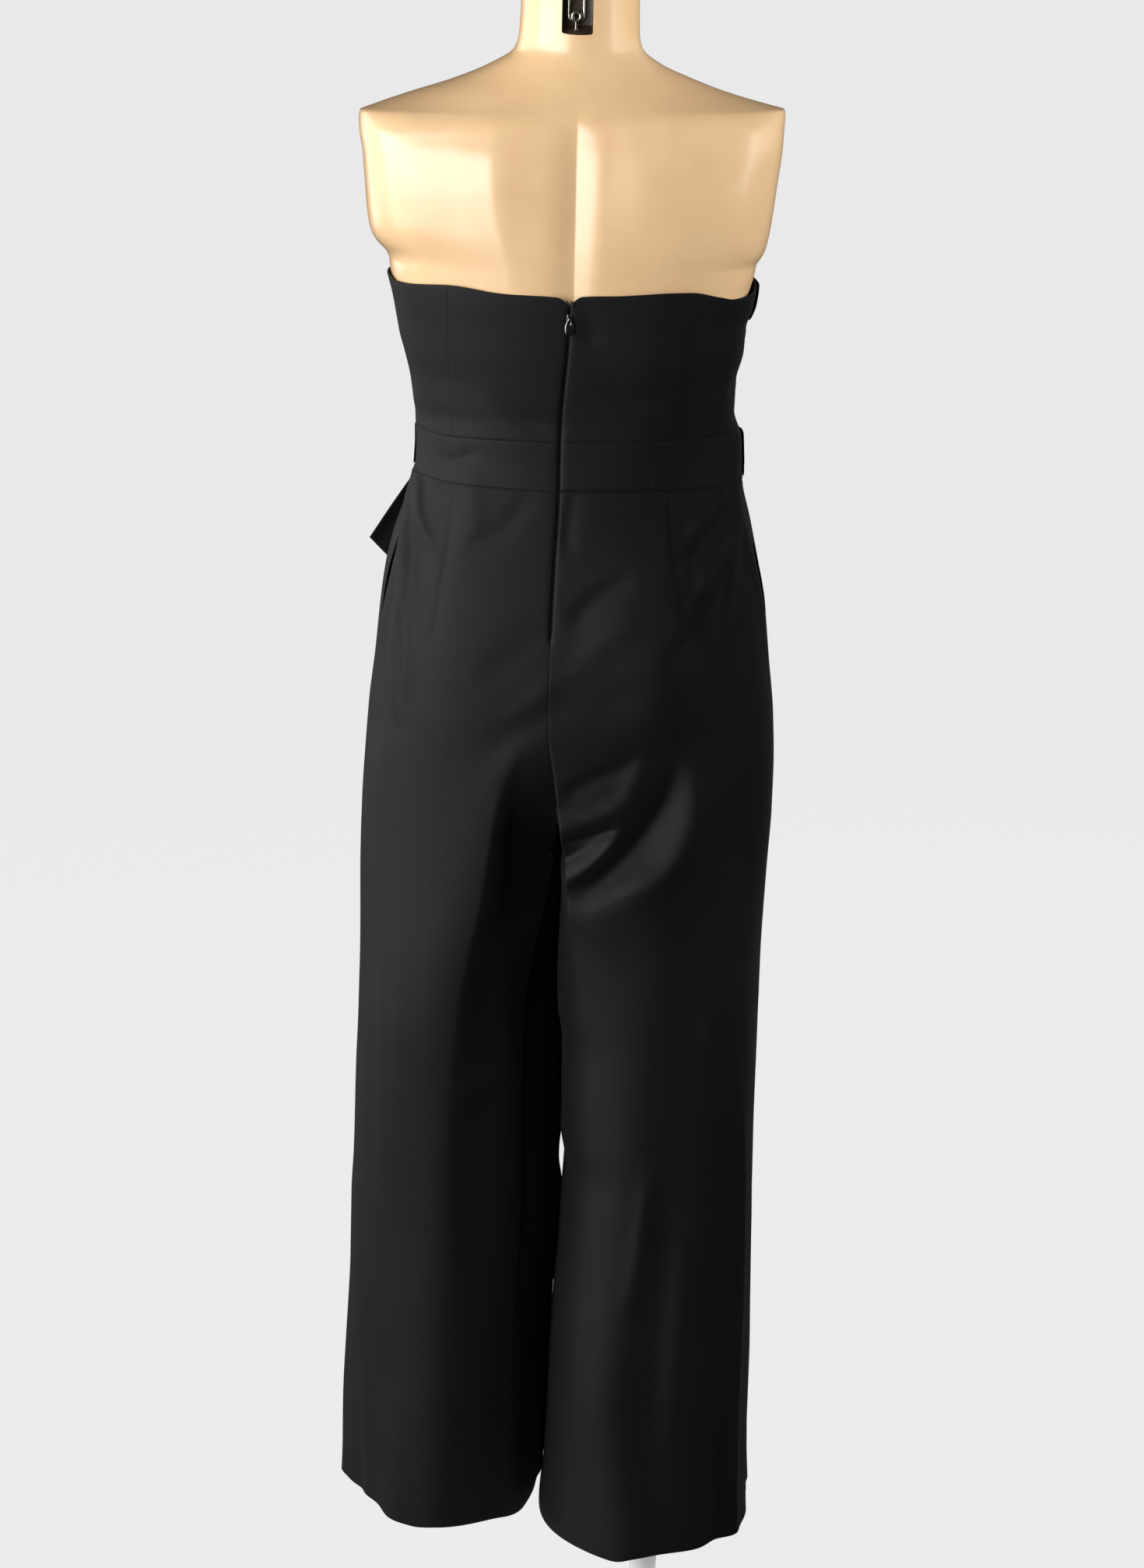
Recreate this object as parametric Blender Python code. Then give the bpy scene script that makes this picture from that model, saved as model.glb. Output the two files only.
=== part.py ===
"""A strapless, wide-legged jumpsuit with a back zip, on an armless dress form and its stand.

Metres, +Z up. The wearer faces -Y, so the back of the garment faces +Y and the wearer's left is +X.
The origin is the middle of the stand's underside, on the floor. Tables are in millimetres.

The cloth is built as walls. Above the crotch every piece lies on one body surface, read at a turn
round the body (0 at the centre back, positive towards the left) and a height. Below the crotch the
trousers leave that surface and become two tubes. Neighbouring pieces share their edges, and each
edge is then drawn back by half a seam gap.
"""
import math

import bmesh
import bpy
import numpy as np
from mathutils import Matrix, Vector

MM = 0.001

# ------------------------------------------------------------------ driving sizes, in metres
WALL = 1.6 * MM                 # a cloth panel
THIN_WALL = 1.1 * MM            # a pocket facing or a sash tail
SEAM = 0.3 * MM                 # gap between two sewn pieces, and between touching layers

CROTCH_TOP = 0.880              # where the centre seams leave the body and turn under it
CROTCH_POINT = 0.800            # where the four trouser panels meet
CROTCH_BEND = 2.5               # how sharply the crotch seam turns, as a power
CROTCH_SPREAD = 0.03            # how fast the two inner legs part below the crotch seam
LEG_FORMED = 0.640              # below this each leg is a round tube of its own
FORK_ANGLE = math.radians(55)   # how far round the leg the centre seam ends up from the inseam
HEM = 0.190                     # the height at which the hem rows are counted
HEM_REACH = 0.3                 # how far up a leg its rows still follow the hem's slope
WAIST_FROM = 1.090              # above this the trouser rows follow the waistband's edge
FRONT_SHIFT = 2 * MM            # how far the centre front seam lies from the middle plane, to the left

COLUMNS_MAIN = 8                # from a centre seam to a side seam, on a trouser panel and the band over it
COLUMNS_FORK = 4                # from a centre seam to the inseam
COLUMNS_FRONT = 24              # from side seam to side seam, on a front piece above the trousers
COLUMNS_FORM = 40               # round the dress form
FACING_COLUMNS = 2              # each side of the side seam, on a pocket facing
FACING_GAP = 0.7 * MM           # between a pocket facing and the panels over it

BUST = {"across": 82 * MM, "height": 1.272, "reach": 64 * MM, "fullness": 17 * MM, "from": 1.206,
        "rise": 0.05}

FORM_TOP = 1.600
FORM_BOTTOM = 0.875
SHOULDER_TILT = 0.0215          # the form's right shoulder is the higher one
BLADE = {"across": 84 * MM, "height": 1.425, "reach": 58 * MM, "fullness": 5.0 * MM, "from": 1.345,
         "rise": 0.03}
FURROW = {"depth": 5.0 * MM, "half_width": 13 * MM, "top": 1.500, "bottom": 1.250}

NECK_SLOT = {"x": 2 * MM, "width": 26.7 * MM, "foot_y": 62 * MM, "foot_z": 1.5440, "rear_y": 42.2 * MM,
             "rear_z": 1.5550, "bore": 2.2 * MM, "bore_depth": 6 * MM}
EYE = {"x": 3.0 * MM, "y": 47.0 * MM, "z": 1.5632, "ring": 3.6 * MM, "wire": 1.5 * MM, "shank": 1.5 * MM}
BAIL = {"half_width": 7.9 * MM, "wire": 1.35 * MM, "bottom": 1.5600, "top": 1.6320, "corner": 3.5 * MM}

BASE = {"radius": 0.190, "thick": 8 * MM, "bevel": 1.5 * MM}
POLE = {"x": -0.092, "y": 0.008, "radius": 12.5 * MM}
COLLAR = {"radius": 24 * MM, "height": 26 * MM, "bevel": 2 * MM}
FLANGE = {"radius": 36 * MM, "thick": 9 * MM, "bevel": 1.5 * MM}
ROUND_SIDES = 32

KNOT = {"turn": math.radians(141), "height": 1.184, "half_turn": math.radians(9.5),
        "half_height": 21 * MM, "lift": 7.1 * MM, "dome": 12 * MM}

ZIP_HINGE_HEIGHT = 1.3105
SLIDER = {"half_width": 2.4 * MM, "up": 4.4 * MM, "down": 4.8 * MM, "foot": SEAM, "top": 1.7 * MM}
ARCH = {"inner": 1.8 * MM, "outer": 2.7 * MM, "half_width": 0.7 * MM, "steps": 10}
TAB = {"hinge": 2.55 * MM, "pin": 0.5 * MM, "thick": 0.9 * MM, "length": 16.8 * MM, "width": 7.4 * MM,
       "neck": 5.0 * MM, "hole_end": 3.7 * MM, "hole_width": 2.4 * MM}
HOOK = {"height": 1.3205, "half_width": 2.6 * MM, "drop": 5.0 * MM, "wire": 0.45 * MM, "clear": 0.15 * MM}

COLOURS = {
    "crepe": ((0.012, 0.011, 0.011), 0.62, 0.0),
    "form_plastic": ((0.76, 0.56, 0.34), 0.30, 0.0),
    "zip_metal": ((0.03, 0.03, 0.032), 0.25, 0.9),
    "bright_metal": ((0.62, 0.57, 0.48), 0.28, 1.0),
    "stand_paint": ((0.83, 0.83, 0.82), 0.35, 0.0),
}


# ------------------------------------------------------------------ tables
class Table:
    """Rows with named columns in millimetres, read smoothly between rows by the first column."""

    def __init__(self, names, rows, plain=()):
        names = names.split()
        values = np.array(rows, float)
        self.columns = {}
        for index, name in enumerate(names):
            scale = 1.0 if name in plain else MM
            self.columns[name] = values[:, index] * scale
        self.key = self.columns[names[0]]

    def read(self, name, key):
        return smooth_curve(self.key, self.columns[name], key)


def smooth_curve(keys, values, key):
    """A monotone cubic through (keys, values): smooth, and never past the values it joins."""
    gaps = np.diff(keys)
    slopes = np.diff(values) / gaps
    tangents = np.zeros_like(values)
    tangents[0], tangents[-1] = slopes[0], slopes[-1]
    for i in range(1, len(values) - 1):
        if slopes[i - 1] * slopes[i] > 0:
            near, far = 2 * gaps[i] + gaps[i - 1], gaps[i] + 2 * gaps[i - 1]
            tangents[i] = (near + far) / (near / slopes[i - 1] + far / slopes[i])
    key = np.clip(key, keys[0], keys[-1])
    i = np.clip(np.searchsorted(keys, key) - 1, 0, len(gaps) - 1)
    t = (key - keys[i]) / gaps[i]
    start = (1 + 2 * t) * (1 - t) ** 2 * values[i] + t * (1 - t) ** 2 * gaps[i] * tangents[i]
    end = t * t * (3 - 2 * t) * values[i + 1] + t * t * (t - 1) * gaps[i] * tangents[i + 1]
    return start + end


# The body that the garment takes its shape from: how far it reaches each way from the z axis.
BODY = Table("height left right front back power", [
    (600, 184, 181, 108, 113, 2.50),
    (720, 181, 182, 107, 114, 2.50),
    (800, 181.5, 186, 107, 116, 2.45),
    (860, 180.5, 189.5, 107, 118, 2.40),
    (900, 179, 190, 108, 119, 2.35),
    (950, 177, 188, 108, 120, 2.30),
    (1000, 171.6, 182.5, 107, 118, 2.30),
    (1050, 167, 177, 105, 113, 2.25),
    (1080, 163, 171.5, 103, 107, 2.25),
    (1108, 156.5, 165.5, 101, 101, 2.20),
    (1130, 149, 160.5, 98, 96, 2.20),
    (1150, 142, 154.5, 96, 92, 2.20),
    (1164, 137, 149, 95, 89, 2.20),
    (1190, 134.5, 145, 94, 86, 2.20),
    (1213, 134.5, 143.5, 97, 86, 2.20),
    (1232, 140, 144.5, 103, 88, 2.20),
    (1250, 143.5, 145, 110, 91, 2.20),
    (1275, 149.3, 150.5, 114, 95, 2.25),
    (1300, 154, 152, 113, 98, 2.30),
    (1320, 158.5, 155, 112, 100, 2.35),
    (1345, 164, 159, 110, 101, 2.40),
], plain=("power",))

# The bare part of the dress form, above the neckline.
BARE_FORM = Table("height left right front back power", [
    (1352, 163.5, 160.5, 106, 101, 2.50),
    (1359, 167, 165.3, 104, 100.5, 2.60),
    (1367, 173, 168, 102, 100, 2.80),
    (1376, 178, 170, 100, 99.5, 2.95),
    (1390, 181.5, 172, 97, 99, 3.10),
    (1418, 184.4, 175.2, 92, 98, 3.20),
    (1448, 187, 178.8, 86, 95, 3.10),
    (1466, 190, 179.8, 81, 91, 2.90),
    (1476, 190, 178.5, 77, 87, 2.60),
    (1483, 186, 174, 74, 83, 2.25),
    (1490, 169, 152, 71, 78, 2.00),
    (1498, 145, 126, 68, 73, 1.85),
    (1508, 112, 100, 64, 67, 1.80),
    (1521, 79, 71, 61, 60, 1.90),
    (1535, 56.5, 54.5, 59, 56, 2.00),
    (1549, 52.5, 52, 58, 55, 2.00),
    (1575, 51.5, 51.5, 57, 55, 2.00),
    (1596, 51.5, 51.5, 57, 55, 2.00),
    (1600, 50.0, 50.0, 55.5, 53.5, 2.00),
], plain=("power",))

# The rounded underside of the form, as a share of its full width there.
FORM_UNDERSIDE = Table("height share", [
    (875, 0.78), (878, 0.85), (884, 0.915), (893, 0.960), (906, 0.988), (922, 1.0),
], plain=("share",))
COVERED_FORM_HEIGHTS = [960, 1010, 1060, 1100, 1130, 1152, 1174, 1194, 1214, 1236, 1262, 1290, 1316, 1332,
                        1344.5]
# How far the form lies inside the body surface that the cloth's outer face follows.
FORM_INSET = Table("height inset", [
    (875, 6.5), (1120, 6.5), (1150, 5.2), (1176, 3.8), (1200, 3.4), (1296, 3.4), (1318, 2.5), (1345, 2.5),
])

# Each leg below the crotch. inner is measured from the middle plane towards the leg's own side.
# twist is how far the side seam has turned towards the back, in degrees.
LEFT_LEG = Table("height inner outer front back power twist", [
    (180, 12.5, 192, 118, 102, 2.30, 6),
    (228, 9.5, 191, 117, 103, 2.30, 6),
    (283, 7.5, 191.4, 115, 104, 2.32, 5),
    (346, 5.5, 190.3, 113, 105, 2.35, 4),
    (403, 3, 189.2, 112, 106, 2.38, 3),
    (453, -1, 188.8, 110, 107, 2.40, 2),
    (489, -3.5, 188.6, 110, 108, 2.42, 2),
    (524, -3.7, 187, 109, 109, 2.45, 1),
    (556, -1.5, 186.1, 108, 110, 2.47, 0),
    (605, 1.5, 184.6, 107, 111, 2.50, 0),
    (654, 3.5, 182.5, 107, 112, 2.50, 0),
    (680, 6, 182, 107, 112.5, 2.50, 0),
    (722, 8.2, 181.4, 107, 113, 2.50, 0),
    (766, 6.3, 181.7, 107, 114.5, 2.50, 0),
    (790, 4, 182, 107, 115, 2.50, 0),
    (880, 1, 180, 107, 118, 2.50, 0),
], plain=("power", "twist"))
RIGHT_LEG = Table("height inner outer front back power twist", [
    (165, -8.5, 190, 104, 126, 2.30, 30),
    (186, -8.2, 189, 104, 125.5, 2.30, 29),
    (228, -4.6, 186.8, 104, 124, 2.30, 28),
    (283, -2.8, 186, 104, 122, 2.32, 27),
    (346, -1.2, 186, 104, 121, 2.35, 26),
    (403, 1.2, 185, 104, 119, 2.38, 24),
    (453, 4.5, 184, 105, 117.5, 2.40, 22),
    (500, 6.4, 182.8, 105, 116.5, 2.42, 21),
    (534, 8.6, 182, 106, 116, 2.45, 20),
    (561, 4.4, 181.4, 106, 116, 2.47, 18),
    (605, 2.5, 181.2, 106, 116, 2.50, 15),
    (654, 1.7, 181.2, 107, 116, 2.50, 12),
    (680, -2.4, 181.6, 107, 116, 2.50, 11),
    (722, -4.7, 182.3, 107, 116, 2.50, 9),
    (766, -2.8, 184, 107, 116, 2.50, 6),
    (790, 0.9, 185, 107, 116, 2.50, 5),
    (880, 1, 188.6, 107, 118, 2.50, 0),
], plain=("power", "twist"))

# The centre back seam wanders a little off the middle plane, towards the left.
CENTRE_BACK = Table("height shift", [
    (800, 2), (864, 4.1), (904, 7.6), (932, 11.6), (946, 13.3), (980, 14), (1028, 13.7), (1095, 11.8),
    (1157, 9.4), (1198, 9.3), (1233, 8.1), (1254, 6.5), (1297, 3.5), (1323, 3.3),
])
# Where each side seam lies, in degrees round the body from the centre back.
SIDE_SEAM = Table("height left right", [
    (860, 90, 87), (960, 86, 82), (1000, 83, 82), (1047, 78.5, 83.5), (1078, 77, 82.5), (1110, 77.5, 84),
    (1162, 83, 88), (1215, 87, 90), (1340, 90, 91),
], plain=("left", "right"))

# Edges that run round the body: their height at each turn, in degrees, from the right side at -90
# through the centre back at 0 and the left side at 90 to the centre front at 180 and the right at 270.
NECKLINE = Table("turn height", [
    (-90, 1334), (-75, 1326), (-69, 1325.5), (-61, 1329), (-49, 1334.8), (-22, 1331), (-4, 1329.5),
    (1.9, 1323.5), (8, 1328.6), (33, 1330.3), (53, 1335), (70, 1333), (77, 1333.2), (82, 1337), (90, 1338.5),
    (130, 1342), (155, 1344), (180, 1338), (205, 1344), (230, 1342), (270, 1337),
], plain=("turn",))
BAND_TOP = Table("turn height", [
    (-90, 1206), (-50, 1203.3), (-10, 1202.6), (11, 1201.8), (39, 1202), (60, 1201.5), (90, 1204),
    (180, 1207), (270, 1206),
], plain=("turn",))
BAND_BOTTOM = Table("turn height", [
    (-90, 1161.5), (-62, 1160.4), (-28, 1160.6), (10, 1160), (37, 1160.5), (60, 1161.5), (74, 1164),
    (90, 1166), (180, 1167), (270, 1161.5),
], plain=("turn",))
# The princess seams, in degrees from the centre back.
PRINCESS = Table("height left right", [
    (1200, 60, 50), (1231, 59, 51.9), (1282, 56, 52.4), (1334, 52.8, 50.5),
], plain=("left", "right"))

# The hem of each leg, from the inseam side to the side seam: how far out, and how high there.
LEFT_HEM = Table("out height", [
    (10, 198), (45, 197), (85, 196.5), (102, 196.5), (120, 195.5), (131, 197), (145, 200), (160, 204),
    (192, 206),
])
RIGHT_HEM = Table("out height", [
    (-10, 187), (20, 183), (50, 178.5), (65, 176.5), (80, 179.5), (107, 183), (140, 185), (161, 187),
    (190, 193),
])

TROUSER_ROWS = [1162, 1136, 1110, 1085, 1060, 1035, 1005, 970, 935, 905, 880,
                861, 842, 822, 801, 776, 746, 710, 668, 620, 566, 508, 448, 386, 324, 264, 220, 190]

# The pocket slits: how far the back edge stands away from the front edge.
POCKET_SLIT = Table("height gape", [(1036, 0), (1050, 1.8), (1078, 3.2), (1094, 2.4), (1110, 0)])
POCKET_ROWS = (1005, 1112)

# The largest folds. Each runs along the points of its rows, seen from behind, and stands up by
# height (or sinks, where that is negative) over width to each side.
FOLDS = {
    "back": {
        "seat to right crotch ridge": [(-110, 911, 2, 18), (-116, 888, 4, 18), (-98, 841, 7, 18),
                                       (-68, 813, 7, 17), (-11, 799, 3, 14)],
        "seat to right crotch valley": [(-102, 912, -2, 15), (-67, 869, -6, 16), (-27, 813, -4, 13)],
        "left crotch valley": [(56, 879, -3, 18), (28, 846, -6, 18), (6, 816, -4, 14)],
        "left leg streak": [(155, 917, 2, 16), (163, 886, 3, 16), (159, 816, 4, 18), (153, 746, 4, 20),
                            (154, 629, 3, 22), (152, 496, 1, 24)],
        "right leg crease": [(-80, 560, 2, 24), (-76, 440, 4, 22), (-66, 320, 6, 22), (-62, 190, 7, 24)],
        "left leg hem ridge": [(110, 420, 1, 26), (108, 300, 3, 26), (106, 190, 5, 26)],
        "left leg inner corner": [(26, 480, 0, 14), (26, 340, 3, 14), (28, 190, 6, 14)],
        "left leg outer hollow": [(170, 420, 0, 20), (170, 300, -3, 22), (168, 190, -7, 22)],
        "right leg outer hollow": [(-166, 420, 0, 20), (-166, 300, -3, 22), (-164, 180, -7, 24)],
    },
    "front": {
        "left crotch ridge": [(100, 880, 3, 20), (60, 840, 5, 20), (26, 800, 3, 16)],
        "right crotch ridge": [(-100, 885, 3, 20), (-60, 842, 5, 20), (-26, 800, 3, 16)],
        "left leg crease": [(96, 700, 3, 26), (100, 450, 5, 26), (98, 190, 6, 28)],
        "right leg crease": [(-98, 680, 3, 26), (-92, 430, 5, 26), (-96, 190, 6, 28)],
    },
}
FOLD_FADE = {"above": 0.620, "full": 0.740, "columns": 0.15}    # folds die out towards the crotch seams
# Soft folds across the draped front bodice: their height at the right side, the middle and the left.
DRAPE_FOLDS = Table("right middle left depth width", [
    (1312, 1300, 1310, 1.8, 9),
    (1290, 1280, 1286, 2.4, 9),
    (1266, 1262, 1262, 2.6, 9),
    (1244, 1240, 1238, 2.0, 8),
    (1226, 1224, 1222, 1.4, 7),
])

# The sash tail that stands out at the left hip: its two long edges, from the knot to the cut end.
# Its root lies on the body's front, by x, z and the distance off it. The rest hangs free, by x, y, z.
SIDE_TAIL_ROOT = [
    {"upper": (70, 1194, 6.5), "lower": (70, 1177, 6.5)},
    {"upper": (79, 1193, 6.5), "lower": (77, 1175, 6.5)},
    {"upper": (88, 1191, 6.6), "lower": (84, 1171, 6.5)},
    {"upper": (104, 1185, 8), "lower": (95, 1157, 7)},
]
SIDE_TAIL_FREE = [
    {"upper": (124, -62, 1171), "lower": (108, -79, 1132)},
    {"upper": (142, -52, 1149), "lower": (121, -75, 1106)},
    {"upper": (162, -50, 1120), "lower": (134, -70, 1079)},
    {"upper": (180.6, -48, 1091.7), "lower": (146, -64, 1053)},
]
# The tail that hangs down the front: middle line, half width and how far it stands off the body.
FRONT_TAIL = [
    {"x": 72, "z": 1180, "half_width": 10, "out": 4.7},
    {"x": 73, "z": 1166, "half_width": 13, "out": 4.7},
    {"x": 74, "z": 1150, "half_width": 17, "out": 4.9},
    {"x": 75, "z": 1120, "half_width": 22, "out": 5.6},
    {"x": 77, "z": 1085, "half_width": 25, "out": 6.2},
    {"x": 79, "z": 1050, "half_width": 26, "out": 6.6},
    {"x": 80, "z": 1015, "half_width": 26, "out": 6.8},
]
SASH_GAP = 0.5 * MM             # between the sash and the waistband under it
DRAPE_CLEAR = 2.0 * MM          # the turned-over edge clears the highest drape fold by this
FRONT_TAIL_SLANT = 0.35         # the cut end rises by this share towards its outer edge
TAIL_COLUMNS = 4
# The sash stands off the waistband, most at the right side.
SASH_STAND = Table("turn out", [
    (90, 0.1), (110, 0.4), (141, 1.0), (180, 1.6), (230, 4.0), (262, 7.0), (270, 7.4),
], plain=("turn",))
# The turned-over front neckline stands off the bodice.
CUFF_STAND = Table("turn out", [(90, 0.1), (120, 0.5), (180, 1.0), (240, 1.6), (270, 2.2)], plain=("turn",))


# ------------------------------------------------------------------ surfaces
def ease_in_out(share):
    share = np.clip(share, 0, 1)
    return share * share * (3 - 2 * share)


def bump(points, feature, sign):
    """A smooth mound at the same place on both sides of the middle, towards +Y or -Y."""
    away = (np.abs(points[..., 0]) - feature["across"]) ** 2 + (points[..., 2] - feature["height"]) ** 2
    facing = ease_in_out(sign * points[..., 1] / (40 * MM))
    started = ease_in_out((points[..., 2] - feature["from"]) / feature["rise"])
    return feature["fullness"] * np.exp(-away / feature["reach"] ** 2) * facing * started


def ring_points(rings, turn, height, inset=0.0):
    """Points of a ring table's surface at turns in radians and heights in metres."""
    turn, height = np.broadcast_arrays(np.asarray(turn, float), np.asarray(height, float))
    sine, cosine = np.sin(turn), np.cos(turn)
    across = np.where(sine >= 0, rings.read("left", height), rings.read("right", height)) - inset
    deep = np.where(cosine >= 0, rings.read("back", height), rings.read("front", height)) - inset
    power = rings.read("power", height)
    radius = ((np.abs(sine) / across) ** power + (np.abs(cosine) / deep) ** power) ** (-1 / power)
    return np.stack([radius * sine, radius * cosine, height], axis=-1)


def body_points(turn, height, inset=0.0):
    """The body surface that the cloth lies on, with its bust."""
    points = ring_points(BODY, turn, height, inset)
    points[..., 1] -= bump(points, BUST, -1)
    return points


def drape(turn, height):
    """How far the draped front bodice stands off the body surface."""
    degrees = np.degrees(turn) % 360
    share = np.clip((degrees - 90) / 180, 0, 1)
    total = np.zeros(np.broadcast(turn, height).shape)
    rows = zip(*(DRAPE_FOLDS.columns[name] for name in ("right", "middle", "left", "depth", "width")))
    for right, middle, left, depth, width in rows:
        line = left * (1 - share) + right * share + (middle - (left + right) / 2) * 4 * share * (1 - share)
        total = total + depth * np.exp(-((height - line) / width) ** 2)
    return total * ease_in_out((np.minimum(share, 1 - share)) / 0.04)


def draped_points(turn, height):
    points = body_points(turn, height)
    outward = surface_normals(body_points, turn, height)
    return points + outward * drape(turn, height)[..., None]


def surface_normals(surface, turn, height):
    """Outward unit normals of a surface read by turn and height."""
    turn_step, height_step = 0.01, 1.0 * MM
    along = surface(turn + turn_step, height) - surface(turn - turn_step, height)
    upward = surface(turn, height + height_step) - surface(turn, height - height_step)
    return unit(np.cross(upward, along))


def unit(vectors):
    return vectors / np.linalg.norm(vectors, axis=-1, keepdims=True)


def front_place(x, z, out):
    """The point that stands off the body's front by a distance, square to it, at x and z."""
    side = float(BODY.read("left", z)) if x > 0 else float(BODY.read("right", z))
    front, power = float(BODY.read("front", z)), float(BODY.read("power", z))
    y = front * (1 - (abs(x) / side) ** power) ** (1 / power)
    x_slope = math.copysign((abs(x) / side) ** (power - 1) / side, x)
    y_slope = -(y / front) ** (power - 1) / front
    x_out, y_out = np.array([x_slope, y_slope]) / math.hypot(x_slope, y_slope) * out
    return x + x_out, y_out - y, z


# ------------------------------------------------------------------ meshes
def add_object(name, bm, material):
    mesh = bpy.data.meshes.new(name)
    bm.to_mesh(mesh)
    bm.free()
    mesh.materials.append(materials[material])
    item = bpy.data.objects.new(name, mesh)
    bpy.context.scene.collection.objects.link(item)
    mesh.shade_smooth()
    mesh.set_sharp_from_angle(angle=math.radians(35))
    return item


def wall(name, outer, inner, faces, material="crepe"):
    """A closed wall: its outer faces, the same faces on the inner points, and a rim between them."""
    bm = bmesh.new()
    vertices = [bm.verts.new(point) for point in np.concatenate([outer, inner])]
    count = len(outer)
    edges = set()
    for face in faces:
        bm.faces.new([vertices[i] for i in face])
        bm.faces.new([vertices[i + count] for i in reversed(face)])
        edges.update(zip(face, face[1:] + face[:1]))
    for start, end in edges:
        if (end, start) not in edges:
            bm.faces.new([vertices[i] for i in (end, start, start + count, end + count)])
    loose = [vertex for vertex in bm.verts if not vertex.link_faces]
    bmesh.ops.delete(bm, geom=loose, context="VERTS")
    return add_object(name, bm, material)


def grid_faces(rows, columns, flip=False, present=None):
    """Quads of a grid of points, row by row, where all four corners are present."""
    faces = []
    for i in range(rows - 1):
        for j in range(columns - 1):
            corners = [(i, j), (i, j + 1), (i + 1, j + 1), (i + 1, j)]
            if present is None or all(present[corner] for corner in corners):
                face = [row * columns + column for row, column in corners]
                faces.append(face[::-1] if flip else face)
    return faces


def draw_back(points, edges, gap=SEAM / 2):
    """Move the named edges of a grid of points towards its middle by a gap."""
    points = points.copy()
    if "start" in edges:
        points[:, 0] += unit(points[:, 1] - points[:, 0]) * gap
    if "end" in edges:
        points[:, -1] += unit(points[:, -2] - points[:, -1]) * gap
    if "top" in edges:
        points[0] += unit(points[1] - points[0]) * gap
    if "bottom" in edges:
        points[-1] += unit(points[-2] - points[-1]) * gap
    return points


def grid_wall(name, outer, outward, thickness=WALL, material="crepe", flip=False,
              edges=("start", "end", "top", "bottom")):
    """A wall from a grid of outer points and their outward normals."""
    outer = draw_back(outer, edges)
    inner = outer - outward * thickness
    rows, columns = outer.shape[:2]
    faces = grid_faces(rows, columns, flip)
    return wall(name, outer.reshape(-1, 3), inner.reshape(-1, 3), faces, material)


def lathe(name, profile, material, centre=(0, 0, 0), sides=ROUND_SIDES):
    """A turned solid from its profile of (radius, height) pairs, bottom to top."""
    bm = bmesh.new()
    rings = []
    for radius, height in profile:
        ring = []
        for k in range(sides):
            angle = 2 * math.pi * k / sides
            x, y = centre[0] + radius * math.cos(angle), centre[1] + radius * math.sin(angle)
            ring.append(bm.verts.new((x, y, centre[2] + height)))
        rings.append(ring)
    for lower, upper in zip(rings, rings[1:]):
        for k in range(sides):
            following = (k + 1) % sides
            bm.faces.new([lower[k], lower[following], upper[following], upper[k]])
    bm.faces.new(rings[0][::-1])
    bm.faces.new(rings[-1])
    return add_object(name, bm, material)


def arc(start, end, steps):
    """Points of a unit circle from one angle to another, in degrees."""
    angles = [math.radians(start + (end - start) * k / steps) for k in range(steps + 1)]
    return [(math.cos(angle), math.sin(angle)) for angle in angles]


def bevelled_disc(radius, thick, bevel):
    return [(radius - bevel, 0), (radius, bevel), (radius, thick - bevel), (radius - bevel, thick)]


def wire_loop(name, path, radius, material, closed, sides=8):
    """A round wire along a path of points, as a curve with a bevel."""
    data = bpy.data.curves.new(name, "CURVE")
    data.dimensions = "3D"
    data.bevel_depth = radius
    data.bevel_resolution = (sides - 4) // 2
    data.use_fill_caps = not closed
    spline = data.splines.new("POLY")
    spline.points.add(len(path) - 1)
    for point, place in zip(spline.points, path):
        point.co = (*place, 1)
    spline.use_cyclic_u = closed
    data.materials.append(materials[material])
    item = bpy.data.objects.new(name, data)
    bpy.context.scene.collection.objects.link(item)
    return item


def guide(item):
    """Hide a shape that is only there to cut or complete another one."""
    item.hide_render, item.display_type = True, "WIRE"
    return item


def cut(target, cutter):
    """Take the cutter out of the target."""
    modifier = target.modifiers.new("cut", "BOOLEAN")
    modifier.operation, modifier.solver, modifier.object = "DIFFERENCE", "EXACT", guide(cutter)


def join(target, other):
    """Add the other to the target."""
    modifier = target.modifiers.new("join", "BOOLEAN")
    modifier.operation, modifier.solver, modifier.object = "UNION", "EXACT", guide(other)


# ------------------------------------------------------------------ bodice and waistband
def spread(start, end, count):
    """count + 1 shares from 0 to 1 between two arrays, as the columns of a grid."""
    shares = np.linspace(0, 1, count + 1)
    start, end = np.asarray(start, float)[:, None], np.asarray(end, float)[:, None]
    return start + (end - start) * shares


def band_grid(low_line, high_line, start, end, rows, columns):
    """Turns and heights of a panel between two edge lines and two side lines.

    start and end give the turn in degrees of the panel's sides at a height.
    """
    turn = np.zeros((rows + 1, columns + 1))
    height = np.zeros_like(turn)
    for i in range(rows + 1):
        for j in range(columns + 1):
            z = 1.25
            for _ in range(3):
                degrees = start(z) + (end(z) - start(z)) * j / columns
                top, bottom = high_line.read("height", degrees), low_line.read("height", degrees)
                z = float(top + (bottom - top) * i / rows)
            turn[i, j], height[i, j] = math.radians(degrees), z
    return turn, height


def centre_back_turn(height):
    """The centre back seam's turn in degrees."""
    shift, back = float(CENTRE_BACK.read("shift", height)), float(BODY.read("back", height))
    return math.degrees(math.atan2(shift, back))


def left_side(height):
    return float(SIDE_SEAM.read("left", height))


def right_side(height):
    return -float(SIDE_SEAM.read("right", height))


def right_side_from_front(height):
    return 360 + right_side(height)


def left_princess(height):
    return float(PRINCESS.read("left", height))


def right_princess(height):
    return -float(PRINCESS.read("right", height))


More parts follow.
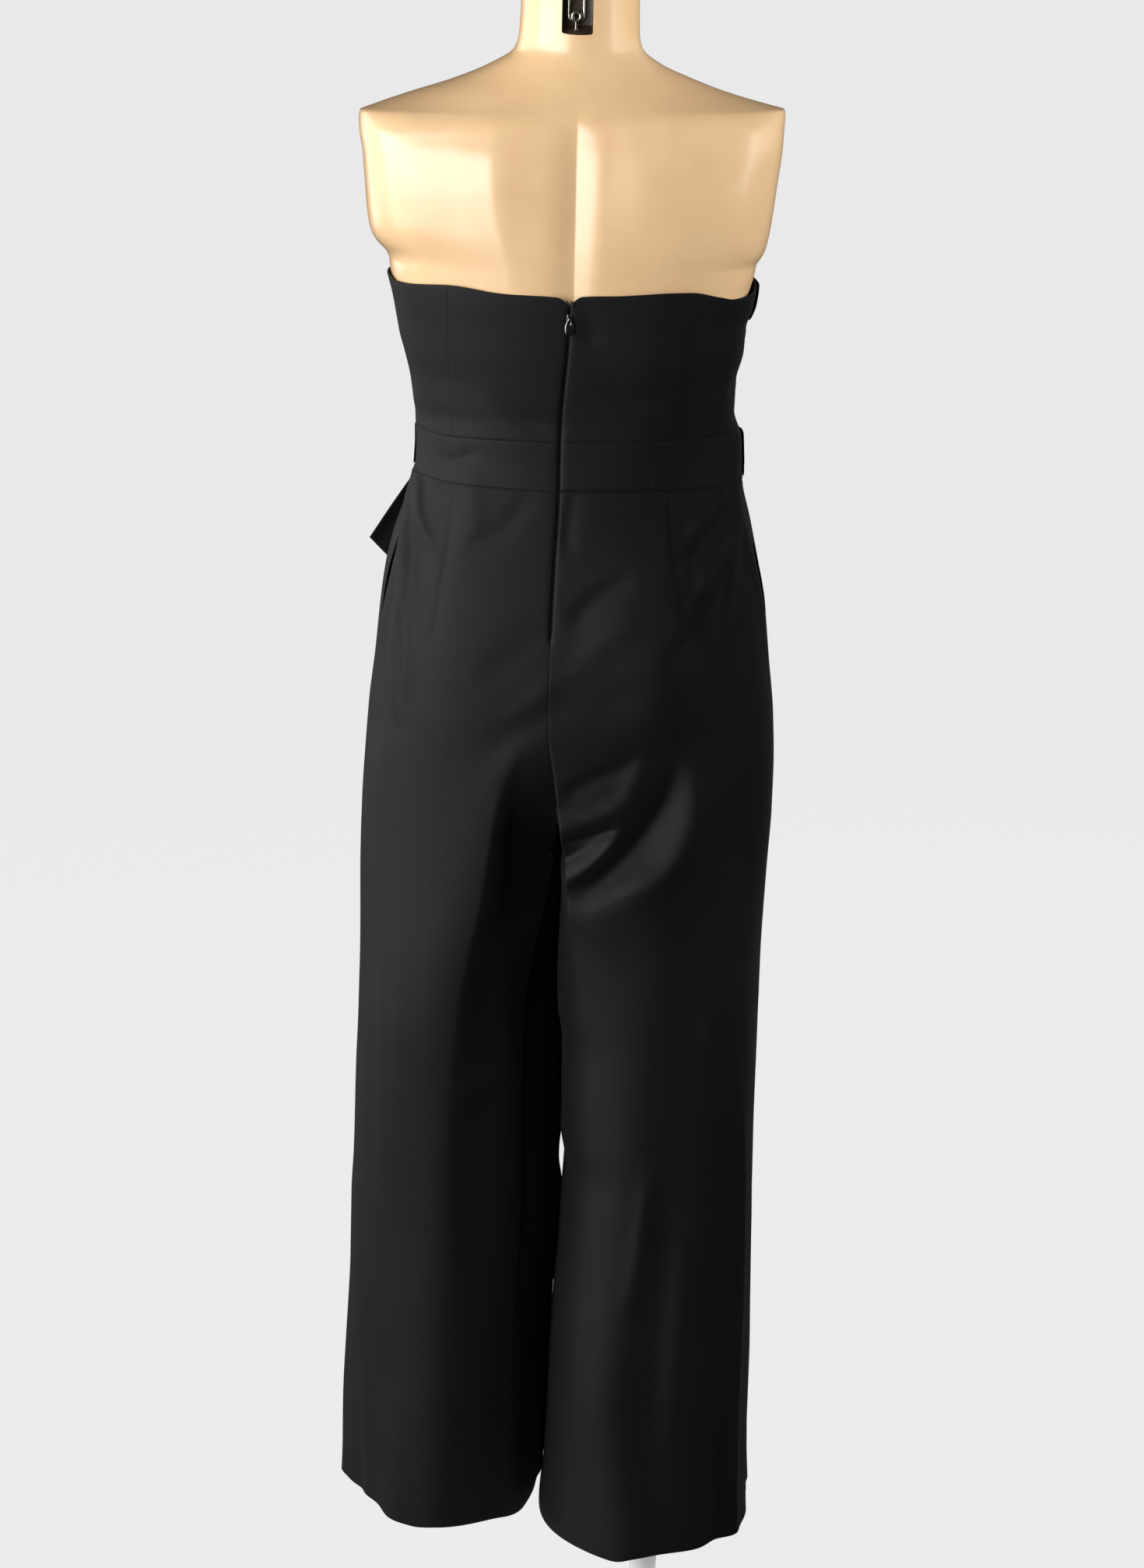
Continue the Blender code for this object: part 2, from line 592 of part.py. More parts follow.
def upper_panel(name, low_line, high_line, start, end, rows, columns, surface=body_points, lift=None,
                thickness=WALL, edges=("start", "end", "top", "bottom")):
    """A cloth panel above the trousers. lift(turn, height, rows_share) raises it off the surface."""
    turn, height = band_grid(low_line, high_line, start, end, rows, columns)
    points = surface(turn, height)
    outward = surface_normals(surface, turn, height)
    if lift is not None:
        row_share = np.linspace(0, 1, rows + 1)[:, None]
        points = points + outward * (lift(turn, row_share) + thickness)[..., None]
    return grid_wall(name, points, outward, thickness, edges=edges)


def make_bodice():
    upper_panel("bodice_back_centre_left", BAND_TOP, NECKLINE, centre_back_turn, left_princess, 6, 6)
    upper_panel("bodice_back_side_left", BAND_TOP, NECKLINE, left_princess, left_side, 6, 4)
    upper_panel("bodice_back_centre_right", BAND_TOP, NECKLINE, right_princess, centre_back_turn, 6, 6)
    upper_panel("bodice_back_side_right", BAND_TOP, NECKLINE, right_side, right_princess, 6, 5)
    upper_panel("bodice_front", BAND_TOP, NECKLINE, left_side, right_side_from_front, 12, COLUMNS_FRONT,
                surface=draped_points)


def make_waistband():
    upper_panel("waistband_back_left", BAND_BOTTOM, BAND_TOP, centre_back_turn, left_side, 2, COLUMNS_MAIN)
    upper_panel("waistband_back_right", BAND_BOTTOM, BAND_TOP, right_side, centre_back_turn, 2, COLUMNS_MAIN)
    upper_panel("waistband_front", BAND_BOTTOM, BAND_TOP, left_side, right_side_from_front, 2,
                COLUMNS_FRONT)


def shifted(line, shift):
    """The same edge line, moved up or down."""
    heights = line.columns["height"] / MM + shift
    return Table("turn height", np.column_stack([line.key, heights]), plain=("turn",))


def make_neckline_fold():
    """The front edge is turned over to the outside and stands off the bodice, most at the right side."""

    def lift(turn, row_share):
        crown = np.sin(np.pi * np.clip(row_share, 0, 1)) ** 0.7
        return DRAPE_CLEAR + SEAM + CUFF_STAND.read("out", np.degrees(turn)) * crown

    upper_panel("neckline_fold", shifted(NECKLINE, -36), shifted(NECKLINE, -1.0),
                lambda z: left_side(z) + 8, lambda z: right_side_from_front(z) - 1.5, 3, COLUMNS_FRONT,
                lift=lift)


def make_sash():
    """The sash lies on the front waistband, in two lengths that run under the knot."""

    def lift(turn, row_share):
        crown = np.sin(np.pi * (0.06 + 0.88 * row_share)) ** 0.5
        return SASH_GAP + SASH_STAND.read("out", np.degrees(turn)) * crown

    knot = math.degrees(KNOT["turn"])
    low, high = shifted(BAND_BOTTOM, 1.5), shifted(BAND_TOP, -1.5)
    upper_panel("sash_left", low, high, lambda z: left_side(z) + 8, lambda z: knot, 4, 8, lift=lift)
    upper_panel("sash_right", low, high, lambda z: knot, lambda z: right_side_from_front(z) - 2, 4, 18,
                lift=lift)


def make_knot():
    """A domed lump of cloth over the place where the sash lengths and tails meet."""
    count = 8
    turn = KNOT["turn"] + KNOT["half_turn"] * np.linspace(-1, 1, count + 1)[None, :]
    height = KNOT["height"] - KNOT["half_height"] * np.linspace(-1, 1, count + 1)[:, None]
    turn, height = np.broadcast_arrays(turn, height)
    across = np.linspace(-1, 1, count + 1)[None, :]
    down = np.linspace(-1, 1, count + 1)[:, None]
    rounding = 1 - 0.16 * across ** 2 * down ** 2
    turn = KNOT["turn"] + (turn - KNOT["turn"]) * rounding
    height = KNOT["height"] + (height - KNOT["height"]) * rounding
    dome = KNOT["dome"] * (np.clip(1 - across ** 4, 0, 1) * np.clip(1 - down ** 4, 0, 1)) ** 0.5 + 2 * MM
    points = body_points(turn, height)
    outward = surface_normals(body_points, turn, height)
    inner = points + outward * KNOT["lift"]
    outer = inner + outward * dome[..., None]
    faces = grid_faces(count + 1, count + 1)
    wall("sash_knot", outer.reshape(-1, 3), inner.reshape(-1, 3), faces)


def strip_wall(name, points, thickness):
    """A strip of cloth on a grid of points, with its outer face towards the front."""
    outward = unit(np.cross(np.gradient(points, axis=0), np.gradient(points, axis=1)))
    backwards = outward[..., 1].mean() > 0
    if backwards:
        outward = -outward
    grid_wall(name, points, outward, thickness, flip=not backwards, edges=())


def make_tails():
    edges = []
    for name in ("upper", "lower"):
        root = [front_place(*(value * MM for value in row[name])) for row in SIDE_TAIL_ROOT]
        free = [tuple(value * MM for value in row[name]) for row in SIDE_TAIL_FREE]
        edges.append(np.array(root + free))
    shares = np.linspace(0, 1, TAIL_COLUMNS + 1)[None, :, None]
    strip_wall("sash_tail_side", edges[0][:, None] + (edges[1] - edges[0])[:, None] * shares, THIN_WALL)
    rows = []
    for index, row in enumerate(FRONT_TAIL):
        slant = FRONT_TAIL_SLANT * index / (len(FRONT_TAIL) - 1)
        offsets = np.linspace(1, -1, TAIL_COLUMNS + 1) * row["half_width"]
        rows.append([front_place((row["x"] + offset) * MM, (row["z"] + slant * offset) * MM, row["out"] * MM)
                     for offset in offsets])
    strip_wall("sash_tail_front", np.array(rows), THIN_WALL)


# ------------------------------------------------------------------ trousers
def fold_lift(points, across, face):
    """How far the folds of one face stand up at each point, seen square on to that face."""
    total = np.zeros(points.shape[:-1])
    for rows in FOLDS[face].values():
        rows = np.array(rows, float) * MM
        nearest = np.full(points.shape[:-1], np.inf)
        lift = np.zeros(points.shape[:-1])
        for start, end in zip(rows, rows[1:]):
            along = end[:2] - start[:2]
            offset = points[..., [0, 2]] - start[:2]
            share = np.clip((offset @ along) / (along @ along), 0, 1)
            height = start[2] + (end[2] - start[2]) * share
            width = start[3] + (end[3] - start[3]) * share
            away = np.linalg.norm(offset - share[..., None] * along, axis=-1) / width
            closer = away < nearest
            nearest = np.where(closer, away, nearest)
            lift = np.where(closer, height * np.exp(-away ** 2), lift)
        total += lift
    fade = ease_in_out((points[..., 2] - FOLD_FADE["above"]) / (FOLD_FADE["full"] - FOLD_FADE["above"]))
    return total * (1 - fade * (1 - ease_in_out(across / FOLD_FADE["columns"])))


def leg_points(table, side, across, face, height):
    """The round tube of one leg. across is -1 at the inseam, 0 at the centre seam, 1 at the side."""
    inner, outer = table.read("inner", height), table.read("outer", height)
    front, back = table.read("front", height), table.read("back", height)
    centre_x, centre_y = (inner + outer) / 2, (back - front) / 2
    reach_x, reach_y = (outer - inner) / 2, (front + back) / 2
    twist = np.radians(table.read("twist", height)) * face
    seam = math.pi - FORK_ANGLE
    angle = np.where(across >= 0, seam + (twist - seam) * across, seam - FORK_ANGLE * across)
    power = table.read("power", height)
    cosine, sine = np.cos(angle), np.sin(angle)
    radius = ((np.abs(cosine) / reach_x) ** power + (np.abs(sine) / reach_y) ** power) ** (-1 / power)
    x = side * (centre_x + radius * cosine)
    y = centre_y + face * radius * sine
    return np.stack([x, y, height], axis=-1)


def panel_turn(side, face, across, height):
    """The turn round the body of a trouser panel's columns, from its centre seam to its side seam."""
    if face > 0:
        centre = np.arctan2(CENTRE_BACK.read("shift", height), BODY.read("back", height))
    else:
        centre = side * math.pi - FRONT_SHIFT / BODY.read("front", height)
    seam = np.radians(SIDE_SEAM.read("left" if side > 0 else "right", height)) * side
    return centre + (seam - centre) * np.clip(across, 0, 1)


def seat_points(side, across, face, height, below):
    """The body surface for the panels, and the flat sheets under the crotch seam where across < 0."""
    points = ring_points(BODY, panel_turn(side, face, across, height), height)
    reach = BODY.read("back", height) if face > 0 else BODY.read("front", height)
    shift = CENTRE_BACK.read("shift", height) if face > 0 else np.full_like(height, FRONT_SHIFT)
    fork = np.clip(-across, 0, 1)
    sheet = np.stack([shift + (FRONT_SHIFT - shift) * fork, face * reach * (1 - fork), height], axis=-1)
    points = np.where((across < 0)[..., None], sheet, points)
    parting = (SEAM / 2 + CROTCH_SPREAD * below) * (1 - np.clip(across, 0, 1)) ** 2
    points[..., 0] += side * np.where((below >= 0) & (height < CROTCH_TOP + 1e-6), parting, 0)
    return points


def trouser_grid(side_name, face_name):
    """Outer points of one trouser panel, its columns' shares, and which points are part of it."""
    side = 1 if side_name == "left" else -1
    face = 1 if face_name == "back" else -1
    legs, hem_line = (LEFT_LEG, LEFT_HEM) if side > 0 else (RIGHT_LEG, RIGHT_HEM)
    fork_columns = np.linspace(-1, 0, COLUMNS_FORK + 1)[:-1]
    columns = np.concatenate([fork_columns, np.linspace(0, 1, COLUMNS_MAIN + 1)])
    rows = np.array(TROUSER_ROWS) * MM
    across, row_height = np.meshgrid(columns, rows)
    fork = np.clip(-across, 0, 1)
    drop = (CROTCH_TOP - CROTCH_POINT) * (1 - (1 - fork) ** CROTCH_BEND)
    height = row_height - drop * np.clip((row_height - HEM) / (CROTCH_TOP - HEM), 0, 1)
    # The top row follows the waistband and the last row follows the hem.
    degrees = np.degrees(panel_turn(side, face, across, row_height))
    degrees = np.where(degrees < -90.5, degrees + 360, degrees)
    waist = BAND_BOTTOM.read("height", degrees) - rows[0]
    height = height + waist * ease_in_out((row_height - WAIST_FROM) / (rows[0] - WAIST_FROM))
    out = side * leg_points(legs, side, across, face, np.full_like(height, HEM))[..., 0]
    hem = hem_line.read("height", out) - HEM
    height = height + hem * ease_in_out(1 - (row_height - HEM) / HEM_REACH)
    below = np.where(row_height < CROTCH_TOP + 1e-6, CROTCH_TOP - drop - height, -1.0)
    below = np.where(np.abs(below) < 1e-6, 0.0, below)
    seat = seat_points(side, across, face, height, below)
    tube = leg_points(legs, side, across, face, height)
    formed = ease_in_out((CROTCH_TOP - height) / (CROTCH_TOP - LEG_FORMED))[..., None]
    present = (across >= 0) | (row_height < CROTCH_TOP + 1e-6)
    return seat * (1 - formed) + tube * formed, across, present


def face_normals(points, present, flip):
    """Area-weighted normals summed at each point of a grid, not yet scaled."""
    normals = np.zeros_like(points)
    first = points[1:, 1:] - points[:-1, :-1]
    second = points[1:, :-1] - points[:-1, 1:]
    faces = np.cross(first, second)
    if flip:
        faces = -faces
    whole = present[1:, 1:] & present[:-1, :-1] & present[1:, :-1] & present[:-1, 1:]
    faces = faces * whole[..., None]
    normals[1:, 1:] += faces
    normals[:-1, :-1] += faces
    normals[1:, :-1] += faces
    normals[:-1, 1:] += faces
    return normals


def leg_normals(panels, flips):
    """Outward normals of one leg's back and front panels, which share a side seam and an inseam."""
    sums = {face: face_normals(*panels[face], flips[face]) for face in panels}
    for column in (0, -1):
        shared = sums["back"][:, column] + sums["front"][:, column]
        sums["back"][:, column] = shared
        sums["front"][:, column] = shared
    above = np.array(TROUSER_ROWS) * MM > CROTCH_TOP + 1e-6
    for face in sums:
        centre = sums[face][:, COLUMNS_FORK]
        centre[above, 0] = 0.0
        missing = np.linalg.norm(sums[face], axis=-1) < 1e-12
        sums[face][missing] = (0, 0, 1)
        sums[face] = unit(sums[face])
    return sums


def make_leg(side_name):
    side = 1 if side_name == "left" else -1
    flips = {"back": side < 0, "front": side > 0}
    panels = {}
    grids = {face: trouser_grid(side_name, face) for face in flips}
    normals = leg_normals({face: (points, present) for face, (points, _, present) in grids.items()}, flips)
    for face, (points, across, present) in grids.items():
        lifted = points + normals[face] * fold_lift(points, across, face)[..., None]
        panels[face] = (lifted, present)
    seam_back, seam_front = panels["back"][0][:, -1], panels["front"][0][:, -1]
    inseam_back, inseam_front = panels["back"][0][:, 0], panels["front"][0][:, 0]
    for back, front in ((seam_back, seam_front), (inseam_back, inseam_front)):
        middle = (back + front) / 2
        back[:] = middle
        front[:] = middle
    normals = leg_normals(panels, flips)
    crotch_row = TROUSER_ROWS.index(round(CROTCH_TOP / MM))
    slit = POCKET_SLIT.read("gape", np.array(TROUSER_ROWS) * MM)
    for face, (points, present) in panels.items():
        outer = points.copy()
        gap = SEAM / 2 + (slit if face == "back" else 0 * slit)
        outer[:, -1] += unit(points[:, -2] - points[:, -1]) * np.asarray(gap)[:, None]
        outer[crotch_row:, 0] += unit(points[crotch_row:, 1] - points[crotch_row:, 0]) * SEAM / 2
        centre = points[:crotch_row, COLUMNS_FORK]
        outer[:crotch_row, COLUMNS_FORK] += unit(points[:crotch_row, COLUMNS_FORK + 1] - centre) * SEAM / 2
        outer[0] += unit(points[1] - points[0]) * SEAM
        inner = outer - normals[face] * WALL
        rows, columns = points.shape[:2]
        faces = grid_faces(rows, columns, flips[face], present)
        wall(f"trouser_{face}_{side_name}", outer.reshape(-1, 3), inner.reshape(-1, 3), faces)
    make_facing(side_name, panels, normals, flips)


def make_facing(side_name, panels, normals, flips):
    """The strip of pocket cloth behind the slit, inside both panels and across the side seam."""
    heights = np.array(TROUSER_ROWS)
    rows = (heights >= POCKET_ROWS[0]) & (heights <= POCKET_ROWS[1])
    back = slice(-1 - FACING_COLUMNS, None)
    front = slice(-2, -2 - FACING_COLUMNS, -1)
    points = np.concatenate([panels["back"][0][rows, back], panels["front"][0][rows, front]], axis=1)
    outward = np.concatenate([normals["back"][rows, back], normals["front"][rows, front]], axis=1)
    outer = points - outward * (WALL + FACING_GAP)
    grid_wall(f"pocket_facing_{side_name}", outer, outward, THIN_WALL, flip=flips["back"], edges=())


# ------------------------------------------------------------------ zip
def zip_frame(height):
    """A place on the centre back seam: x to the left, y up the cloth, z straight out of it."""
    turn = math.radians(centre_back_turn(height))
    place = body_points(turn, height)
    outward = surface_normals(body_points, turn, height)
    outward = unit(np.array([0.0, outward[1], outward[2]]))
    up = np.cross(outward, (1.0, 0.0, 0.0))
    frame = Matrix.Identity(4)
    for column, vector in enumerate(((1, 0, 0), up, outward, place)):
        for row in range(3):
            frame[row][column] = vector[row]
    return frame


def outline_solid(name, outline, hole, low, high, material):
    """A flat plate between two heights, with one hole, from outlines with equal point counts."""
    bm = bmesh.new()
    layers = []
    for z in (low, high):
        layers.append([[bm.verts.new((x, y, z)) for x, y in line] for line in (outline, hole)])
    count = len(outline)
    for k in range(count):
        following = (k + 1) % count
        (low_out, low_in), (high_out, high_in) = layers
        bm.faces.new([low_out[k], low_out[following], high_out[following], high_out[k]])
        bm.faces.new([low_in[following], low_in[k], high_in[k], high_in[following]])
        bm.faces.new([high_out[k], high_out[following], high_in[following], high_in[k]])
        bm.faces.new([low_out[following], low_out[k], low_in[k], low_in[following]])
    return add_object(name, bm, material)


def make_slider(frame):
    """A flat slider on the closed zip, with an arch that the tab hangs in."""
    bm = bmesh.new()
    bmesh.ops.create_cube(bm, size=1.0)
    thick = SLIDER["top"] - SLIDER["foot"]
    bmesh.ops.scale(bm, vec=(2 * SLIDER["half_width"], SLIDER["up"] + SLIDER["down"], thick), verts=bm.verts)
    middle = ((SLIDER["up"] - SLIDER["down"]) / 2, (SLIDER["top"] + SLIDER["foot"]) / 2)
    bmesh.ops.translate(bm, vec=(0, *middle), verts=bm.verts)
    slider = add_object("zip_slider", bm, "zip_metal")
    slider.matrix_world = frame
    bevel = slider.modifiers.new("soften", "BEVEL")
    bevel.width, bevel.segments = 0.35 * MM, 1

    bm = bmesh.new()
    rings = []
    for k in range(ARCH["steps"] + 1):
        angle = math.pi * k / ARCH["steps"]
        foot = SLIDER["top"] - (thick / 2 if k in (0, ARCH["steps"]) else 0)
        ring = []
        for radius, side in (("outer", -1), ("outer", 1), ("inner", 1), ("inner", -1)):
            y, z = ARCH[radius] * math.cos(angle), foot + ARCH[radius] * math.sin(angle)
            ring.append(bm.verts.new((side * ARCH["half_width"], y, z)))
        rings.append(ring)
    for first, second in zip(rings, rings[1:]):
        for k in range(4):
            following = (k + 1) % 4
            bm.faces.new([first[k], first[following], second[following], second[k]])
    bm.faces.new(rings[0])
    bm.faces.new(rings[-1])
    bmesh.ops.recalc_face_normals(bm, faces=bm.faces)
    arch = add_object("slider_arch_guide", bm, "zip_metal")
    arch.matrix_world = frame
    join(slider, arch)


def rounded(angle, power):
    """A point on a rounded square of half width 1."""
    across, along = math.sin(angle), math.cos(angle)
    return math.copysign(abs(across) ** power, across), math.copysign(abs(along) ** power, along)


def make_tab(frame):
    """The pull tab hangs from its pin, straight down at rest."""
    outline, hole = [], []
    for k in range(24):
        angle = -2 * math.pi * (k + 0.5) / 24
        across, along = rounded(angle, 0.6)
        s = (TAB["length"] - TAB["pin"]) / 2 - (TAB["length"] + TAB["pin"]) / 2 * along
        width = TAB["neck"] + (TAB["width"] - TAB["neck"]) * min(1, max(0, s / (0.62 * TAB["length"])))
        outline.append((width / 2 * across, -s))
        across, along = rounded(angle, 0.45)
        s = (TAB["pin"] + TAB["hole_end"]) / 2 - (TAB["hole_end"] - TAB["pin"]) / 2 * along
        hole.append((TAB["hole_width"] / 2 * across, -s))
    tab = outline_solid("zip_pull_tab", outline, hole, -TAB["thick"] / 2, TAB["thick"] / 2, "zip_metal")
    hinge = bpy.data.objects.new("zip_hinge", None)
    bpy.context.scene.collection.objects.link(hinge)
    hinge.location = frame @ Vector((0, 0, TAB["hinge"]))
    tab.parent = hinge
    tab.rotation_euler = (math.pi / 2, 0, 0)


def make_hook():
    """The hook that closes the top of the zip: a bent wire lying on both edges."""
    place = zip_frame(HOOK["height"])
    reach, drop, rise = HOOK["half_width"], HOOK["drop"], SEAM + HOOK["wire"] + HOOK["clear"]
    bend = [(reach * x, 0.9 * reach * y, rise) for x, y in arc(0, 180, 8)]
    path = [(reach, -drop / 2, rise)] + bend + [(-reach, -drop / 2, rise)]
    wire_loop("zip_hook", [place @ Vector(point) for point in path], HOOK["wire"], "zip_metal", closed=False)


def make_zip():
    frame = zip_frame(ZIP_HINGE_HEIGHT)
    make_slider(frame)
    make_tab(frame)
    make_hook()


# ------------------------------------------------------------------ dress form and stand
def form_ring(height):
    """One ring of the form: bare above the neckline, just inside the cloth below it."""
    turn = np.arange(COLUMNS_FORM) * 2 * math.pi / COLUMNS_FORM
    heights = np.full(COLUMNS_FORM, height)
    if height < BODY.key[-1]:
        points = body_points(turn, heights, float(FORM_INSET.read("inset", height)))
        points[..., 0:2] *= FORM_UNDERSIDE.read("share", height)
    else:
        points = ring_points(BARE_FORM, turn, heights)
    points[..., 1] += bump(points, BLADE, 1)
    ends = ease_in_out((FURROW["top"] - height) / 0.05) * ease_in_out((height - FURROW["bottom"]) / 0.05)
    groove = np.exp(-(points[..., 0] / FURROW["half_width"]) ** 2) * (points[..., 1] > 0)
    points[..., 1] -= FURROW["depth"] * groove * ends
    tilt = ease_in_out((height - 1.352) / 0.03) * ease_in_out((1.575 - height) / 0.03)
    points[..., 2] -= points[..., 0] * SHOULDER_TILT * tilt
    return points


def make_form():
    heights = list(FORM_UNDERSIDE.key) + [value * MM for value in COVERED_FORM_HEIGHTS] + list(BARE_FORM.key)
    bm = bmesh.new()
    rings = [[bm.verts.new(point) for point in form_ring(height)] for height in heights]
    for lower, upper in zip(rings, rings[1:]):
        for k in range(COLUMNS_FORM):
            following = (k + 1) % COLUMNS_FORM
            bm.faces.new([lower[following], lower[k], upper[k], upper[following]])
    bm.faces.new(rings[0])
    bm.faces.new(rings[-1][::-1])
    form = add_object("form_torso", bm, "form_plastic")

    # A slot down the back of the neck, with a floor that slopes out, and a bore for the eye bolt.
    slot_bm = bmesh.new()
    clear = 20 * MM
    rise = (NECK_SLOT["rear_z"] - NECK_SLOT["foot_z"]) / (NECK_SLOT["foot_y"] - NECK_SLOT["rear_y"])
    profile = [(NECK_SLOT["rear_y"], NECK_SLOT["rear_z"]),
               (NECK_SLOT["foot_y"] + clear, NECK_SLOT["foot_z"] - rise * clear),
               (NECK_SLOT["foot_y"] + clear, FORM_TOP + clear), (NECK_SLOT["rear_y"], FORM_TOP + clear)]
    sides = [NECK_SLOT["x"] - NECK_SLOT["width"] / 2, NECK_SLOT["x"] + NECK_SLOT["width"] / 2]
    layers = [[slot_bm.verts.new((x, y, z)) for y, z in profile] for x in sides]
    for k in range(4):
        following = (k + 1) % 4
        slot_bm.faces.new([layers[0][k], layers[0][following], layers[1][following], layers[1][k]])
    slot_bm.faces.new(layers[0][::-1])
    slot_bm.faces.new(layers[1])
    bmesh.ops.recalc_face_normals(slot_bm, faces=slot_bm.faces)
    cut(form, add_object("slot_cutter", slot_bm, "form_plastic"))
    floor = NECK_SLOT["rear_z"] - rise * (EYE["y"] - NECK_SLOT["rear_y"])
    bottom = floor - NECK_SLOT["bore_depth"]
    bore = [(NECK_SLOT["bore"], bottom), (NECK_SLOT["bore"], floor + 5 * MM)]
    cut(form, lathe("bore_cutter", bore, "form_plastic", (EYE["x"], EYE["y"], 0), sides=16))

    # The eye bolt stands in the bore, and its ring holds the neck loop against the slot's rear wall.
    ring = [(EYE["x"] + EYE["ring"] * x, EYE["y"], EYE["z"] + EYE["ring"] * z)
            for x, z in arc(0, 360, 16)[:-1]]
    eye = guide(wire_loop("eye_ring_guide", ring, EYE["wire"], "bright_metal", closed=True))
    shank_top = EYE["z"] - EYE["ring"]
    shank = lathe("neck_eye_bolt", [(EYE["shank"], bottom + SEAM), (EYE["shank"], shank_top)], "bright_metal",
                  (EYE["x"], EYE["y"], 0), sides=16)
    return eye, shank


def make_neck_fittings(eye, shank):
    """Join the eye's ring to its shank, and stand the neck loop behind it."""
    ring_mesh = bpy.data.meshes.new_from_object(eye)
    ring = bpy.data.objects.new("eye_ring_mesh_guide", ring_mesh)
    bpy.context.scene.collection.objects.link(ring)
    join(shank, ring)
    y = NECK_SLOT["rear_y"] + SEAM + BAIL["wire"]
    reach, low = BAIL["half_width"] - BAIL["wire"], BAIL["bottom"] + BAIL["corner"]
    left, right = EYE["x"] - reach + BAIL["corner"], EYE["x"] + reach - BAIL["corner"]
    high = BAIL["top"] - BAIL["wire"] - reach
    path = [(EYE["x"] + reach * x, y, high + reach * z) for x, z in arc(0, 180, 8)]
    path += [(left + BAIL["corner"] * x, y, low + BAIL["corner"] * z) for x, z in arc(180, 270, 3)]
    path += [(right + BAIL["corner"] * x, y, low + BAIL["corner"] * z) for x, z in arc(270, 360, 3)]
    wire_loop("neck_bail", path, BAIL["wire"], "bright_metal", closed=True)


def make_stand():
    """A round plate on the floor and a pole that runs up inside the right leg to the form."""
    lathe("stand_base", bevelled_disc(BASE["radius"], BASE["thick"], BASE["bevel"]), "stand_paint", sides=64)
    foot = BASE["thick"] + SEAM
    under_form = FORM_BOTTOM - SEAM
    flange_foot = under_form - FLANGE["thick"]
    place = (POLE["x"], POLE["y"], 0)
    pole = [(POLE["radius"], foot), (POLE["radius"], flange_foot - SEAM)]
    lathe("stand_pole", pole, "stand_paint", place, sides=24)
    flange = bevelled_disc(FLANGE["radius"], FLANGE["thick"], FLANGE["bevel"])
    lathe("stand_flange", [(radius, flange_foot + z) for radius, z in flange], "stand_paint", place)
    inner = POLE["radius"] + SEAM
    bm = bmesh.new()
    profile = [(inner, 0), (COLLAR["radius"], 0), (COLLAR["radius"], COLLAR["height"] - COLLAR["bevel"]),
               (COLLAR["radius"] - COLLAR["bevel"], COLLAR["height"]), (inner, COLLAR["height"])]
    rings = []
    for x, y in arc(0, 360, 24)[:-1]:
        rings.append([bm.verts.new((POLE["x"] + radius * x, POLE["y"] + radius * y, foot + z))
                      for radius, z in profile])
    for k in range(24):
        first, second = rings[k], rings[(k + 1) % 24]
        for i in range(len(profile)):
            following = (i + 1) % len(profile)
            bm.faces.new([first[i], second[i], second[following], first[following]])
    bmesh.ops.recalc_face_normals(bm, faces=bm.faces)
    add_object("stand_collar", bm, "stand_paint")


# ------------------------------------------------------------------ the whole
def make_material(name, colour, roughness, metallic):
    material = bpy.data.materials.new(name)
    material.use_nodes = True
    shader = material.node_tree.nodes["Principled BSDF"]
    shader.inputs["Base Color"].default_value = (*colour, 1)
    shader.inputs["Roughness"].default_value = roughness
    shader.inputs["Metallic"].default_value = metallic
    return material


for old in list(bpy.data.objects):
    bpy.data.objects.remove(old, do_unlink=True)
materials = {name: make_material(name, *values) for name, values in COLOURS.items()}

make_bodice()
make_waistband()
make_neckline_fold()
make_sash()
make_knot()
make_tails()
make_leg("left")
make_leg("right")
make_zip()
make_neck_fittings(*make_form())
make_stand()
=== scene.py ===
"""The looks of a strapless, wide-legged crepe jumpsuit on an armless dress form and its stand.

Metres, +Z up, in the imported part's own frame. The wearer faces -Y, so the camera at +Y sees the back,
and the wearer's left is +X. Tables are in millimetres.

Every cloth piece is a thin shell on the surface of its solid, read from the same tables as the solid,
with finer rows and columns, folds, darts and seams. A fold is a ridge or trough along a line of points
that is seen square on to the back, the front or a side.
"""
import math

import bmesh
import bpy
import numpy as np
from mathutils import Matrix, Vector


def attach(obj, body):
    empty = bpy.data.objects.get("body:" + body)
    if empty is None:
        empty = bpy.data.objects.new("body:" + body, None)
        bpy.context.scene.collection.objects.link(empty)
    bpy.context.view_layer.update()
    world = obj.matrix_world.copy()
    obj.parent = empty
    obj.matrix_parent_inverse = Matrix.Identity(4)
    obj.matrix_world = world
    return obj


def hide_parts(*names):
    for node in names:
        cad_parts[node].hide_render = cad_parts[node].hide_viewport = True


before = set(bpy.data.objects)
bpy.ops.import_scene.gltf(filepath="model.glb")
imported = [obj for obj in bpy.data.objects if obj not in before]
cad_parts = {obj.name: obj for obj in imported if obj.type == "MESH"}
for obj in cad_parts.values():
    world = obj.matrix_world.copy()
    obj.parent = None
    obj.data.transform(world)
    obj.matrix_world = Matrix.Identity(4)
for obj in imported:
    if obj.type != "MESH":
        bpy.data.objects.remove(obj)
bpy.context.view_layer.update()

MM = 0.001
SUIT, TAB_BODY = "jumpsuit_on_form", "zip_pull_tab"

# ------------------------------------------------------------------ driving sizes, in metres
SEAM = 0.3 * MM                 # gap between two sewn pieces, and between touching layers

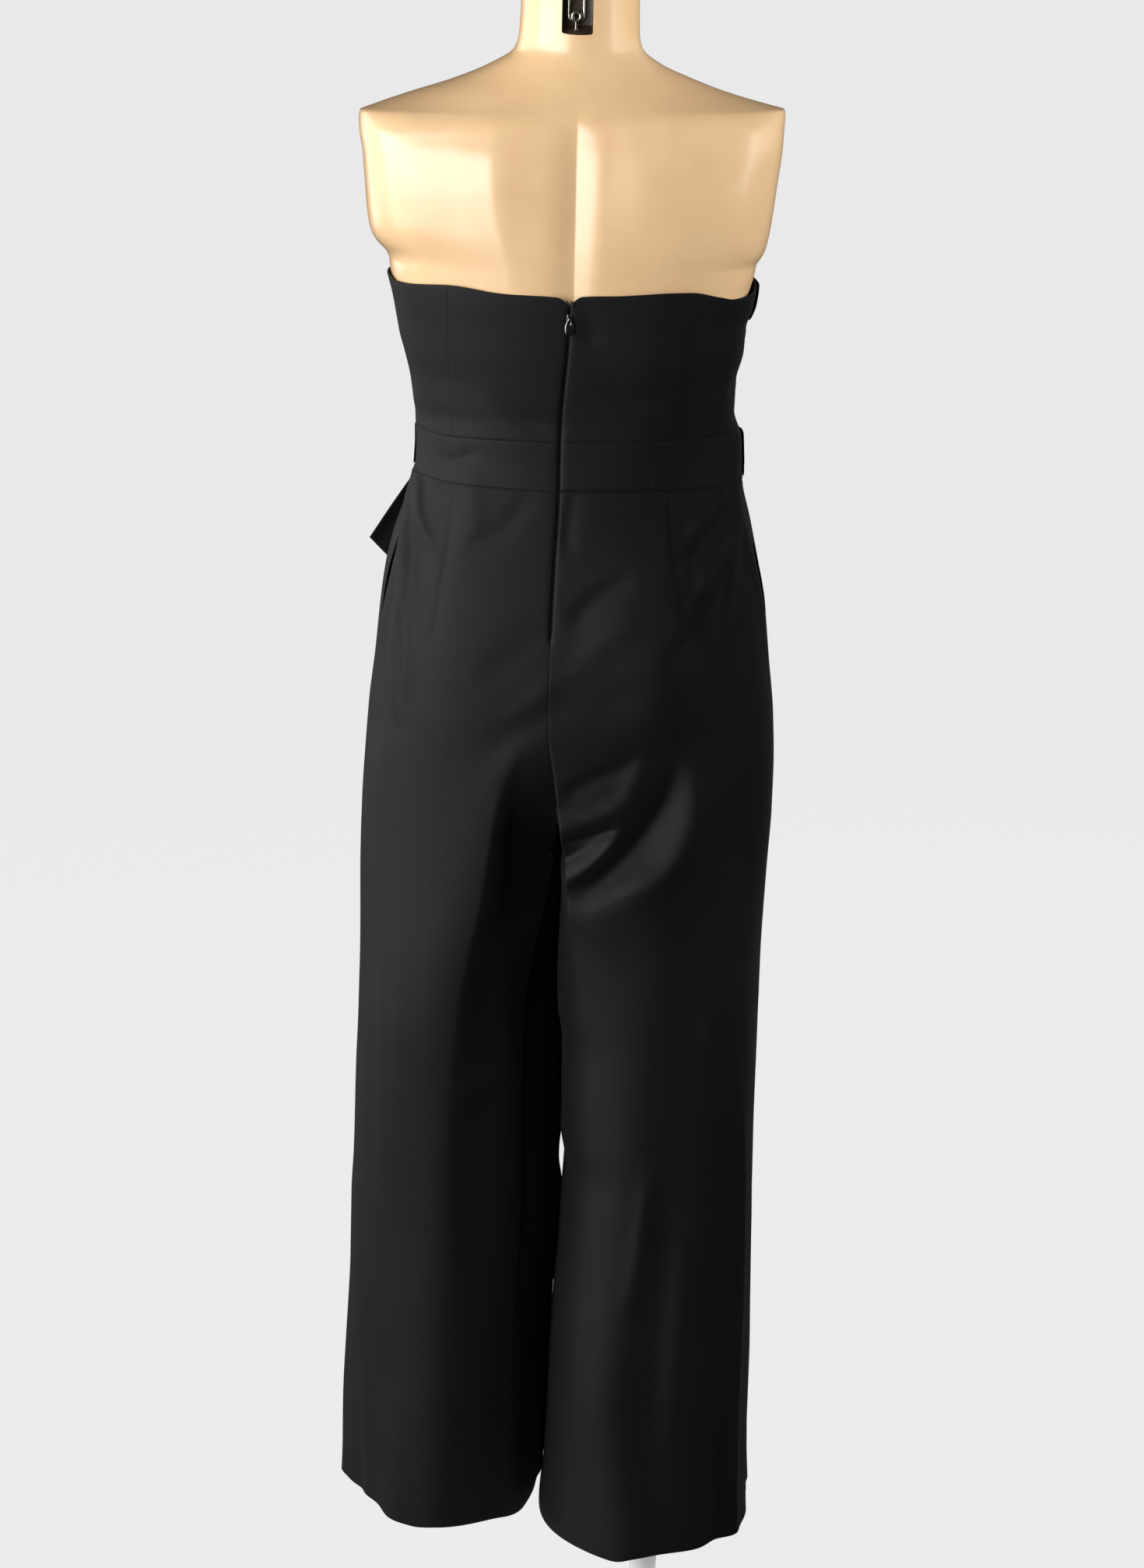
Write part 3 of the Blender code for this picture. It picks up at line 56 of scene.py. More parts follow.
CROTCH_TOP = 0.880              # where the centre seams leave the body and turn under it
CROTCH_POINT = 0.800            # where the four trouser panels meet
CROTCH_BEND = 2.5               # how sharply the crotch seam turns, as a power
PARTING_FROM = 0.030            # how far below the crotch seam the legs begin to part
CROTCH_SPREAD = 0.03            # how fast the two inner legs part below the crotch seam
LEG_FORMED = 0.640              # below this each leg is a round tube of its own
FORK_ANGLE = math.radians(55)   # how far round the leg the centre seam ends up from the inseam
HEM = 0.190                     # the height at which the hem rows are counted
HEM_REACH = 0.3                 # how far up a leg its rows still follow the hem's slope
WAIST_FROM = 1.090              # above this the trouser rows follow the waistband's edge
FRONT_SHIFT = 2 * MM            # how far the centre front seam lies from the middle plane, to the left

FACING_GAP = 0.7 * MM           # between a pocket facing and the panels over it
FACING_REACH = 62 * MM          # how far a facing reaches to each side of the side seam
WALL = 1.6 * MM                 # thickness of a cloth solid, which the facing lies inside

BUST = {"across": 82 * MM, "height": 1.272, "reach": 64 * MM, "fullness": 17 * MM, "from": 1.206,
        "rise": 0.05}

FORM_TOP = 1.600
FORM_BOTTOM = 0.875
SHOULDER_TILT = 0.0215          # the form's right shoulder is the higher one
BLADE = {"across": 84 * MM, "height": 1.425, "reach": 58 * MM, "fullness": 5.0 * MM, "from": 1.345,
         "rise": 0.03}
FURROW = {"depth": 5.6 * MM, "half_width": 17 * MM, "right_wall": 25 * MM, "top": 1.500, "bottom": 1.250}

NECK_SLOT = {"x": 2 * MM, "width": 26.7 * MM, "foot_y": 62 * MM, "foot_z": 1.5440, "rear_y": 42.2 * MM,
             "rear_z": 1.5550, "bore": 2.2 * MM, "bore_depth": 6 * MM}
EYE = {"x": 3.0 * MM, "y": 47.0 * MM, "z": 1.5632, "ring": 3.6 * MM, "wire": 1.5 * MM, "shank": 1.5 * MM}
BAIL = {"half_width": 7.9 * MM, "wire": 1.35 * MM, "bottom": 1.5600, "top": 1.6320, "corner": 3.5 * MM}

BASE = {"radius": 0.190, "thick": 8 * MM, "bevel": 1.5 * MM}
POLE = {"x": -0.092, "y": 0.008, "radius": 12.5 * MM}
COLLAR = {"radius": 24 * MM, "height": 26 * MM, "bevel": 2 * MM}
FLANGE = {"radius": 36 * MM, "thick": 9 * MM, "bevel": 1.5 * MM}

KNOT = {"turn": math.radians(141), "height": 1.184, "half_turn": math.radians(9.5),
        "half_height": 21 * MM, "lift": 7.1 * MM, "dome": 12 * MM}

ZIP_HINGE_HEIGHT = 1.3105
SLIDER = {"half_width": 2.4 * MM, "up": 4.4 * MM, "down": 4.8 * MM, "foot": SEAM, "top": 1.7 * MM}
ARCH = {"inner": 1.8 * MM, "outer": 2.7 * MM, "half_width": 0.7 * MM}
TAB = {"hinge": 2.55 * MM, "pin": 0.5 * MM, "thick": 0.9 * MM, "length": 13.6 * MM, "width": 7.2 * MM,
       "neck": 4.4 * MM, "hole_end": 3.7 * MM, "hole_width": 2.4 * MM}
HOOK = {"height": 1.3225, "half_width": 2.6 * MM, "drop": 5.0 * MM, "wire": 0.45 * MM, "clear": 0.15 * MM}

# ------------------------------------------------------------------ tables
class Table:
    """Rows with named columns in millimetres, read smoothly between rows by the first column."""

    def __init__(self, names, rows, plain=()):
        names = names.split()
        values = np.array(rows, float)
        self.columns = {}
        for index, name in enumerate(names):
            scale = 1.0 if name in plain else MM
            self.columns[name] = values[:, index] * scale
        self.key = self.columns[names[0]]

    def read(self, name, key):
        return smooth_curve(self.key, self.columns[name], key)


def smooth_curve(keys, values, key):
    """A monotone cubic through (keys, values): smooth, and never past the values it joins."""
    gaps = np.diff(keys)
    slopes = np.diff(values) / gaps
    tangents = np.zeros_like(values)
    tangents[0], tangents[-1] = slopes[0], slopes[-1]
    for i in range(1, len(values) - 1):
        if slopes[i - 1] * slopes[i] > 0:
            near, far = 2 * gaps[i] + gaps[i - 1], gaps[i] + 2 * gaps[i - 1]
            tangents[i] = (near + far) / (near / slopes[i - 1] + far / slopes[i])
    key = np.clip(key, keys[0], keys[-1])
    i = np.clip(np.searchsorted(keys, key) - 1, 0, len(gaps) - 1)
    t = (key - keys[i]) / gaps[i]
    start = (1 + 2 * t) * (1 - t) ** 2 * values[i] + t * (1 - t) ** 2 * gaps[i] * tangents[i]
    end = t * t * (3 - 2 * t) * values[i + 1] + t * t * (t - 1) * gaps[i] * tangents[i + 1]
    return start + end


# The body that the garment takes its shape from: how far it reaches each way from the z axis.
BODY = Table("height left right front back power", [
    (600, 184, 181, 108, 113, 2.50),
    (720, 181, 182, 107, 114, 2.50),
    (800, 181.5, 186, 107, 116, 2.45),
    (860, 180.5, 189.5, 107, 118, 2.40),
    (900, 179, 190, 108, 119, 2.35),
    (950, 177, 188, 108, 120, 2.30),
    (1000, 171.6, 182.5, 107, 118, 2.30),
    (1050, 167, 177, 105, 113, 2.25),
    (1080, 163, 171.5, 103, 107, 2.25),
    (1108, 156.5, 165.5, 101, 101, 2.20),
    (1130, 149, 160.5, 98, 96, 2.20),
    (1150, 142, 154.5, 96, 92, 2.20),
    (1164, 137, 149, 95, 89, 2.20),
    (1190, 134.5, 145, 94, 86, 2.20),
    (1213, 134.5, 143.5, 97, 86, 2.20),
    (1232, 140, 144.5, 103, 88, 2.20),
    (1250, 143.5, 145, 110, 91, 2.20),
    (1275, 149.3, 150.5, 114, 95, 2.25),
    (1300, 154, 152, 113, 98, 2.30),
    (1320, 158.5, 155, 112, 100, 2.35),
    (1345, 164, 159, 110, 101, 2.40),
], plain=("power",))

# The bare part of the dress form, above the neckline.
BARE_FORM = Table("height left right front back power", [
    (1352, 163.5, 160.5, 106, 101.5, 2.46),
    (1359, 167, 165.3, 104, 101.2, 2.52),
    (1367, 173, 168, 102, 100.8, 2.60),
    (1376, 178, 170, 100, 100.3, 2.70),
    (1390, 181.5, 172, 97, 99.5, 2.84),
    (1418, 184.4, 175.2, 92, 98, 3.02),
    (1448, 187, 178.8, 86, 95, 3.05),
    (1466, 190, 179.8, 81, 91, 2.90),
    (1476, 190.8, 180.4, 77.5, 87.2, 2.62),
    (1482, 190.2, 180.0, 74.5, 83.6, 2.36),
    (1485, 183, 170, 73, 81.4, 2.20),
    (1490, 169, 152, 71, 78, 2.00),
    (1498, 145, 126, 68, 73, 1.85),
    (1508, 112, 100, 64, 67, 1.80),
    (1521, 79, 71, 61, 60, 1.90),
    (1535, 56.5, 54.5, 59, 56, 2.00),
    (1549, 52.5, 52, 58, 55, 2.00),
    (1575, 51.5, 51.5, 57, 55, 2.00),
    (1596, 51.5, 51.5, 57, 55, 2.00),
    (1600, 50.0, 50.0, 55.5, 53.5, 2.00),
], plain=("power",))

# The rounded underside of the form, as a share of its full width there.
FORM_UNDERSIDE = Table("height share", [
    (875, 0.78), (878, 0.85), (884, 0.915), (893, 0.960), (906, 0.988), (922, 1.0),
], plain=("share",))
# How far the form lies inside the body surface that the cloth's outer face follows.
FORM_INSET = Table("height inset", [
    (875, 6.5), (1120, 6.5), (1150, 5.2), (1176, 3.8), (1200, 3.4), (1296, 3.4), (1318, 2.5), (1345, 2.5),
])

# Each leg below the crotch. inner is measured from the middle plane towards the leg's own side.
# twist is how far the side seam has turned towards the back, in degrees.
LEFT_LEG = Table("height inner outer front back power twist", [
    (180, 12.5, 192, 118, 102, 2.30, 6),
    (228, 9.5, 191, 117, 103, 2.30, 6),
    (283, 7.5, 191.4, 115, 104, 2.32, 5),
    (346, 5.5, 190.3, 113, 105, 2.35, 4),
    (403, 3, 189.2, 112, 106, 2.38, 3),
    (453, -1, 188.8, 110, 107, 2.40, 2),
    (489, -3.5, 188.6, 110, 108, 2.42, 2),
    (524, -3.7, 187, 109, 109, 2.45, 1),
    (556, -1.5, 186.1, 108, 110, 2.47, 0),
    (605, 1.5, 184.6, 107, 111, 2.50, 0),
    (654, 3.5, 182.5, 107, 112, 2.50, 0),
    (680, 6, 182, 107, 112.5, 2.50, 0),
    (722, 8.2, 181.4, 107, 113, 2.50, 0),
    (766, 6.3, 181.7, 107, 114.5, 2.50, 0),
    (790, 4, 182, 107, 115, 2.50, 0),
    (880, 1, 180, 107, 118, 2.50, 0),
], plain=("power", "twist"))
RIGHT_LEG = Table("height inner outer front back power twist", [
    (165, -8.5, 190, 104, 126, 2.60, 30),
    (186, -8.2, 189, 104, 125.5, 2.65, 29),
    (228, -4.6, 186.8, 104, 124, 2.80, 28),
    (283, -2.8, 186, 104, 122, 2.95, 27),
    (346, -1.2, 186, 104, 121, 3.10, 26),
    (403, 1.2, 185, 104, 119, 3.20, 24),
    (453, 4.5, 184, 105, 117.5, 3.20, 22),
    (500, 6.4, 182.8, 105, 116.5, 3.20, 21),
    (534, 8.6, 182, 106, 116, 3.20, 20),
    (561, 4.4, 181.4, 106, 116, 3.20, 18),
    (605, 2.5, 181.2, 106, 116, 3.20, 15),
    (654, 1.7, 181.2, 107, 116, 3.20, 12),
    (680, -2.4, 181.6, 107, 116, 3.20, 11),
    (722, -4.7, 182.3, 107, 116, 3.10, 9),
    (766, -2.8, 184, 107, 116, 2.85, 6),
    (790, 0.9, 185, 107, 116, 2.70, 5),
    (880, 1, 188.6, 107, 118, 2.50, 0),
], plain=("power", "twist"))

# The centre back seam wanders a little off the middle plane, towards the left.
CENTRE_BACK = Table("height shift", [
    (800, 2), (864, 4.1), (904, 7.6), (932, 11.6), (946, 13.3), (980, 14), (1028, 13.7), (1095, 11.8),
    (1157, 9.4), (1198, 9.3), (1233, 8.1), (1254, 6.5), (1297, 3.5), (1323, 3.3),
])
# Where each side seam lies, in degrees round the body from the centre back.
SIDE_SEAM = Table("height left right", [
    (860, 90, 87), (960, 86, 82), (1000, 83, 82), (1047, 78.5, 83.5), (1078, 77, 82.5), (1110, 77.5, 84),
    (1162, 83, 88), (1215, 87, 90), (1340, 90, 91),
], plain=("left", "right"))

# Edges that run round the body: their height at each turn, in degrees, from the right side at -90
# through the centre back at 0 and the left side at 90 to the centre front at 180 and the right at 270.
NECKLINE = Table("turn height", [
    (-90, 1334), (-75, 1326), (-69, 1325.5), (-61, 1329), (-49, 1334.8), (-22, 1331), (-4, 1329.5),
    (1.9, 1323.5), (8, 1328.6), (33, 1330.3), (53, 1335), (70, 1333), (77, 1333.2), (82, 1337), (90, 1338.5),
    (130, 1342), (155, 1344), (180, 1338), (205, 1344), (230, 1342), (270, 1337),
], plain=("turn",))
BAND_TOP = Table("turn height", [
    (-90, 1206), (-50, 1203.3), (-10, 1202.6), (11, 1201.8), (39, 1202), (60, 1201.5), (90, 1204),
    (180, 1207), (270, 1206),
], plain=("turn",))
BAND_BOTTOM = Table("turn height", [
    (-90, 1161.5), (-62, 1160.4), (-28, 1160.6), (10, 1160), (37, 1160.5), (60, 1161.5), (74, 1164),
    (90, 1166), (180, 1167), (270, 1161.5),
], plain=("turn",))
# The princess seams, in degrees from the centre back.
PRINCESS = Table("height left right", [
    (1200, 60, 50), (1231, 59, 51.9), (1282, 56, 52.4), (1334, 52.8, 50.5),
], plain=("left", "right"))

# The hem of each leg, from the inseam side to the side seam: how far out, and how high there.
LEFT_HEM = Table("out height", [
    (10, 198), (45, 197), (85, 196.5), (102, 196.5), (120, 195.5), (131, 197), (145, 200), (160, 204),
    (192, 206),
])
RIGHT_HEM = Table("out height", [
    (-10, 187), (20, 183), (50, 178.5), (65, 176.5), (80, 179.5), (107, 183), (140, 185), (161, 187),
    (190, 193),
])

# The pocket slits: how far the back edge stands away from the front edge.
POCKET_SLIT = Table("height gape", [(1036, 0), (1050, 1.8), (1078, 3.2), (1094, 2.4), (1110, 0)])
POCKET_ROWS = (1005, 1112)

# Each fold: its line, as rows of two places and a height, and how wide it is to each side of the line.
# relief() raises them further, by a gain.
# On the back and the front the places are x and z, and on the sides y and z. Ridges are positive.
# Lines run downwards, so the first width is the side with the larger x or y.
FOLDS = {
    "back": [
        # left hip: two thin ridges from the waist, with a branch, and the long streak below them
        ([(133, 1163, 2.0), (131, 1140, 2.5), (126, 1120, 2.1), (116, 1106, 0.8), (108, 1096, 0)], (6, 4)),
        ([(139, 1163, 0.8), (141, 1138, 2.1), (143, 1104, 2.6), (144, 1068, 2.9), (148, 1036, 2.6),
          (150, 1008, 2.4), (149, 976, 2.1), (147, 950, 0.5)], (5, 4.5)),
        ([(143, 1062, 0), (141, 1048, 1.6), (138, 1028, 2.3), (136, 1002, 2.0), (135, 968, 0)], (4, 5)),
        ([(152, 948, 0), (158, 928, 1.6), (162, 900, 2.8), (162, 868, 3.2), (159, 820, 3.2),
          (153, 746, 3.4), (153, 680, 3.0), (154, 629, 2.4), (153, 560, 1.6), (152, 480, 0)], (7, 16)),
        ([(136, 1150, -0.4), (137, 1110, -0.9), (134, 1070, -0.9), (130, 1020, -0.4)], (5, 9)),
        # left of the zip: soft drags from the waist and from the zip's end
        ([(85, 1163, 1.0), (84, 1131, 1.2), (88, 1112, 0.6), (96, 1080, 0)], (14, 12)),
        ([(37, 1150, -0.5), (57, 1126, -1.1), (77, 1115, -0.9), (92, 1098, 0)], (9, 9)),
        ([(23, 1036, -0.5), (41, 1020, -0.8), (59, 1006, -0.7), (76, 990, 0)], (15, 13)),
        ([(15, 992, 1.0), (29, 977, 1.1), (44, 966, 0.8), (58, 954, 0)], (10, 13)),
        ([(14, 970, -0.6), (35, 960, -0.9), (53, 946, -0.7), (66, 920, 0)], (14, 16)),
        ([(20, 948, 0.3), (48, 922, 0.9), (70, 892, 0)], (12, 12)),
        # left crotch: the seat drops away below this line, into the shaded inner half of the leg
        ([(14, 925, 0.8), (30, 908, 2.0), (47, 893, 3.0), (60, 872, 3.4), (68, 830, 3.0), (76, 770, 2.4),
          (84, 700, 2.0), (92, 620, 2.5), (97, 520, 3.5), (100, 400, 4.5), (102, 300, 5.5), (104, 190, 6)],
         (34, 30)),
        ([(70, 640, 0), (72, 616, 2.2), (70, 600, -1.6), (68, 575, 0)], (12, 12)),
        # right hip: slanting drags beside the dart, and the crease down the pocket's front
        ([(-142, 1160, 1.2), (-130, 1148, 2.3), (-116, 1133, 2.4), (-98, 1114, 1.6), (-90, 1100, 0)], (7, 6)),
        ([(-140, 1142, -1.0), (-127, 1124, -1.8), (-114, 1108, -1.6), (-98, 1095, -1.0), (-90, 1086, 0)],
         (6, 6)),
        ([(-142, 1118, 1.1), (-130, 1096, 2.5), (-116, 1077, 3.0), (-104, 1065, 2.6), (-97, 1047, 1.6),
          (-95, 1030, 0)], (8, 7)),
        ([(-141, 1086, -0.8), (-131, 1064, -1.8), (-118, 1044, -2.0), (-102, 1026, -1.6), (-86, 1009, 0)],
         (8, 8)),
        ([(-146, 1163, 1.1), (-147, 1130, 1.8), (-146, 1100, 2.1), (-145, 1074, 2.2), (-141, 1036, 1.9),
          (-137, 1004, 1.1), (-132, 970, 0)], (3.6, 5)),
        ([(-2, 1150, -0.7), (0, 1134, -0.9), (1, 1118, -1.0), (0, 1104, 0)], (7, 8)),
        ([(-60, 1088, 0), (-46, 1082, -1.1), (-30, 1073, -1.6), (-12, 1056, -1.4), (-4, 1040, 0)], (8, 9)),
        ([(-66, 1056, 0), (-50, 1046, 1.1), (-29, 1030, 1.4), (-8, 1004, 0.6)], (13, 15)),
        ([(-80, 1000, 0), (-50, 985, -0.8), (-20, 972, 0)], (14, 16)),
        # right crotch: a fan of folds that run down from the seat to the inseam
        ([(-66, 938, 0), (-58, 924, -1.0), (-36, 914, -1.9), (-14, 903, -1.6), (-2, 890, -0.6)], (7, 8)),
        ([(-72, 934, 0.4), (-66, 916, 1.8), (-55, 892, 2.8), (-32, 876, 2.8), (-5, 868, 1.8)], (10, 13)),
        ([(-52, 868, -0.6), (-46, 864, -2.2), (-25, 859, -2.8), (-3, 853, -2.2)], (4.5, 5.5)),
        ([(-54, 874, 0.4), (-46, 858, 2.6), (-38, 845, 3.2), (-23, 830, 2.8), (-5, 817, 1.6)], (5, 6)),
        ([(-104, 934, 0), (-98, 911, -3.0), (-88, 884, -5.0), (-68, 852, -6.0), (-42, 823, -5.2),
          (-22, 805, -3.0), (-6, 794, 0)], (11, 13)),
        ([(-108, 944, 0), (-114, 917, 2.2), (-117, 890, 4.6), (-111, 860, 6.4), (-93, 828, 4.4),
          (-70, 812, 1.8), (-50, 802, 0)], (15, 16)),
        ([(-110, 858, 0), (-93, 828, 2.6), (-55, 804, 5.4), (-17, 788, 3.2), (-4, 780, 1.4)], (15, 42)),
        ([(-40, 866, -0.6), (-28, 853, -2.8), (-14, 842, -4.6), (0, 832, -5.5)], (13, 5)),
        # right leg: the crease that parts the lit inner half from the shaded outer half
        ([(-104, 830, 1.0), (-92, 790, 3.0), (-82, 719, 3.4), (-76, 640, 3.6), (-73, 580, 4.0),
          (-70, 520, 4.6), (-64, 445, 5.4), (-57, 379, 6.0), (-52, 317, 6.4), (-62, 250, 6.6),
          (-72, 185, 7.0)], (32, 30)),
        ([(-86, 560, 0), (-82, 520, 1.6), (-76, 460, 1.8), (-66, 400, 0)], (8, 12)),
        ([(-152, 840, 0), (-152, 777, 1.4), (-142, 700, 1.6), (-132, 640, 0)], (12, 16)),
        ([(-165, 640, 0), (-168, 590, 1.6), (-170, 520, 2.4), (-171, 422, 2.6), (-170, 320, 2.8),
          (-171, 242, 3.0), (-173, 185, 3.0)], (7, 5)),
        ([(-156, 560, 0), (-158, 460, -2.0), (-158, 330, -3.0), (-160, 185, -4.0)], (14, 10)),
        ([(-120, 520, 0), (-116, 420, 1.6), (-112, 320, 1.0), (-112, 240, 0)], (12, 12)),
        # the hems curl out and in
        ([(26, 480, 0), (26, 340, 3), (28, 190, 6)], (14, 14)),
        ([(170, 420, 0), (170, 300, -3), (168, 190, -6)], (20, 20)),
        ([(150, 330, 0), (146, 250, 2.2), (144, 190, 3.2)], (12, 14)),
        # broad ridges: the right seat with its dart, the right princess seam, and the whole left side
        ([(-78, 1135, 0), (-84, 1080, 6.0), (-88, 1020, 10.5), (-90, 970, 7.5), (-92, 930, 0)], (52, 20)),
        ([(-100, 1150, -0.5), (-103, 1110, -1.3), (-106, 1060, -1.3), (-108, 1010, 0)], (9, 9)),
        ([(-110, 1145, 0.6), (-116, 1110, 2.0), (-120, 1070, 2.0), (-124, 1030, 0.4)], (12, 13)),
        ([(-100, 1345, 3.4), (-97, 1322, 5.4), (-93, 1280, 7.4), (-88, 1222, 5.0), (-86, 1192, 2.0),
          (-85, 1166, 0)], (46, 26)),
        ([(-96, 1340, 0.6), (-94, 1322, 0.9), (-91, 1280, 1.0), (-88, 1222, 0.7), (-87, 1204, 0)], (8, 14)),
        ([(102, 1250, 0), (106, 1200, 2.0), (110, 1160, 2.0), (120, 1080, 3.6), (125, 1010, 4.6),
          (128, 950, 4.6), (132, 880, 4.2), (134, 800, 3.6), (134, 700, 3.0), (133, 600, 2.0),
          (130, 480, 0)], (20, 56)),
        # small drags beside the right dart, over the bodice, the waistband and the right side
        ([(-80, 1160, 0.2), (-82, 1128, 0.5), (-86, 1083, 0.6), (-92, 1040, 0.3)], (9, 3)),
        ([(70, 1242, 0), (52, 1228, -0.8), (34, 1219, -1.3), (16, 1213, -0.7)], (8, 9)),
        ([(-22, 1254, 0), (-40, 1244, -0.9), (-62, 1240, -0.9), (-84, 1246, 0)], (9, 9)),
        ([(-10, 1316, -0.4), (-16, 1300, -0.8), (-14, 1284, 0)], (8, 10)),
        ([(78, 1196, 0), (92, 1184, -0.9), (108, 1180, -0.7), (120, 1183, 0)], (6, 7)),
        ([(-139, 1292, 0), (-136, 1268, 1.2), (-130, 1244, 1.8), (-126, 1224, 0.8), (-128, 1206, 0)], (6, 7)),
        ([(-131, 1204, 0), (-136, 1190, 1.2), (-138, 1176, 0.8), (-138, 1163, 0)], (6, 6)),
        ([(-118, 1230, 0), (-126, 1250, -1.2), (-134, 1272, -1.2), (-140, 1296, 0)], (7, 7)),
    ],
    "front": [
        ([(104, 905, 0), (86, 876, 2.5), (58, 842, 4.6), (22, 806, 3.0)], (16, 20)),
        ([(-108, 910, 0), (-88, 880, 2.2), (-60, 845, 4.4), (-24, 806, 3.0)], (20, 16)),
        ([(70, 900, 0), (52, 876, -2.0), (34, 846, -3.6), (14, 816, -2.4)], (12, 14)),
        ([(-66, 905, 0), (-50, 878, -1.8), (-34, 850, -3.2), (-14, 818, -2.2)], (14, 12)),
        ([(36, 912, 0), (24, 890, 1.4), (8, 866, 1.0)], (9, 8)),
        ([(-38, 918, 0), (-24, 896, 1.3), (-8, 872, 0.8)], (8, 9)),
        ([(112, 1160, 0.8), (106, 1120, 1.8), (98, 1060, 1.6), (92, 1000, 0.6), (90, 960, 0)], (10, 14)),
        ([(62, 1163, 0.6), (58, 1130, 1.4), (54, 1090, 0.8), (52, 1050, 0)], (8, 9)),
        ([(-52, 1163, 0.8), (-56, 1128, 1.5), (-62, 1080, 1.0), (-66, 1030, 0)], (9, 8)),
        ([(-106, 1163, 0.9), (-110, 1120, 1.9), (-108, 1060, 1.5), (-100, 990, 0)], (14, 10)),
        ([(-124, 1130, 0), (-112, 1085, -1.2), (-96, 1040, -1.2), (-78, 1000, 0)], (9, 11)),
        ([(128, 1060, 0), (116, 1010, -1.2), (98, 970, -1.0), (82, 940, 0)], (11, 9)),
        ([(92, 860, 1.0), (96, 760, 3.0), (98, 620, 4.0), (100, 450, 5.0), (98, 300, 6.0), (96, 190, 6.5)],
         (30, 28)),
        ([(-90, 850, 1.0), (-98, 740, 3.0), (-96, 600, 4.0), (-92, 430, 5.2), (-94, 300, 6.0),
          (-98, 175, 6.5)], (28, 30)),
        ([(44, 760, 0), (46, 640, -2.0), (44, 480, -2.6), (46, 320, -1.6), (48, 190, -0.5)], (16, 18)),
        ([(-40, 740, 0), (-44, 620, -1.8), (-46, 460, -2.6), (-42, 300, -2.0), (-40, 175, -1.0)], (18, 16)),
        ([(150, 700, 0), (156, 560, 2.0), (158, 400, 1.4), (160, 300, 0)], (9, 12)),
        ([(-150, 660, 0), (-156, 520, 1.8), (-154, 380, 2.2), (-156, 240, 0)], (12, 9)),
        ([(70, 560, 0), (74, 500, 1.6), (72, 430, 0)], (10, 12)),
        ([(-64, 420, 0), (-68, 350, 1.8), (-66, 270, 0)], (12, 10)),
        ([(134, 360, 0), (138, 260, -2.4), (140, 190, -3.6)], (14, 12)),
        ([(-134, 380, 0), (-138, 270, -2.6), (-140, 175, -3.8)], (12, 14)),
    ],
    "left": [
        ([(40, 1160, 0), (46, 1120, 1.0), (42, 1060, 1.4), (36, 1000, 1.0), (34, 940, 0)], (8, 8)),
        ([(-36, 1160, 0.6), (-42, 1110, 1.5), (-40, 1050, 1.2), (-34, 980, 0)], (9, 11)),
        ([(-70, 1150, 0), (-66, 1100, 1.2), (-58, 1040, 0)], (8, 8)),
        ([(-10, 960, 0), (-14, 880, 1.8), (-20, 760, 2.4), (-22, 600, 1.8), (-24, 460, 0)], (14, 18)),
        ([(34, 900, 0), (36, 780, -1.6), (34, 620, -2.0), (30, 450, 0)], (12, 14)),
        ([(-56, 800, 0), (-60, 640, -1.8), (-58, 480, -1.6), (-56, 330, 0)], (14, 12)),
        ([(6, 420, 0), (4, 300, 2.4), (2, 190, 3.6)], (16, 16)),
        ([(54, 380, 0), (50, 280, -1.8), (48, 190, -3.0)], (12, 14)),
    ],
    "right": [
        ([(30, 1158, 0), (34, 1120, 1.2), (30, 1060, 1.4), (24, 990, 0)], (8, 9)),
        ([(-32, 1160, 0.8), (-38, 1110, 1.6), (-38, 1040, 1.2), (-30, 960, 0)], (11, 9)),
        ([(-66, 1150, 0), (-60, 1090, 1.2), (-52, 1030, 0)], (9, 8)),
        ([(-16, 930, 0), (-18, 820, 1.6), (-14, 680, 2.2), (-20, 520, 1.6), (-22, 400, 0)], (15, 18)),
        ([(-60, 860, 0), (-62, 700, -1.8), (-58, 520, -1.8), (-60, 380, 0)], (13, 12)),
        ([(-30, 360, 0), (-32, 260, 2.2), (-34, 180, 3.4)], (14, 16)),
        ([(30, 480, 0), (26, 360, -1.8), (24, 180, -2.8)], (14, 14)),
    ],
}
# Soft folds across the draped front bodice: their height at the right side, the middle and the left.
DRAPE_FOLDS = Table("right middle left depth width", [
    (1312, 1300, 1310, 1.8, 9),
    (1290, 1280, 1286, 2.4, 9),
    (1266, 1262, 1262, 2.6, 9),
    (1244, 1240, 1238, 2.0, 8),
    (1226, 1224, 1222, 1.4, 7),
])

# The sash tail that stands out at the left hip: its two long edges, from the knot to the cut end.
# Its root lies on the body's front, by x, z and the distance off it. The rest hangs free, by x, y, z.
SIDE_TAIL_ROOT = [
    {"upper": (70, 1194, 6.5), "lower": (70, 1177, 6.5)},
    {"upper": (79, 1193, 6.5), "lower": (77, 1175, 6.5)},
    {"upper": (88, 1191, 6.6), "lower": (84, 1171, 6.5)},
    {"upper": (104, 1185, 8), "lower": (95, 1157, 7)},
]
SIDE_TAIL_FREE = [
    {"upper": (124, -62, 1171), "lower": (108, -79, 1132)},
    {"upper": (142, -52, 1149), "lower": (121, -75, 1106)},
    {"upper": (162, -50, 1120), "lower": (134, -70, 1079)},
    {"upper": (180.6, -48, 1091.7), "lower": (146, -64, 1053)},
]
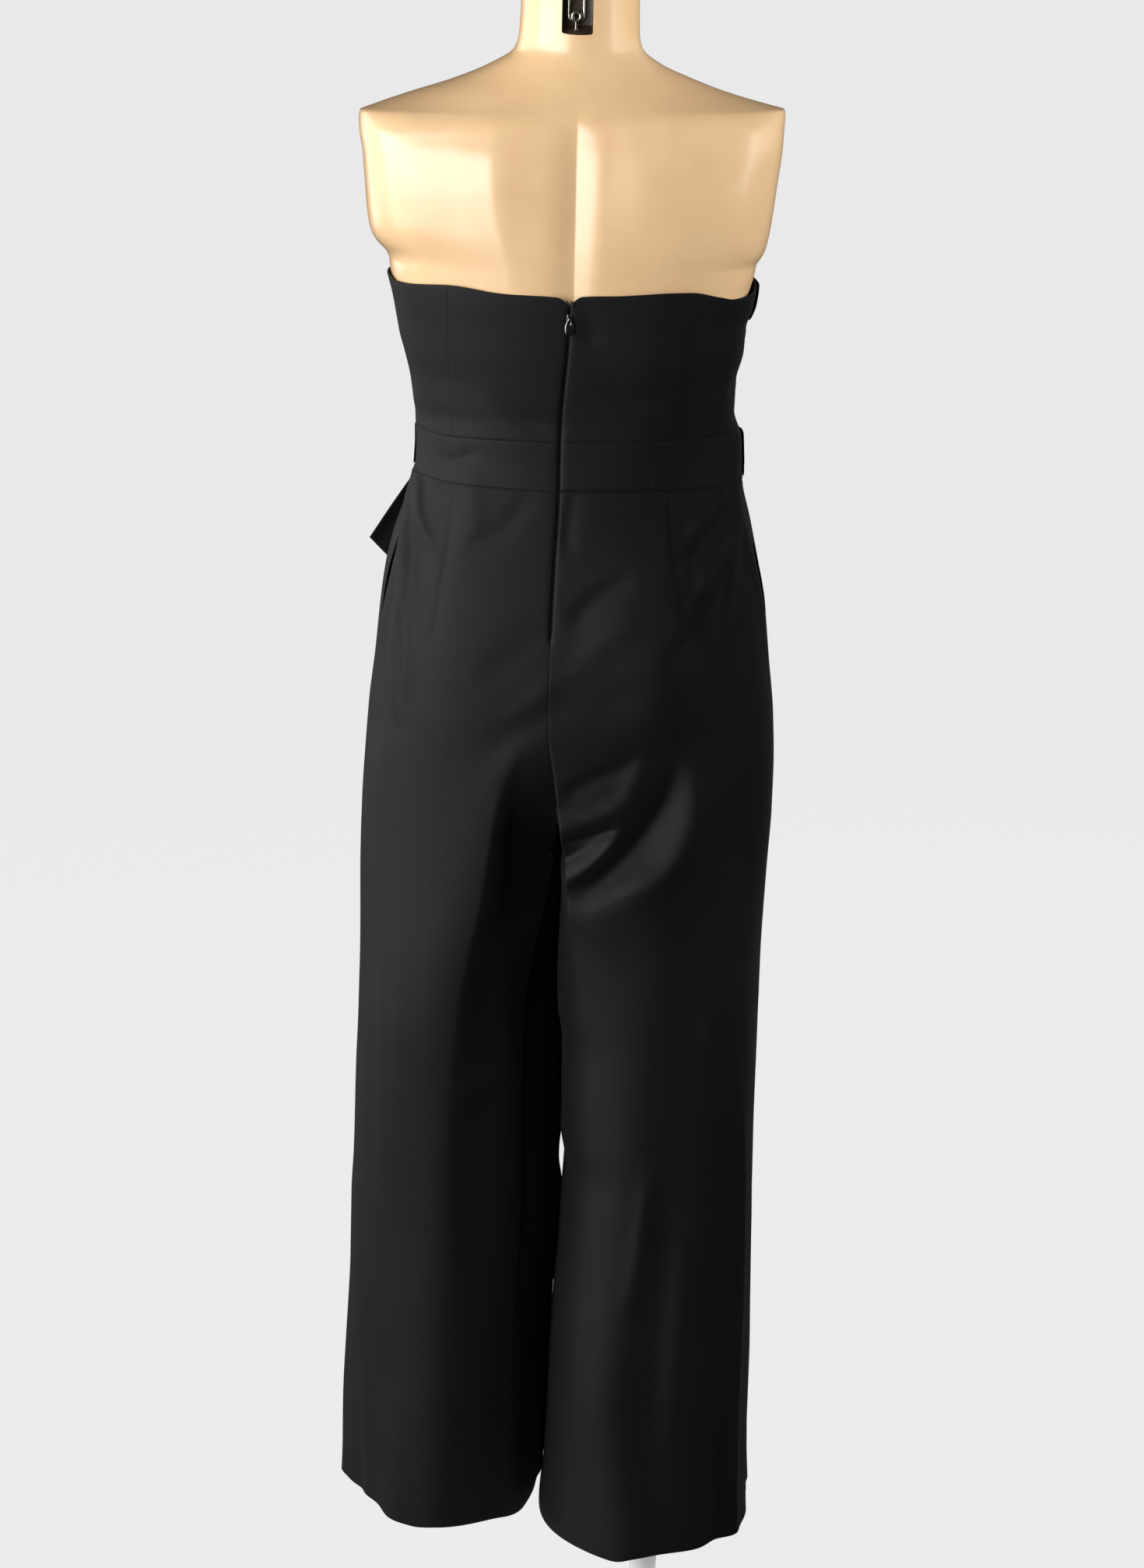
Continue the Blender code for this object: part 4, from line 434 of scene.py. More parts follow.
# The tail that hangs down the front: middle line, half width and how far it stands off the body.
FRONT_TAIL = [
    {"x": 72, "z": 1180, "half_width": 10, "out": 4.7},
    {"x": 73, "z": 1166, "half_width": 13, "out": 4.7},
    {"x": 74, "z": 1150, "half_width": 17, "out": 4.9},
    {"x": 75, "z": 1120, "half_width": 22, "out": 5.6},
    {"x": 77, "z": 1085, "half_width": 25, "out": 6.2},
    {"x": 79, "z": 1050, "half_width": 26, "out": 6.6},
    {"x": 80, "z": 1015, "half_width": 26, "out": 6.8},
]
SASH_GAP = 0.5 * MM             # between the sash and the waistband under it
DRAPE_CLEAR = 2.0 * MM          # the turned-over edge clears the highest drape fold by this
FRONT_TAIL_SLANT = 0.35         # the cut end rises by this share towards its outer edge
# The sash stands off the waistband, most at the right side.
SASH_STAND = Table("turn out", [
    (90, 0.0), (110, 0.4), (141, 1.0), (180, 1.6), (220, 3.4), (245, 2.4), (262, 0.6), (270, 0.2),
], plain=("turn",))
# The turned-over front neckline stands off the bodice.
CUFF_STAND = Table("turn out", [(90, 0.1), (120, 0.5), (180, 1.0), (240, 1.4), (270, 0.5)], plain=("turn",))
# The left leg's inner half falls away from the seat: from where, over what width and how deep.
INNER_FALL = Table("height start depth", [
    (300, 102, 0), (400, 100, 4), (480, 99, 9), (580, 97, 16), (680, 91, 26), (740, 82, 36), (790, 71, 46),
    (830, 65, 50), (860, 61, 44), (882, 58, 24), (905, 52, 9), (925, 45, 2.5), (942, 40, 0),
])
FORM_FALL = 20 * MM             # how deep at most the form's underside follows the fall
# The fall drops by first within the share edge of its width and by rest all over it. It fades where the
# cloth turns to the side. On the right leg it is a lip beside the seam that ends above lip_foot.
FALL_SHAPE = {"first": 0.35, "edge": 0.34, "rest": 0.65, "facing": 110 * MM, "lip": 1.2, "lip_foot": 0.812}
# The sheets between the legs bow to the right together, so that no light shows through them. foot is the
# height at which each leg's bow ends.
BOW = {"depth": 4.5 * MM, "at": -10 * MM, "reach": 45 * MM, "inside": 70 * MM, "top": 0.905,
       "foot": {"left": 0.770, "right": 0.562}}
# Lower down the right leg has a narrow hollow as well, where the left one comes up to it.
HOLLOW = {"depth": 3.2 * MM, "bottom": 0.385, "top": 0.520}
# The worn cloth stands out to the sides near the side seams, at the neckline and over the waist.
FLARE = Table("height left right", [
    (1130, 0, 0), (1142, 0.2, 0.1), (1150, 0.4, 0.6), (1160, 0.8, 2.6), (1168, 1.2, 4.2), (1178, 2.0, 6.0),
    (1190, 2.5, 6.8), (1200, 3.0, 7.2), (1207, 3.4, 5.4), (1214, 3.7, 2.6), (1222, 2.8, 0.4), (1234, 0.7, 0),
    (1252, 0.2, 0), (1270, 0.6, 0.4), (1289, 2.0, 0.4), (1299, 2.0, 0.8), (1306, 1.8, 2.6), (1313, 1.5, 3.8),
    (1322, 1.4, 3.8), (1330, 1.8, 3.4), (1338, 2.4, 2.4), (1346, 3.2, 1.2),
])


# ------------------------------------------------------------------ surfaces
def ease(value, start=0.0, over=1.0):
    """A smooth step from 0 at start to 1 at start + over. over may be negative."""
    share = np.clip((value - start) / over, 0, 1)
    return share * share * (3 - 2 * share)


def hill(value, middle, width):
    """A bell of height 1 round the middle."""
    return np.exp(-((value - middle) / width) ** 2)


def bump(points, feature, sign):
    """A smooth mound at the same place on both sides of the middle, towards +Y or -Y."""
    away = (np.abs(points[..., 0]) - feature["across"]) ** 2 + (points[..., 2] - feature["height"]) ** 2
    facing = ease(sign * points[..., 1], 0, 40 * MM)
    started = ease(points[..., 2], feature["from"], feature["rise"])
    return feature["fullness"] * np.exp(-away / feature["reach"] ** 2) * facing * started


def ring_points(rings, turn, height, inset=0.0):
    """Points of a ring table's surface at turns in radians and heights in metres."""
    turn, height = np.broadcast_arrays(np.asarray(turn, float), np.asarray(height, float))
    sine, cosine = np.sin(turn), np.cos(turn)
    across = np.where(sine >= 0, rings.read("left", height), rings.read("right", height)) - inset
    deep = np.where(cosine >= 0, rings.read("back", height), rings.read("front", height)) - inset
    power = rings.read("power", height)
    radius = ((np.abs(sine) / across) ** power + (np.abs(cosine) / deep) ** power) ** (-1 / power)
    return np.stack([radius * sine, radius * cosine, height], axis=-1)


def body_points(turn, height, inset=0.0):
    """The body surface that the cloth lies on, with its bust."""
    points = ring_points(BODY, turn, height, inset)
    points[..., 1] -= bump(points, BUST, -1)
    return points


def drape(turn, height):
    """How far the draped front bodice stands off the body surface."""
    degrees = np.degrees(turn) % 360
    share = np.clip((degrees - 90) / 180, 0, 1)
    total = np.zeros(np.broadcast(turn, height).shape)
    rows = zip(*(DRAPE_FOLDS.columns[name] for name in ("right", "middle", "left", "depth", "width")))
    for right, middle, left, depth, width in rows:
        line = left * (1 - share) + right * share + (middle - (left + right) / 2) * 4 * share * (1 - share)
        total = total + depth * hill(height, line, width)
    return total * ease(np.minimum(share, 1 - share), 0, 0.04)


def draped_points(turn, height):
    points = body_points(turn, height)
    outward = surface_normals(body_points, turn, height)
    return points + outward * drape(turn, height)[..., None]


def surface_normals(surface, turn, height):
    """Outward unit normals of a surface read by turn and height."""
    turn_step, height_step = 0.01, 1.0 * MM
    along = surface(turn + turn_step, height) - surface(turn - turn_step, height)
    upward = surface(turn, height + height_step) - surface(turn, height - height_step)
    return unit(np.cross(upward, along))


def unit(vectors):
    return vectors / np.linalg.norm(vectors, axis=-1, keepdims=True)


def front_place(x, z, out):
    """The point that stands off the body's front by a distance, square to it, at x and z."""
    side = float(BODY.read("left", z)) if x > 0 else float(BODY.read("right", z))
    front, power = float(BODY.read("front", z)), float(BODY.read("power", z))
    y = front * (1 - (abs(x) / side) ** power) ** (1 / power)
    x_slope = math.copysign((abs(x) / side) ** (power - 1) / side, x)
    y_slope = -(y / front) ** (power - 1) / front
    x_out, y_out = np.array([x_slope, y_slope]) / math.hypot(x_slope, y_slope) * out
    return x + x_out, y_out - y, z


# ------------------------------------------------------------------ materials
def node_tree(name):
    material = bpy.data.materials.new(name)
    material.use_nodes = True
    tree = material.node_tree
    return material, tree, tree.nodes["Principled BSDF"]


def add_node(tree, kind, **inputs):
    node = tree.nodes.new(kind)
    for key, value in inputs.items():
        node.inputs[key.replace("_", " ")].default_value = value
    return node


def noise(tree, scale, detail=3.0, roughness=0.55, stretch=None):
    """A noise texture in object space, in features per metre, with an optional stretch by axis."""
    place = tree.nodes.new("ShaderNodeTexCoord")
    texture = add_node(tree, "ShaderNodeTexNoise", Scale=scale, Detail=detail, Roughness=roughness)
    source = place.outputs["Object"]
    if stretch:
        mapping = add_node(tree, "ShaderNodeMapping", Scale=stretch)
        tree.links.new(source, mapping.inputs["Vector"])
        source = mapping.outputs["Vector"]
    tree.links.new(source, texture.inputs["Vector"])
    return texture


def ramp(tree, source, low, high, start, end):
    """Map a noise's values between low and high onto a range of numbers."""
    node = add_node(tree, "ShaderNodeMapRange", From_Min=low, From_Max=high, To_Min=start, To_Max=end)
    tree.links.new(source, node.inputs["Value"])
    return node.outputs["Result"]


def tint(tree, source, dark, light, low=0.3, high=0.7):
    """Colours between dark and light, by a noise."""
    node = tree.nodes.new("ShaderNodeValToRGB")
    node.color_ramp.elements[0].position, node.color_ramp.elements[1].position = low, high
    node.color_ramp.elements[0].color, node.color_ramp.elements[1].color = (*dark, 1), (*light, 1)
    tree.links.new(source, node.inputs["Fac"])
    return node.outputs["Color"]


def make_finish(name, noises, colours, colour_by, gloss, gloss_by, bumps, sockets):
    """A material from its noises: one tints its colour, one varies its gloss, and some give its relief.

    gloss is the roughness, and how far it goes below and above that. bumps are (noise, strength, distance)
    layers, and sockets are the numbers and colours that are the same all over.
    """
    material, tree, shader = node_tree(name)
    made = {key: noise(tree, *settings).outputs["Fac"] for key, settings in noises.items()}
    tree.links.new(tint(tree, made[colour_by], *colours), shader.inputs["Base Color"])
    roughness, below, above = gloss
    tree.links.new(ramp(tree, made[gloss_by], 0.3, 0.7, roughness - below, roughness + above),
                   shader.inputs["Roughness"])
    for socket, value in sockets.items():
        shader.inputs[socket].default_value = value
    normal = None
    for source, strength, distance in bumps:
        node = add_node(tree, "ShaderNodeBump", Strength=strength, Distance=distance)
        tree.links.new(made[source], node.inputs["Height"])
        if normal is not None:
            tree.links.new(normal, node.inputs["Normal"])
        normal = node.outputs["Normal"]
    tree.links.new(normal, shader.inputs["Normal"])
    return material


def make_crepe(name, dark, light, roughness, sheen):
    """Matte crepe: a pebbled weave of crimped yarns over a faint unevenness of the cloth."""
    noises = {"broad": (9.0, 2.0), "pebble": (1500.0, 2.0, 0.6, (1.0, 1.0, 0.45)),
              "yarn": (2600.0, 1.0, 0.5, (1.6, 1.6, 0.25))}
    return make_finish(name, noises, (dark, light), "broad", (roughness, 0.06, 0.06), "pebble",
                       [("pebble", 0.22, 0.00025), ("yarn", 0.16, 0.00016)],
                       {"Specular IOR Level": CREPE_SPECULAR, "Sheen Weight": sheen, "Sheen Roughness": 0.45,
                        "Sheen Tint": (0.95, 0.88, 0.88, 1)})


def make_plastic(name, dark, light, roughness, coat):
    """Moulded gloss plastic with a faint mottle and the ripple of its mould."""
    noises = {"mottle": (26.0, 3.0), "ripple": (55.0, 2.0), "grain": (900.0, 2.0)}
    return make_finish(name, noises, (dark, light), "mottle", (roughness, 0.03, 0.05), "grain",
                       [("ripple", 0.10, 0.0008), ("grain", 0.05, 0.0001)],
                       {"Coat Weight": coat, "Coat Roughness": 0.22})


def make_metal(name, dark, light, roughness, metallic, scale=300.0):
    """Plated metal with fine wear in its gloss."""
    noises = {"wear": (scale, 4.0), "brush": (2500.0, 2.0, 0.5, (1.0, 1.0, 0.15))}
    return make_finish(name, noises, (dark, light), "wear", (roughness, 0.05, 0.08), "wear",
                       [("brush", 0.08, 0.00005)], {"Metallic": metallic})


def make_paint(name, dark, light, roughness):
    """Powder coat with its orange peel and faint scuffs."""
    noises = {"scuff": (40.0, 5.0), "peel": (420.0, 2.0)}
    return make_finish(name, noises, (dark, light), "scuff", (roughness, 0.05, 0.08), "scuff",
                       [("peel", 0.15, 0.0003)], {})


CREPE_SPECULAR = 0.26
materials = {
    "crepe": make_crepe("crepe_face", (0.0030, 0.0027, 0.0027), (0.0044, 0.0039, 0.0039), 0.64, 0.04),
    "sash": make_crepe("crepe_sash", (0.0030, 0.0027, 0.0027), (0.0042, 0.0038, 0.0037), 0.66, 0.04),
    "lining": make_crepe("lining_cloth", (0.006, 0.006, 0.006), (0.009, 0.009, 0.009), 0.42, 0.05),
    "form": make_plastic("form_gloss", (0.90, 0.590, 0.315), (0.95, 0.645, 0.350), 0.34, 1.0),
    # Painted shade: a dark plastic, far darker than the form, for the neck slot's cut walls.
    "slot_shade": make_plastic("painted_slot_shade", (0.030, 0.018, 0.010), (0.060, 0.038, 0.022), 0.45, 0.2),
    "zip": make_metal("dark_chrome", (0.22, 0.22, 0.23), (0.32, 0.315, 0.31), 0.15, 1.0),
    "enamel": make_metal("black_enamel", (0.006, 0.006, 0.007), (0.012, 0.011, 0.011), 0.34, 0.2),
    # Black tape and coil, darker than the cloth: partly their own black, partly painted shade in the zip's
    # gap.
    "tape": make_crepe("zip_tape", (0.0008, 0.0008, 0.0008), (0.0014, 0.0014, 0.0014), 0.85, 0.0),
    "bright": make_metal("bright_brass", (0.66, 0.60, 0.50), (0.78, 0.72, 0.62), 0.24, 1.0, 500.0),
    "paint": make_paint("stand_powder_coat", (0.78, 0.78, 0.77), (0.84, 0.84, 0.83), 0.38),
}


# ------------------------------------------------------------------ shells
CLOTH = 0.9 * MM                # thickness of a shell of cloth


def spaced(length, step, *dense):
    """Shares from 0 to 1 along a length, step apart, finer near each (place, reach, fine) in dense."""
    along = np.linspace(0, length, 4001)
    gap = np.full_like(along, step)
    for place, reach, fine in dense:
        gap = np.minimum(gap, fine + 0.28 * np.maximum(0, np.abs(along - place) - reach))
    total = np.concatenate([[0], np.cumsum((along[1] - along[0]) / gap[1:])])
    count = max(2, int(math.ceil(total[-1])))
    return np.interp(np.linspace(0, total[-1], count + 1), total, along) / length


def run_lengths(points, axis):
    """How far each point of a grid is from its first and last neighbour along an axis."""
    steps = np.linalg.norm(np.diff(points, axis=axis), axis=-1)
    zero = np.zeros_like(np.take(steps, [0], axis=axis))
    first = np.concatenate([zero, np.cumsum(steps, axis=axis)], axis=axis)
    return first, np.take(first, [-1], axis=axis) - first


def grid_normals(points, like):
    """Unit normals of a grid of points, on the side of the rough normals given."""
    normals = np.cross(np.gradient(points, axis=0), np.gradient(points, axis=1))
    normals = unit(normals + 1e-15)
    return normals * np.sign((normals * like).sum(-1, keepdims=True) + 1e-12)


def grid_cells(shape):
    """The number of each point of a grid, and the four corners of each of its cells."""
    index = np.arange(shape[0] * shape[1]).reshape(shape)
    return index, np.stack([index[:-1, :-1], index[:-1, 1:], index[1:, 1:], index[1:, :-1]], axis=-1)


def new_object(name, mesh, material):
    mesh.materials.append(materials[material])
    item = bpy.data.objects.new(name, mesh)
    bpy.context.scene.collection.objects.link(item)
    mesh.shade_smooth()
    return item


def mesh_from(name, vertices, faces):
    """A mesh from arrays of vertices and faces, without the vertices that no face uses."""
    used = np.unique(np.concatenate([np.ravel(group) for group in faces]))
    slot = np.full(len(vertices), -1)
    slot[used] = np.arange(len(used))
    mesh = bpy.data.meshes.new(name)
    groups = [slot[group].tolist() for group in faces if len(group)]
    mesh.from_pydata(vertices[used].tolist(), [], [face for group in groups for face in group])
    mesh.validate()
    return mesh


def shell(name, outer, outward, flip, present=None, thickness=CLOTH, material="crepe"):
    """A closed thin shell on a grid of outer points, with a rounded rim."""
    quads = grid_cells(outer.shape[:2])[1]
    if present is None:
        quads = quads.reshape(-1, 4)
    else:
        whole = present[:-1, :-1] & present[:-1, 1:] & present[1:, 1:] & present[1:, :-1]
        quads = quads[whole]
    if flip:
        quads = quads[:, ::-1]
    points, normals = outer.reshape(-1, 3), outward.reshape(-1, 3)
    count = len(points)
    inner = points - normals * thickness
    edges = np.concatenate([quads[:, [k, (k + 1) % 4]] for k in range(4)])
    forward, backward = edges[:, 0] * count + edges[:, 1], edges[:, 1] * count + edges[:, 0]
    border = edges[~np.isin(backward, forward)]
    away = np.cross(unit(points[border[:, 1]] - points[border[:, 0]] + 1e-12), normals[border[:, 0]])
    spread = np.zeros_like(points)
    np.add.at(spread, border[:, 0], away)
    np.add.at(spread, border[:, 1], away)
    rim = np.unique(border)
    middle = (points[rim] + inner[rim]) / 2 + unit(spread[rim] + 1e-12) * thickness * 0.5
    slot = np.full(count, -1)
    slot[rim] = 2 * count + np.arange(len(rim))
    start, end = border.T
    faces = [quads, quads[:, ::-1] + count,
             np.stack([end, start, slot[start], slot[end]], axis=-1),
             np.stack([slot[end], slot[start], start + count, end + count], axis=-1)]
    mesh = mesh_from(name, np.concatenate([points, inner, middle]), faces)
    return new_object(name, mesh, material)


def dress(item, node, body=SUIT):
    """This piece stands for a solid of the frame, if one is named."""
    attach(item, body)
    if node:
        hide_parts(node)
    return item


# ------------------------------------------------------------------ folds
def smooth_line(rows, steps=6):
    """A curve through rows of numbers, several points to each span."""
    rows = np.array(rows, float)
    padded = np.concatenate([[2 * rows[0] - rows[1]], rows, [2 * rows[-1] - rows[-2]]])
    result = []
    for k in range(1, len(padded) - 2):
        before, start, end, after = padded[k - 1:k + 3]
        for t in np.arange(steps) / steps:
            result.append(0.5 * (2 * start + (end - before) * t
                                 + (2 * before - 5 * start + 4 * end - after) * t ** 2
                                 + (3 * start - before - 3 * end + after) * t ** 3))
    return np.array(result + [rows[-1]])


def fold_height(flat, line, widths):
    """The height of one fold at points of a flat view. line has rows of two places and a height."""
    line = smooth_line(line) * MM
    left, right = widths[0] * MM, widths[1] * MM
    reach = 2.6 * max(left, right)
    near = ((flat > line[:, :2].min(0) - reach) & (flat < line[:, :2].max(0) + reach)).all(-1)
    points = flat[near]
    nearest = np.full(len(points), np.inf)
    value = np.zeros(len(points))
    for start, end in zip(line, line[1:]):
        along = end[:2] - start[:2]
        offset = points - start[:2]
        share = np.clip(offset @ along / (along @ along), 0, 1)
        gap = offset - share[:, None] * along
        side = along[0] * gap[:, 1] - along[1] * gap[:, 0]
        away = np.linalg.norm(gap, axis=-1) / np.where(side > 0, left, right)
        closer = away < nearest
        nearest = np.where(closer, away, nearest)
        value = np.where(closer, (start[2] + (end[2] - start[2]) * share) * np.exp(-away ** 2), value)
    total = np.zeros(flat.shape[:-1])
    total[near] = value
    return total


# Each view of the folds: the axes it is drawn on, the axis it looks along and from which end.
VIEWS = {"back": ((0, 2), 1, 1), "front": ((0, 2), 1, -1), "left": ((1, 2), 0, 1), "right": ((1, 2), 0, -1)}
# How far the cloth has to face a view for its folds to begin, and to show in full, by the axis looked along.
FACING = {1: (-0.12, 0.22), 0: (0.35, 0.75)}
SIDE_FROM = 0.08                # the side views' folds lie further out than this
WIDE_FOLD, WIDE_GAIN, NARROW_GAIN = 18, 1.25, 1.6   # folds stand up more than their tables say


def relief(points, outward):
    """How far all folds stand up at each point, each seen square on to its own side."""
    total = np.zeros(points.shape[:-1])
    for view, folds in FOLDS.items():
        axes, across, sign = VIEWS[view]
        facing = sign * outward[..., across]
        low, high = FACING[across]
        weight = ease(facing, low, high - low)
        if across == 0:
            weight = weight * (sign * points[..., 0] > SIDE_FROM)
        flat = points[..., list(axes)]
        if not (weight > 0).any():
            continue
        for line, widths in folds:
            gain = WIDE_GAIN if max(widths) > WIDE_FOLD else NARROW_GAIN
            total += fold_height(flat, line, widths) * weight * gain
    return total


# ------------------------------------------------------------------ bodice and waistband
def band_grid(low_line, high_line, start, end, down, across):
    """Turns and heights of a panel between two edge lines and two side lines, at shares of each."""
    across, down = np.meshgrid(across, down)
    height = np.full(across.shape, 1.25)
    for _ in range(4):
        degrees = start(height) + (end(height) - start(height)) * across
        top, bottom = high_line.read("height", degrees), low_line.read("height", degrees)
        height = top + (bottom - top) * down
    return np.radians(degrees), height


def centre_back_turn(height):
    return np.degrees(np.arctan2(CENTRE_BACK.read("shift", height), BODY.read("back", height)))


def left_side(height):
    return SIDE_SEAM.read("left", height)


def right_side(height):
    return -SIDE_SEAM.read("right", height)


def right_side_from_front(height):
    return 360 + right_side(height)


def left_princess(height):
    return PRINCESS.read("left", height)


def right_princess(height):
    return -PRINCESS.read("right", height)


# A sewn edge sinks by the first number over the second, after it is drawn back by the third.
SEWN = (0.20 * MM, 1.1 * MM, 0.03 * MM)
PRESSED = (0.36 * MM, 1.1 * MM, 0.03 * MM)
DEEP = (0.90 * MM, 1.2 * MM, 0.05 * MM)
ZIPPED = (1.3 * MM, 1.2 * MM, 0.85 * MM)
FOLDED = (0.35 * MM, 1.2 * MM, 0.0)
ZIP_VALLEY = {"depth": 0.6 * MM, "reach": 4.0 * MM, "foot": 1.012}
SEAM_FADE = (4 * MM, 9 * MM)        # a shallow seam fades out over this far beside the zip


def finish_edges(points, outward, edges):
    """Draw the edges of a rectangular grid back and sink them, then take its normals again."""
    points = points.copy()
    ends = {"start": (1, 0), "end": (1, 1), "top": (0, 0), "bottom": (0, 1)}
    distances = {name: run_lengths(points, axis)[last] for name, (axis, last) in ends.items()}
    dip = np.zeros(points.shape[:2])
    from_zip = np.abs(points[..., 0] - CENTRE_BACK.read("shift", points[..., 2]))
    fade = np.where(points[..., 1] > 0, ease(from_zip, SEAM_FADE[0], SEAM_FADE[1]), 1.0)
    for name, (depth, width, _) in edges.items():
        across_zip = fade if ends[name][0] == 0 and depth < DEEP[0] else 1.0
        dip += depth * hill(distances[name], 0, width) * across_zip
    for name, (_, _, gap) in edges.items():
        axis, last = ends[name]
        moved = np.swapaxes(points, 0, 1) if axis == 1 else points
        away = np.swapaxes(distances[name], 0, 1) if axis == 1 else distances[name]
        rim, inside = (-1, -6) if last else (0, 5)
        inward = unit(moved[inside] - moved[rim])
        moved += inward[None] * gap * hill(away, 0, 3 * MM)[..., None]
    points -= outward * dip[..., None]
    return points, grid_normals(points, outward)


def upper_sheet(name, low_line, high_line, start, end, size, edges, surface=body_points, lift=None,
                step=2.6, material="crepe", thickness=CLOTH):
    """A panel above the trousers. size is its rough width and length in millimetres."""
    across = spaced(size[0], step, (0, 0, 0.6), (size[0], 0, 0.6))
    down = spaced(size[1], step, (0, 0, 0.6), (size[1], 0, 0.6))
    turn, height = band_grid(low_line, high_line, start, end, down, across)
    points = surface(turn, height)
    outward = surface_normals(surface, turn, height)
    rise = relief(points, outward)
    if lift is not None:
        rise = rise * 0.5 + lift(turn, down[:, None]) + thickness
    valley = zip_valley(points)
    points = points + outward * (rise - valley)[..., None]
    points[..., 0] += flare(points)
    points, outward = finish_edges(points, outward, edges)
    return shell(name, points, outward, False, thickness=thickness, material=material)


# The flare is full over a strip along the side seam, and fades towards the back and the front.
FLARE_STRIP = {"middle": 4 * MM, "half_width": 8 * MM, "back": 34 * MM, "front": 52 * MM, "fade": 2.2}


def flare(points):
    """How far the cloth stands out to the side near a side seam, as a shift in x."""
    x, y = points[..., 0], points[..., 1]
    reach = np.where(y > 0, FLARE_STRIP["back"], FLARE_STRIP["front"])
    past = np.clip(np.abs(y - FLARE_STRIP["middle"]) - FLARE_STRIP["half_width"], 0, None)
    near = np.exp(-(past / reach) ** 2 * FLARE_STRIP["fade"])
    heights = np.clip(points[..., 2], FLARE.key[0], FLARE.key[-1])
    return near * np.where(x > 0, FLARE.read("left", heights), -FLARE.read("right", heights))


def zip_valley(points):
    """The cloth sinks towards the zip, from the neckline to the zip's end."""
    away = points[..., 0] - CENTRE_BACK.read("shift", points[..., 2])
    fade = ease(points[..., 2], ZIP_VALLEY["foot"], 0.03) * (points[..., 1] > 0)
    return ZIP_VALLEY["depth"] * hill(away, 0, ZIP_VALLEY["reach"]) * fade


def shifted(line, shift):
    """The same edge line, moved up or down."""
    heights = line.columns["height"] / MM + shift
    return Table("turn height", np.column_stack([line.key, heights]), plain=("turn",))


def make_bodice():
    neck = (0.25 * MM, 2.0 * MM, 0.0)
    back = {"top": neck, "bottom": PRESSED}
    parts = [
        ("bodice_back_centre_left", centre_back_turn, left_princess, (118, 125), ZIPPED, SEWN, 0.0138),
        ("bodice_back_side_left", left_princess, left_side, (90, 128), SEWN, SEWN, 0.0112),
        ("bodice_back_centre_right", right_princess, centre_back_turn, (118, 125), SEWN, ZIPPED, 0.0138),
        ("bodice_back_side_right", right_side, right_princess, (100, 125), SEWN, SEWN, 0.0127),
    ]
    for name, start, end, size, first, last, area in parts:
        item = upper_sheet(name + "_cloth", BAND_TOP, NECKLINE, start, end, size,
                           {**back, "start": first, "end": last}, step=2.2)
        dress(item, name)
    item = upper_sheet("bodice_front_cloth", BAND_TOP, NECKLINE, left_side, right_side_from_front, (500, 135),
                       {"top": neck, "bottom": PRESSED, "start": SEWN, "end": SEWN}, surface=draped_points,
                       step=2.4)
    dress(item, "bodice_front")


def make_waistband():
    for name, start, end, size, sides, area in (
            ("waistband_back_left", centre_back_turn, left_side, (165, 41), (ZIPPED, SEWN), 0.0067),
            ("waistband_back_right", right_side, centre_back_turn, (175, 41), (SEWN, ZIPPED), 0.0088),
            ("waistband_front", left_side, right_side_from_front, (420, 40), (SEWN, SEWN), 0.0165)):
        low = DEEP if name == "waistband_back_right" else PRESSED
        item = upper_sheet(name + "_cloth", BAND_BOTTOM, BAND_TOP, start, end, size,
                           {"top": PRESSED, "bottom": low, "start": sides[0], "end": sides[1]}, step=2.2)
        dress(item, name)


def make_neckline_fold():
    """The front edge is turned over to the outside. Its top rolls over the bodice's own edge."""

    def lift(turn, share):
        degrees = np.degrees(turn)
        stand = DRAPE_CLEAR + CUFF_STAND.read("out", degrees) * np.sin(np.pi * np.clip(share, 0, 1)) ** 0.7
        wave = 0.5 * MM * np.sin(np.radians(3.1 * degrees) + 1.1) * np.sin(np.pi * share) * (share > 0.3)
        crease = 0.9 * MM * hill(share - 0.42 - 0.16 * np.sin(np.radians(1.7 * degrees)), 0, 0.07)
        crease += 0.7 * MM * hill(share - 0.74 + 0.10 * np.sin(np.radians(2.3 * degrees)), 0, 0.06)
        ends = ease(degrees, 96, 14) * ease(degrees, 268, -12)
        return (stand + SEAM) * ease(share, 0, 0.12) ** 0.6 + (wave - 0.8 * crease) * ends

    item = upper_sheet("neckline_fold_cloth", shifted(NECKLINE, -36), shifted(NECKLINE, -0.6),
                       lambda z: left_side(z) + 8, lambda z: right_side_from_front(z) - 1.5, (470, 36),
                       {"top": FOLDED, "bottom": (0.5 * MM, 1.5 * MM, 0.0), "end": SEWN, "start": SEWN},
                       surface=body_points, lift=lift, step=2.2)
    dress(item, "neckline_fold")


def pleats(turn, share, lines):
    """Long soft pleats along a band: (share at the left, share at the right, height, width, phase)."""
    along = np.clip((np.degrees(turn) - 90) / 180, 0, 1)
    total = np.zeros(np.broadcast(turn, share).shape)
    for first, last, height, width, phase in lines:
        middle = first + (last - first) * along + 0.03 * np.sin(9 * along + phase)
        depth = height * MM * (0.75 + 0.25 * np.sin(13 * along + 2 * phase))
        total = total + depth * hill(share, middle, width)
    return total


SASH_PLEATS = [(0.14, 0.16, 0.9, 0.07, 0.3), (0.30, 0.36, -1.1, 0.05, 1.9), (0.45, 0.47, 1.2, 0.08, 3.1),
               (0.62, 0.60, -1.2, 0.05, 4.2), (0.74, 0.78, 1.0, 0.07, 5.5), (0.88, 0.90, -0.7, 0.04, 0.9)]


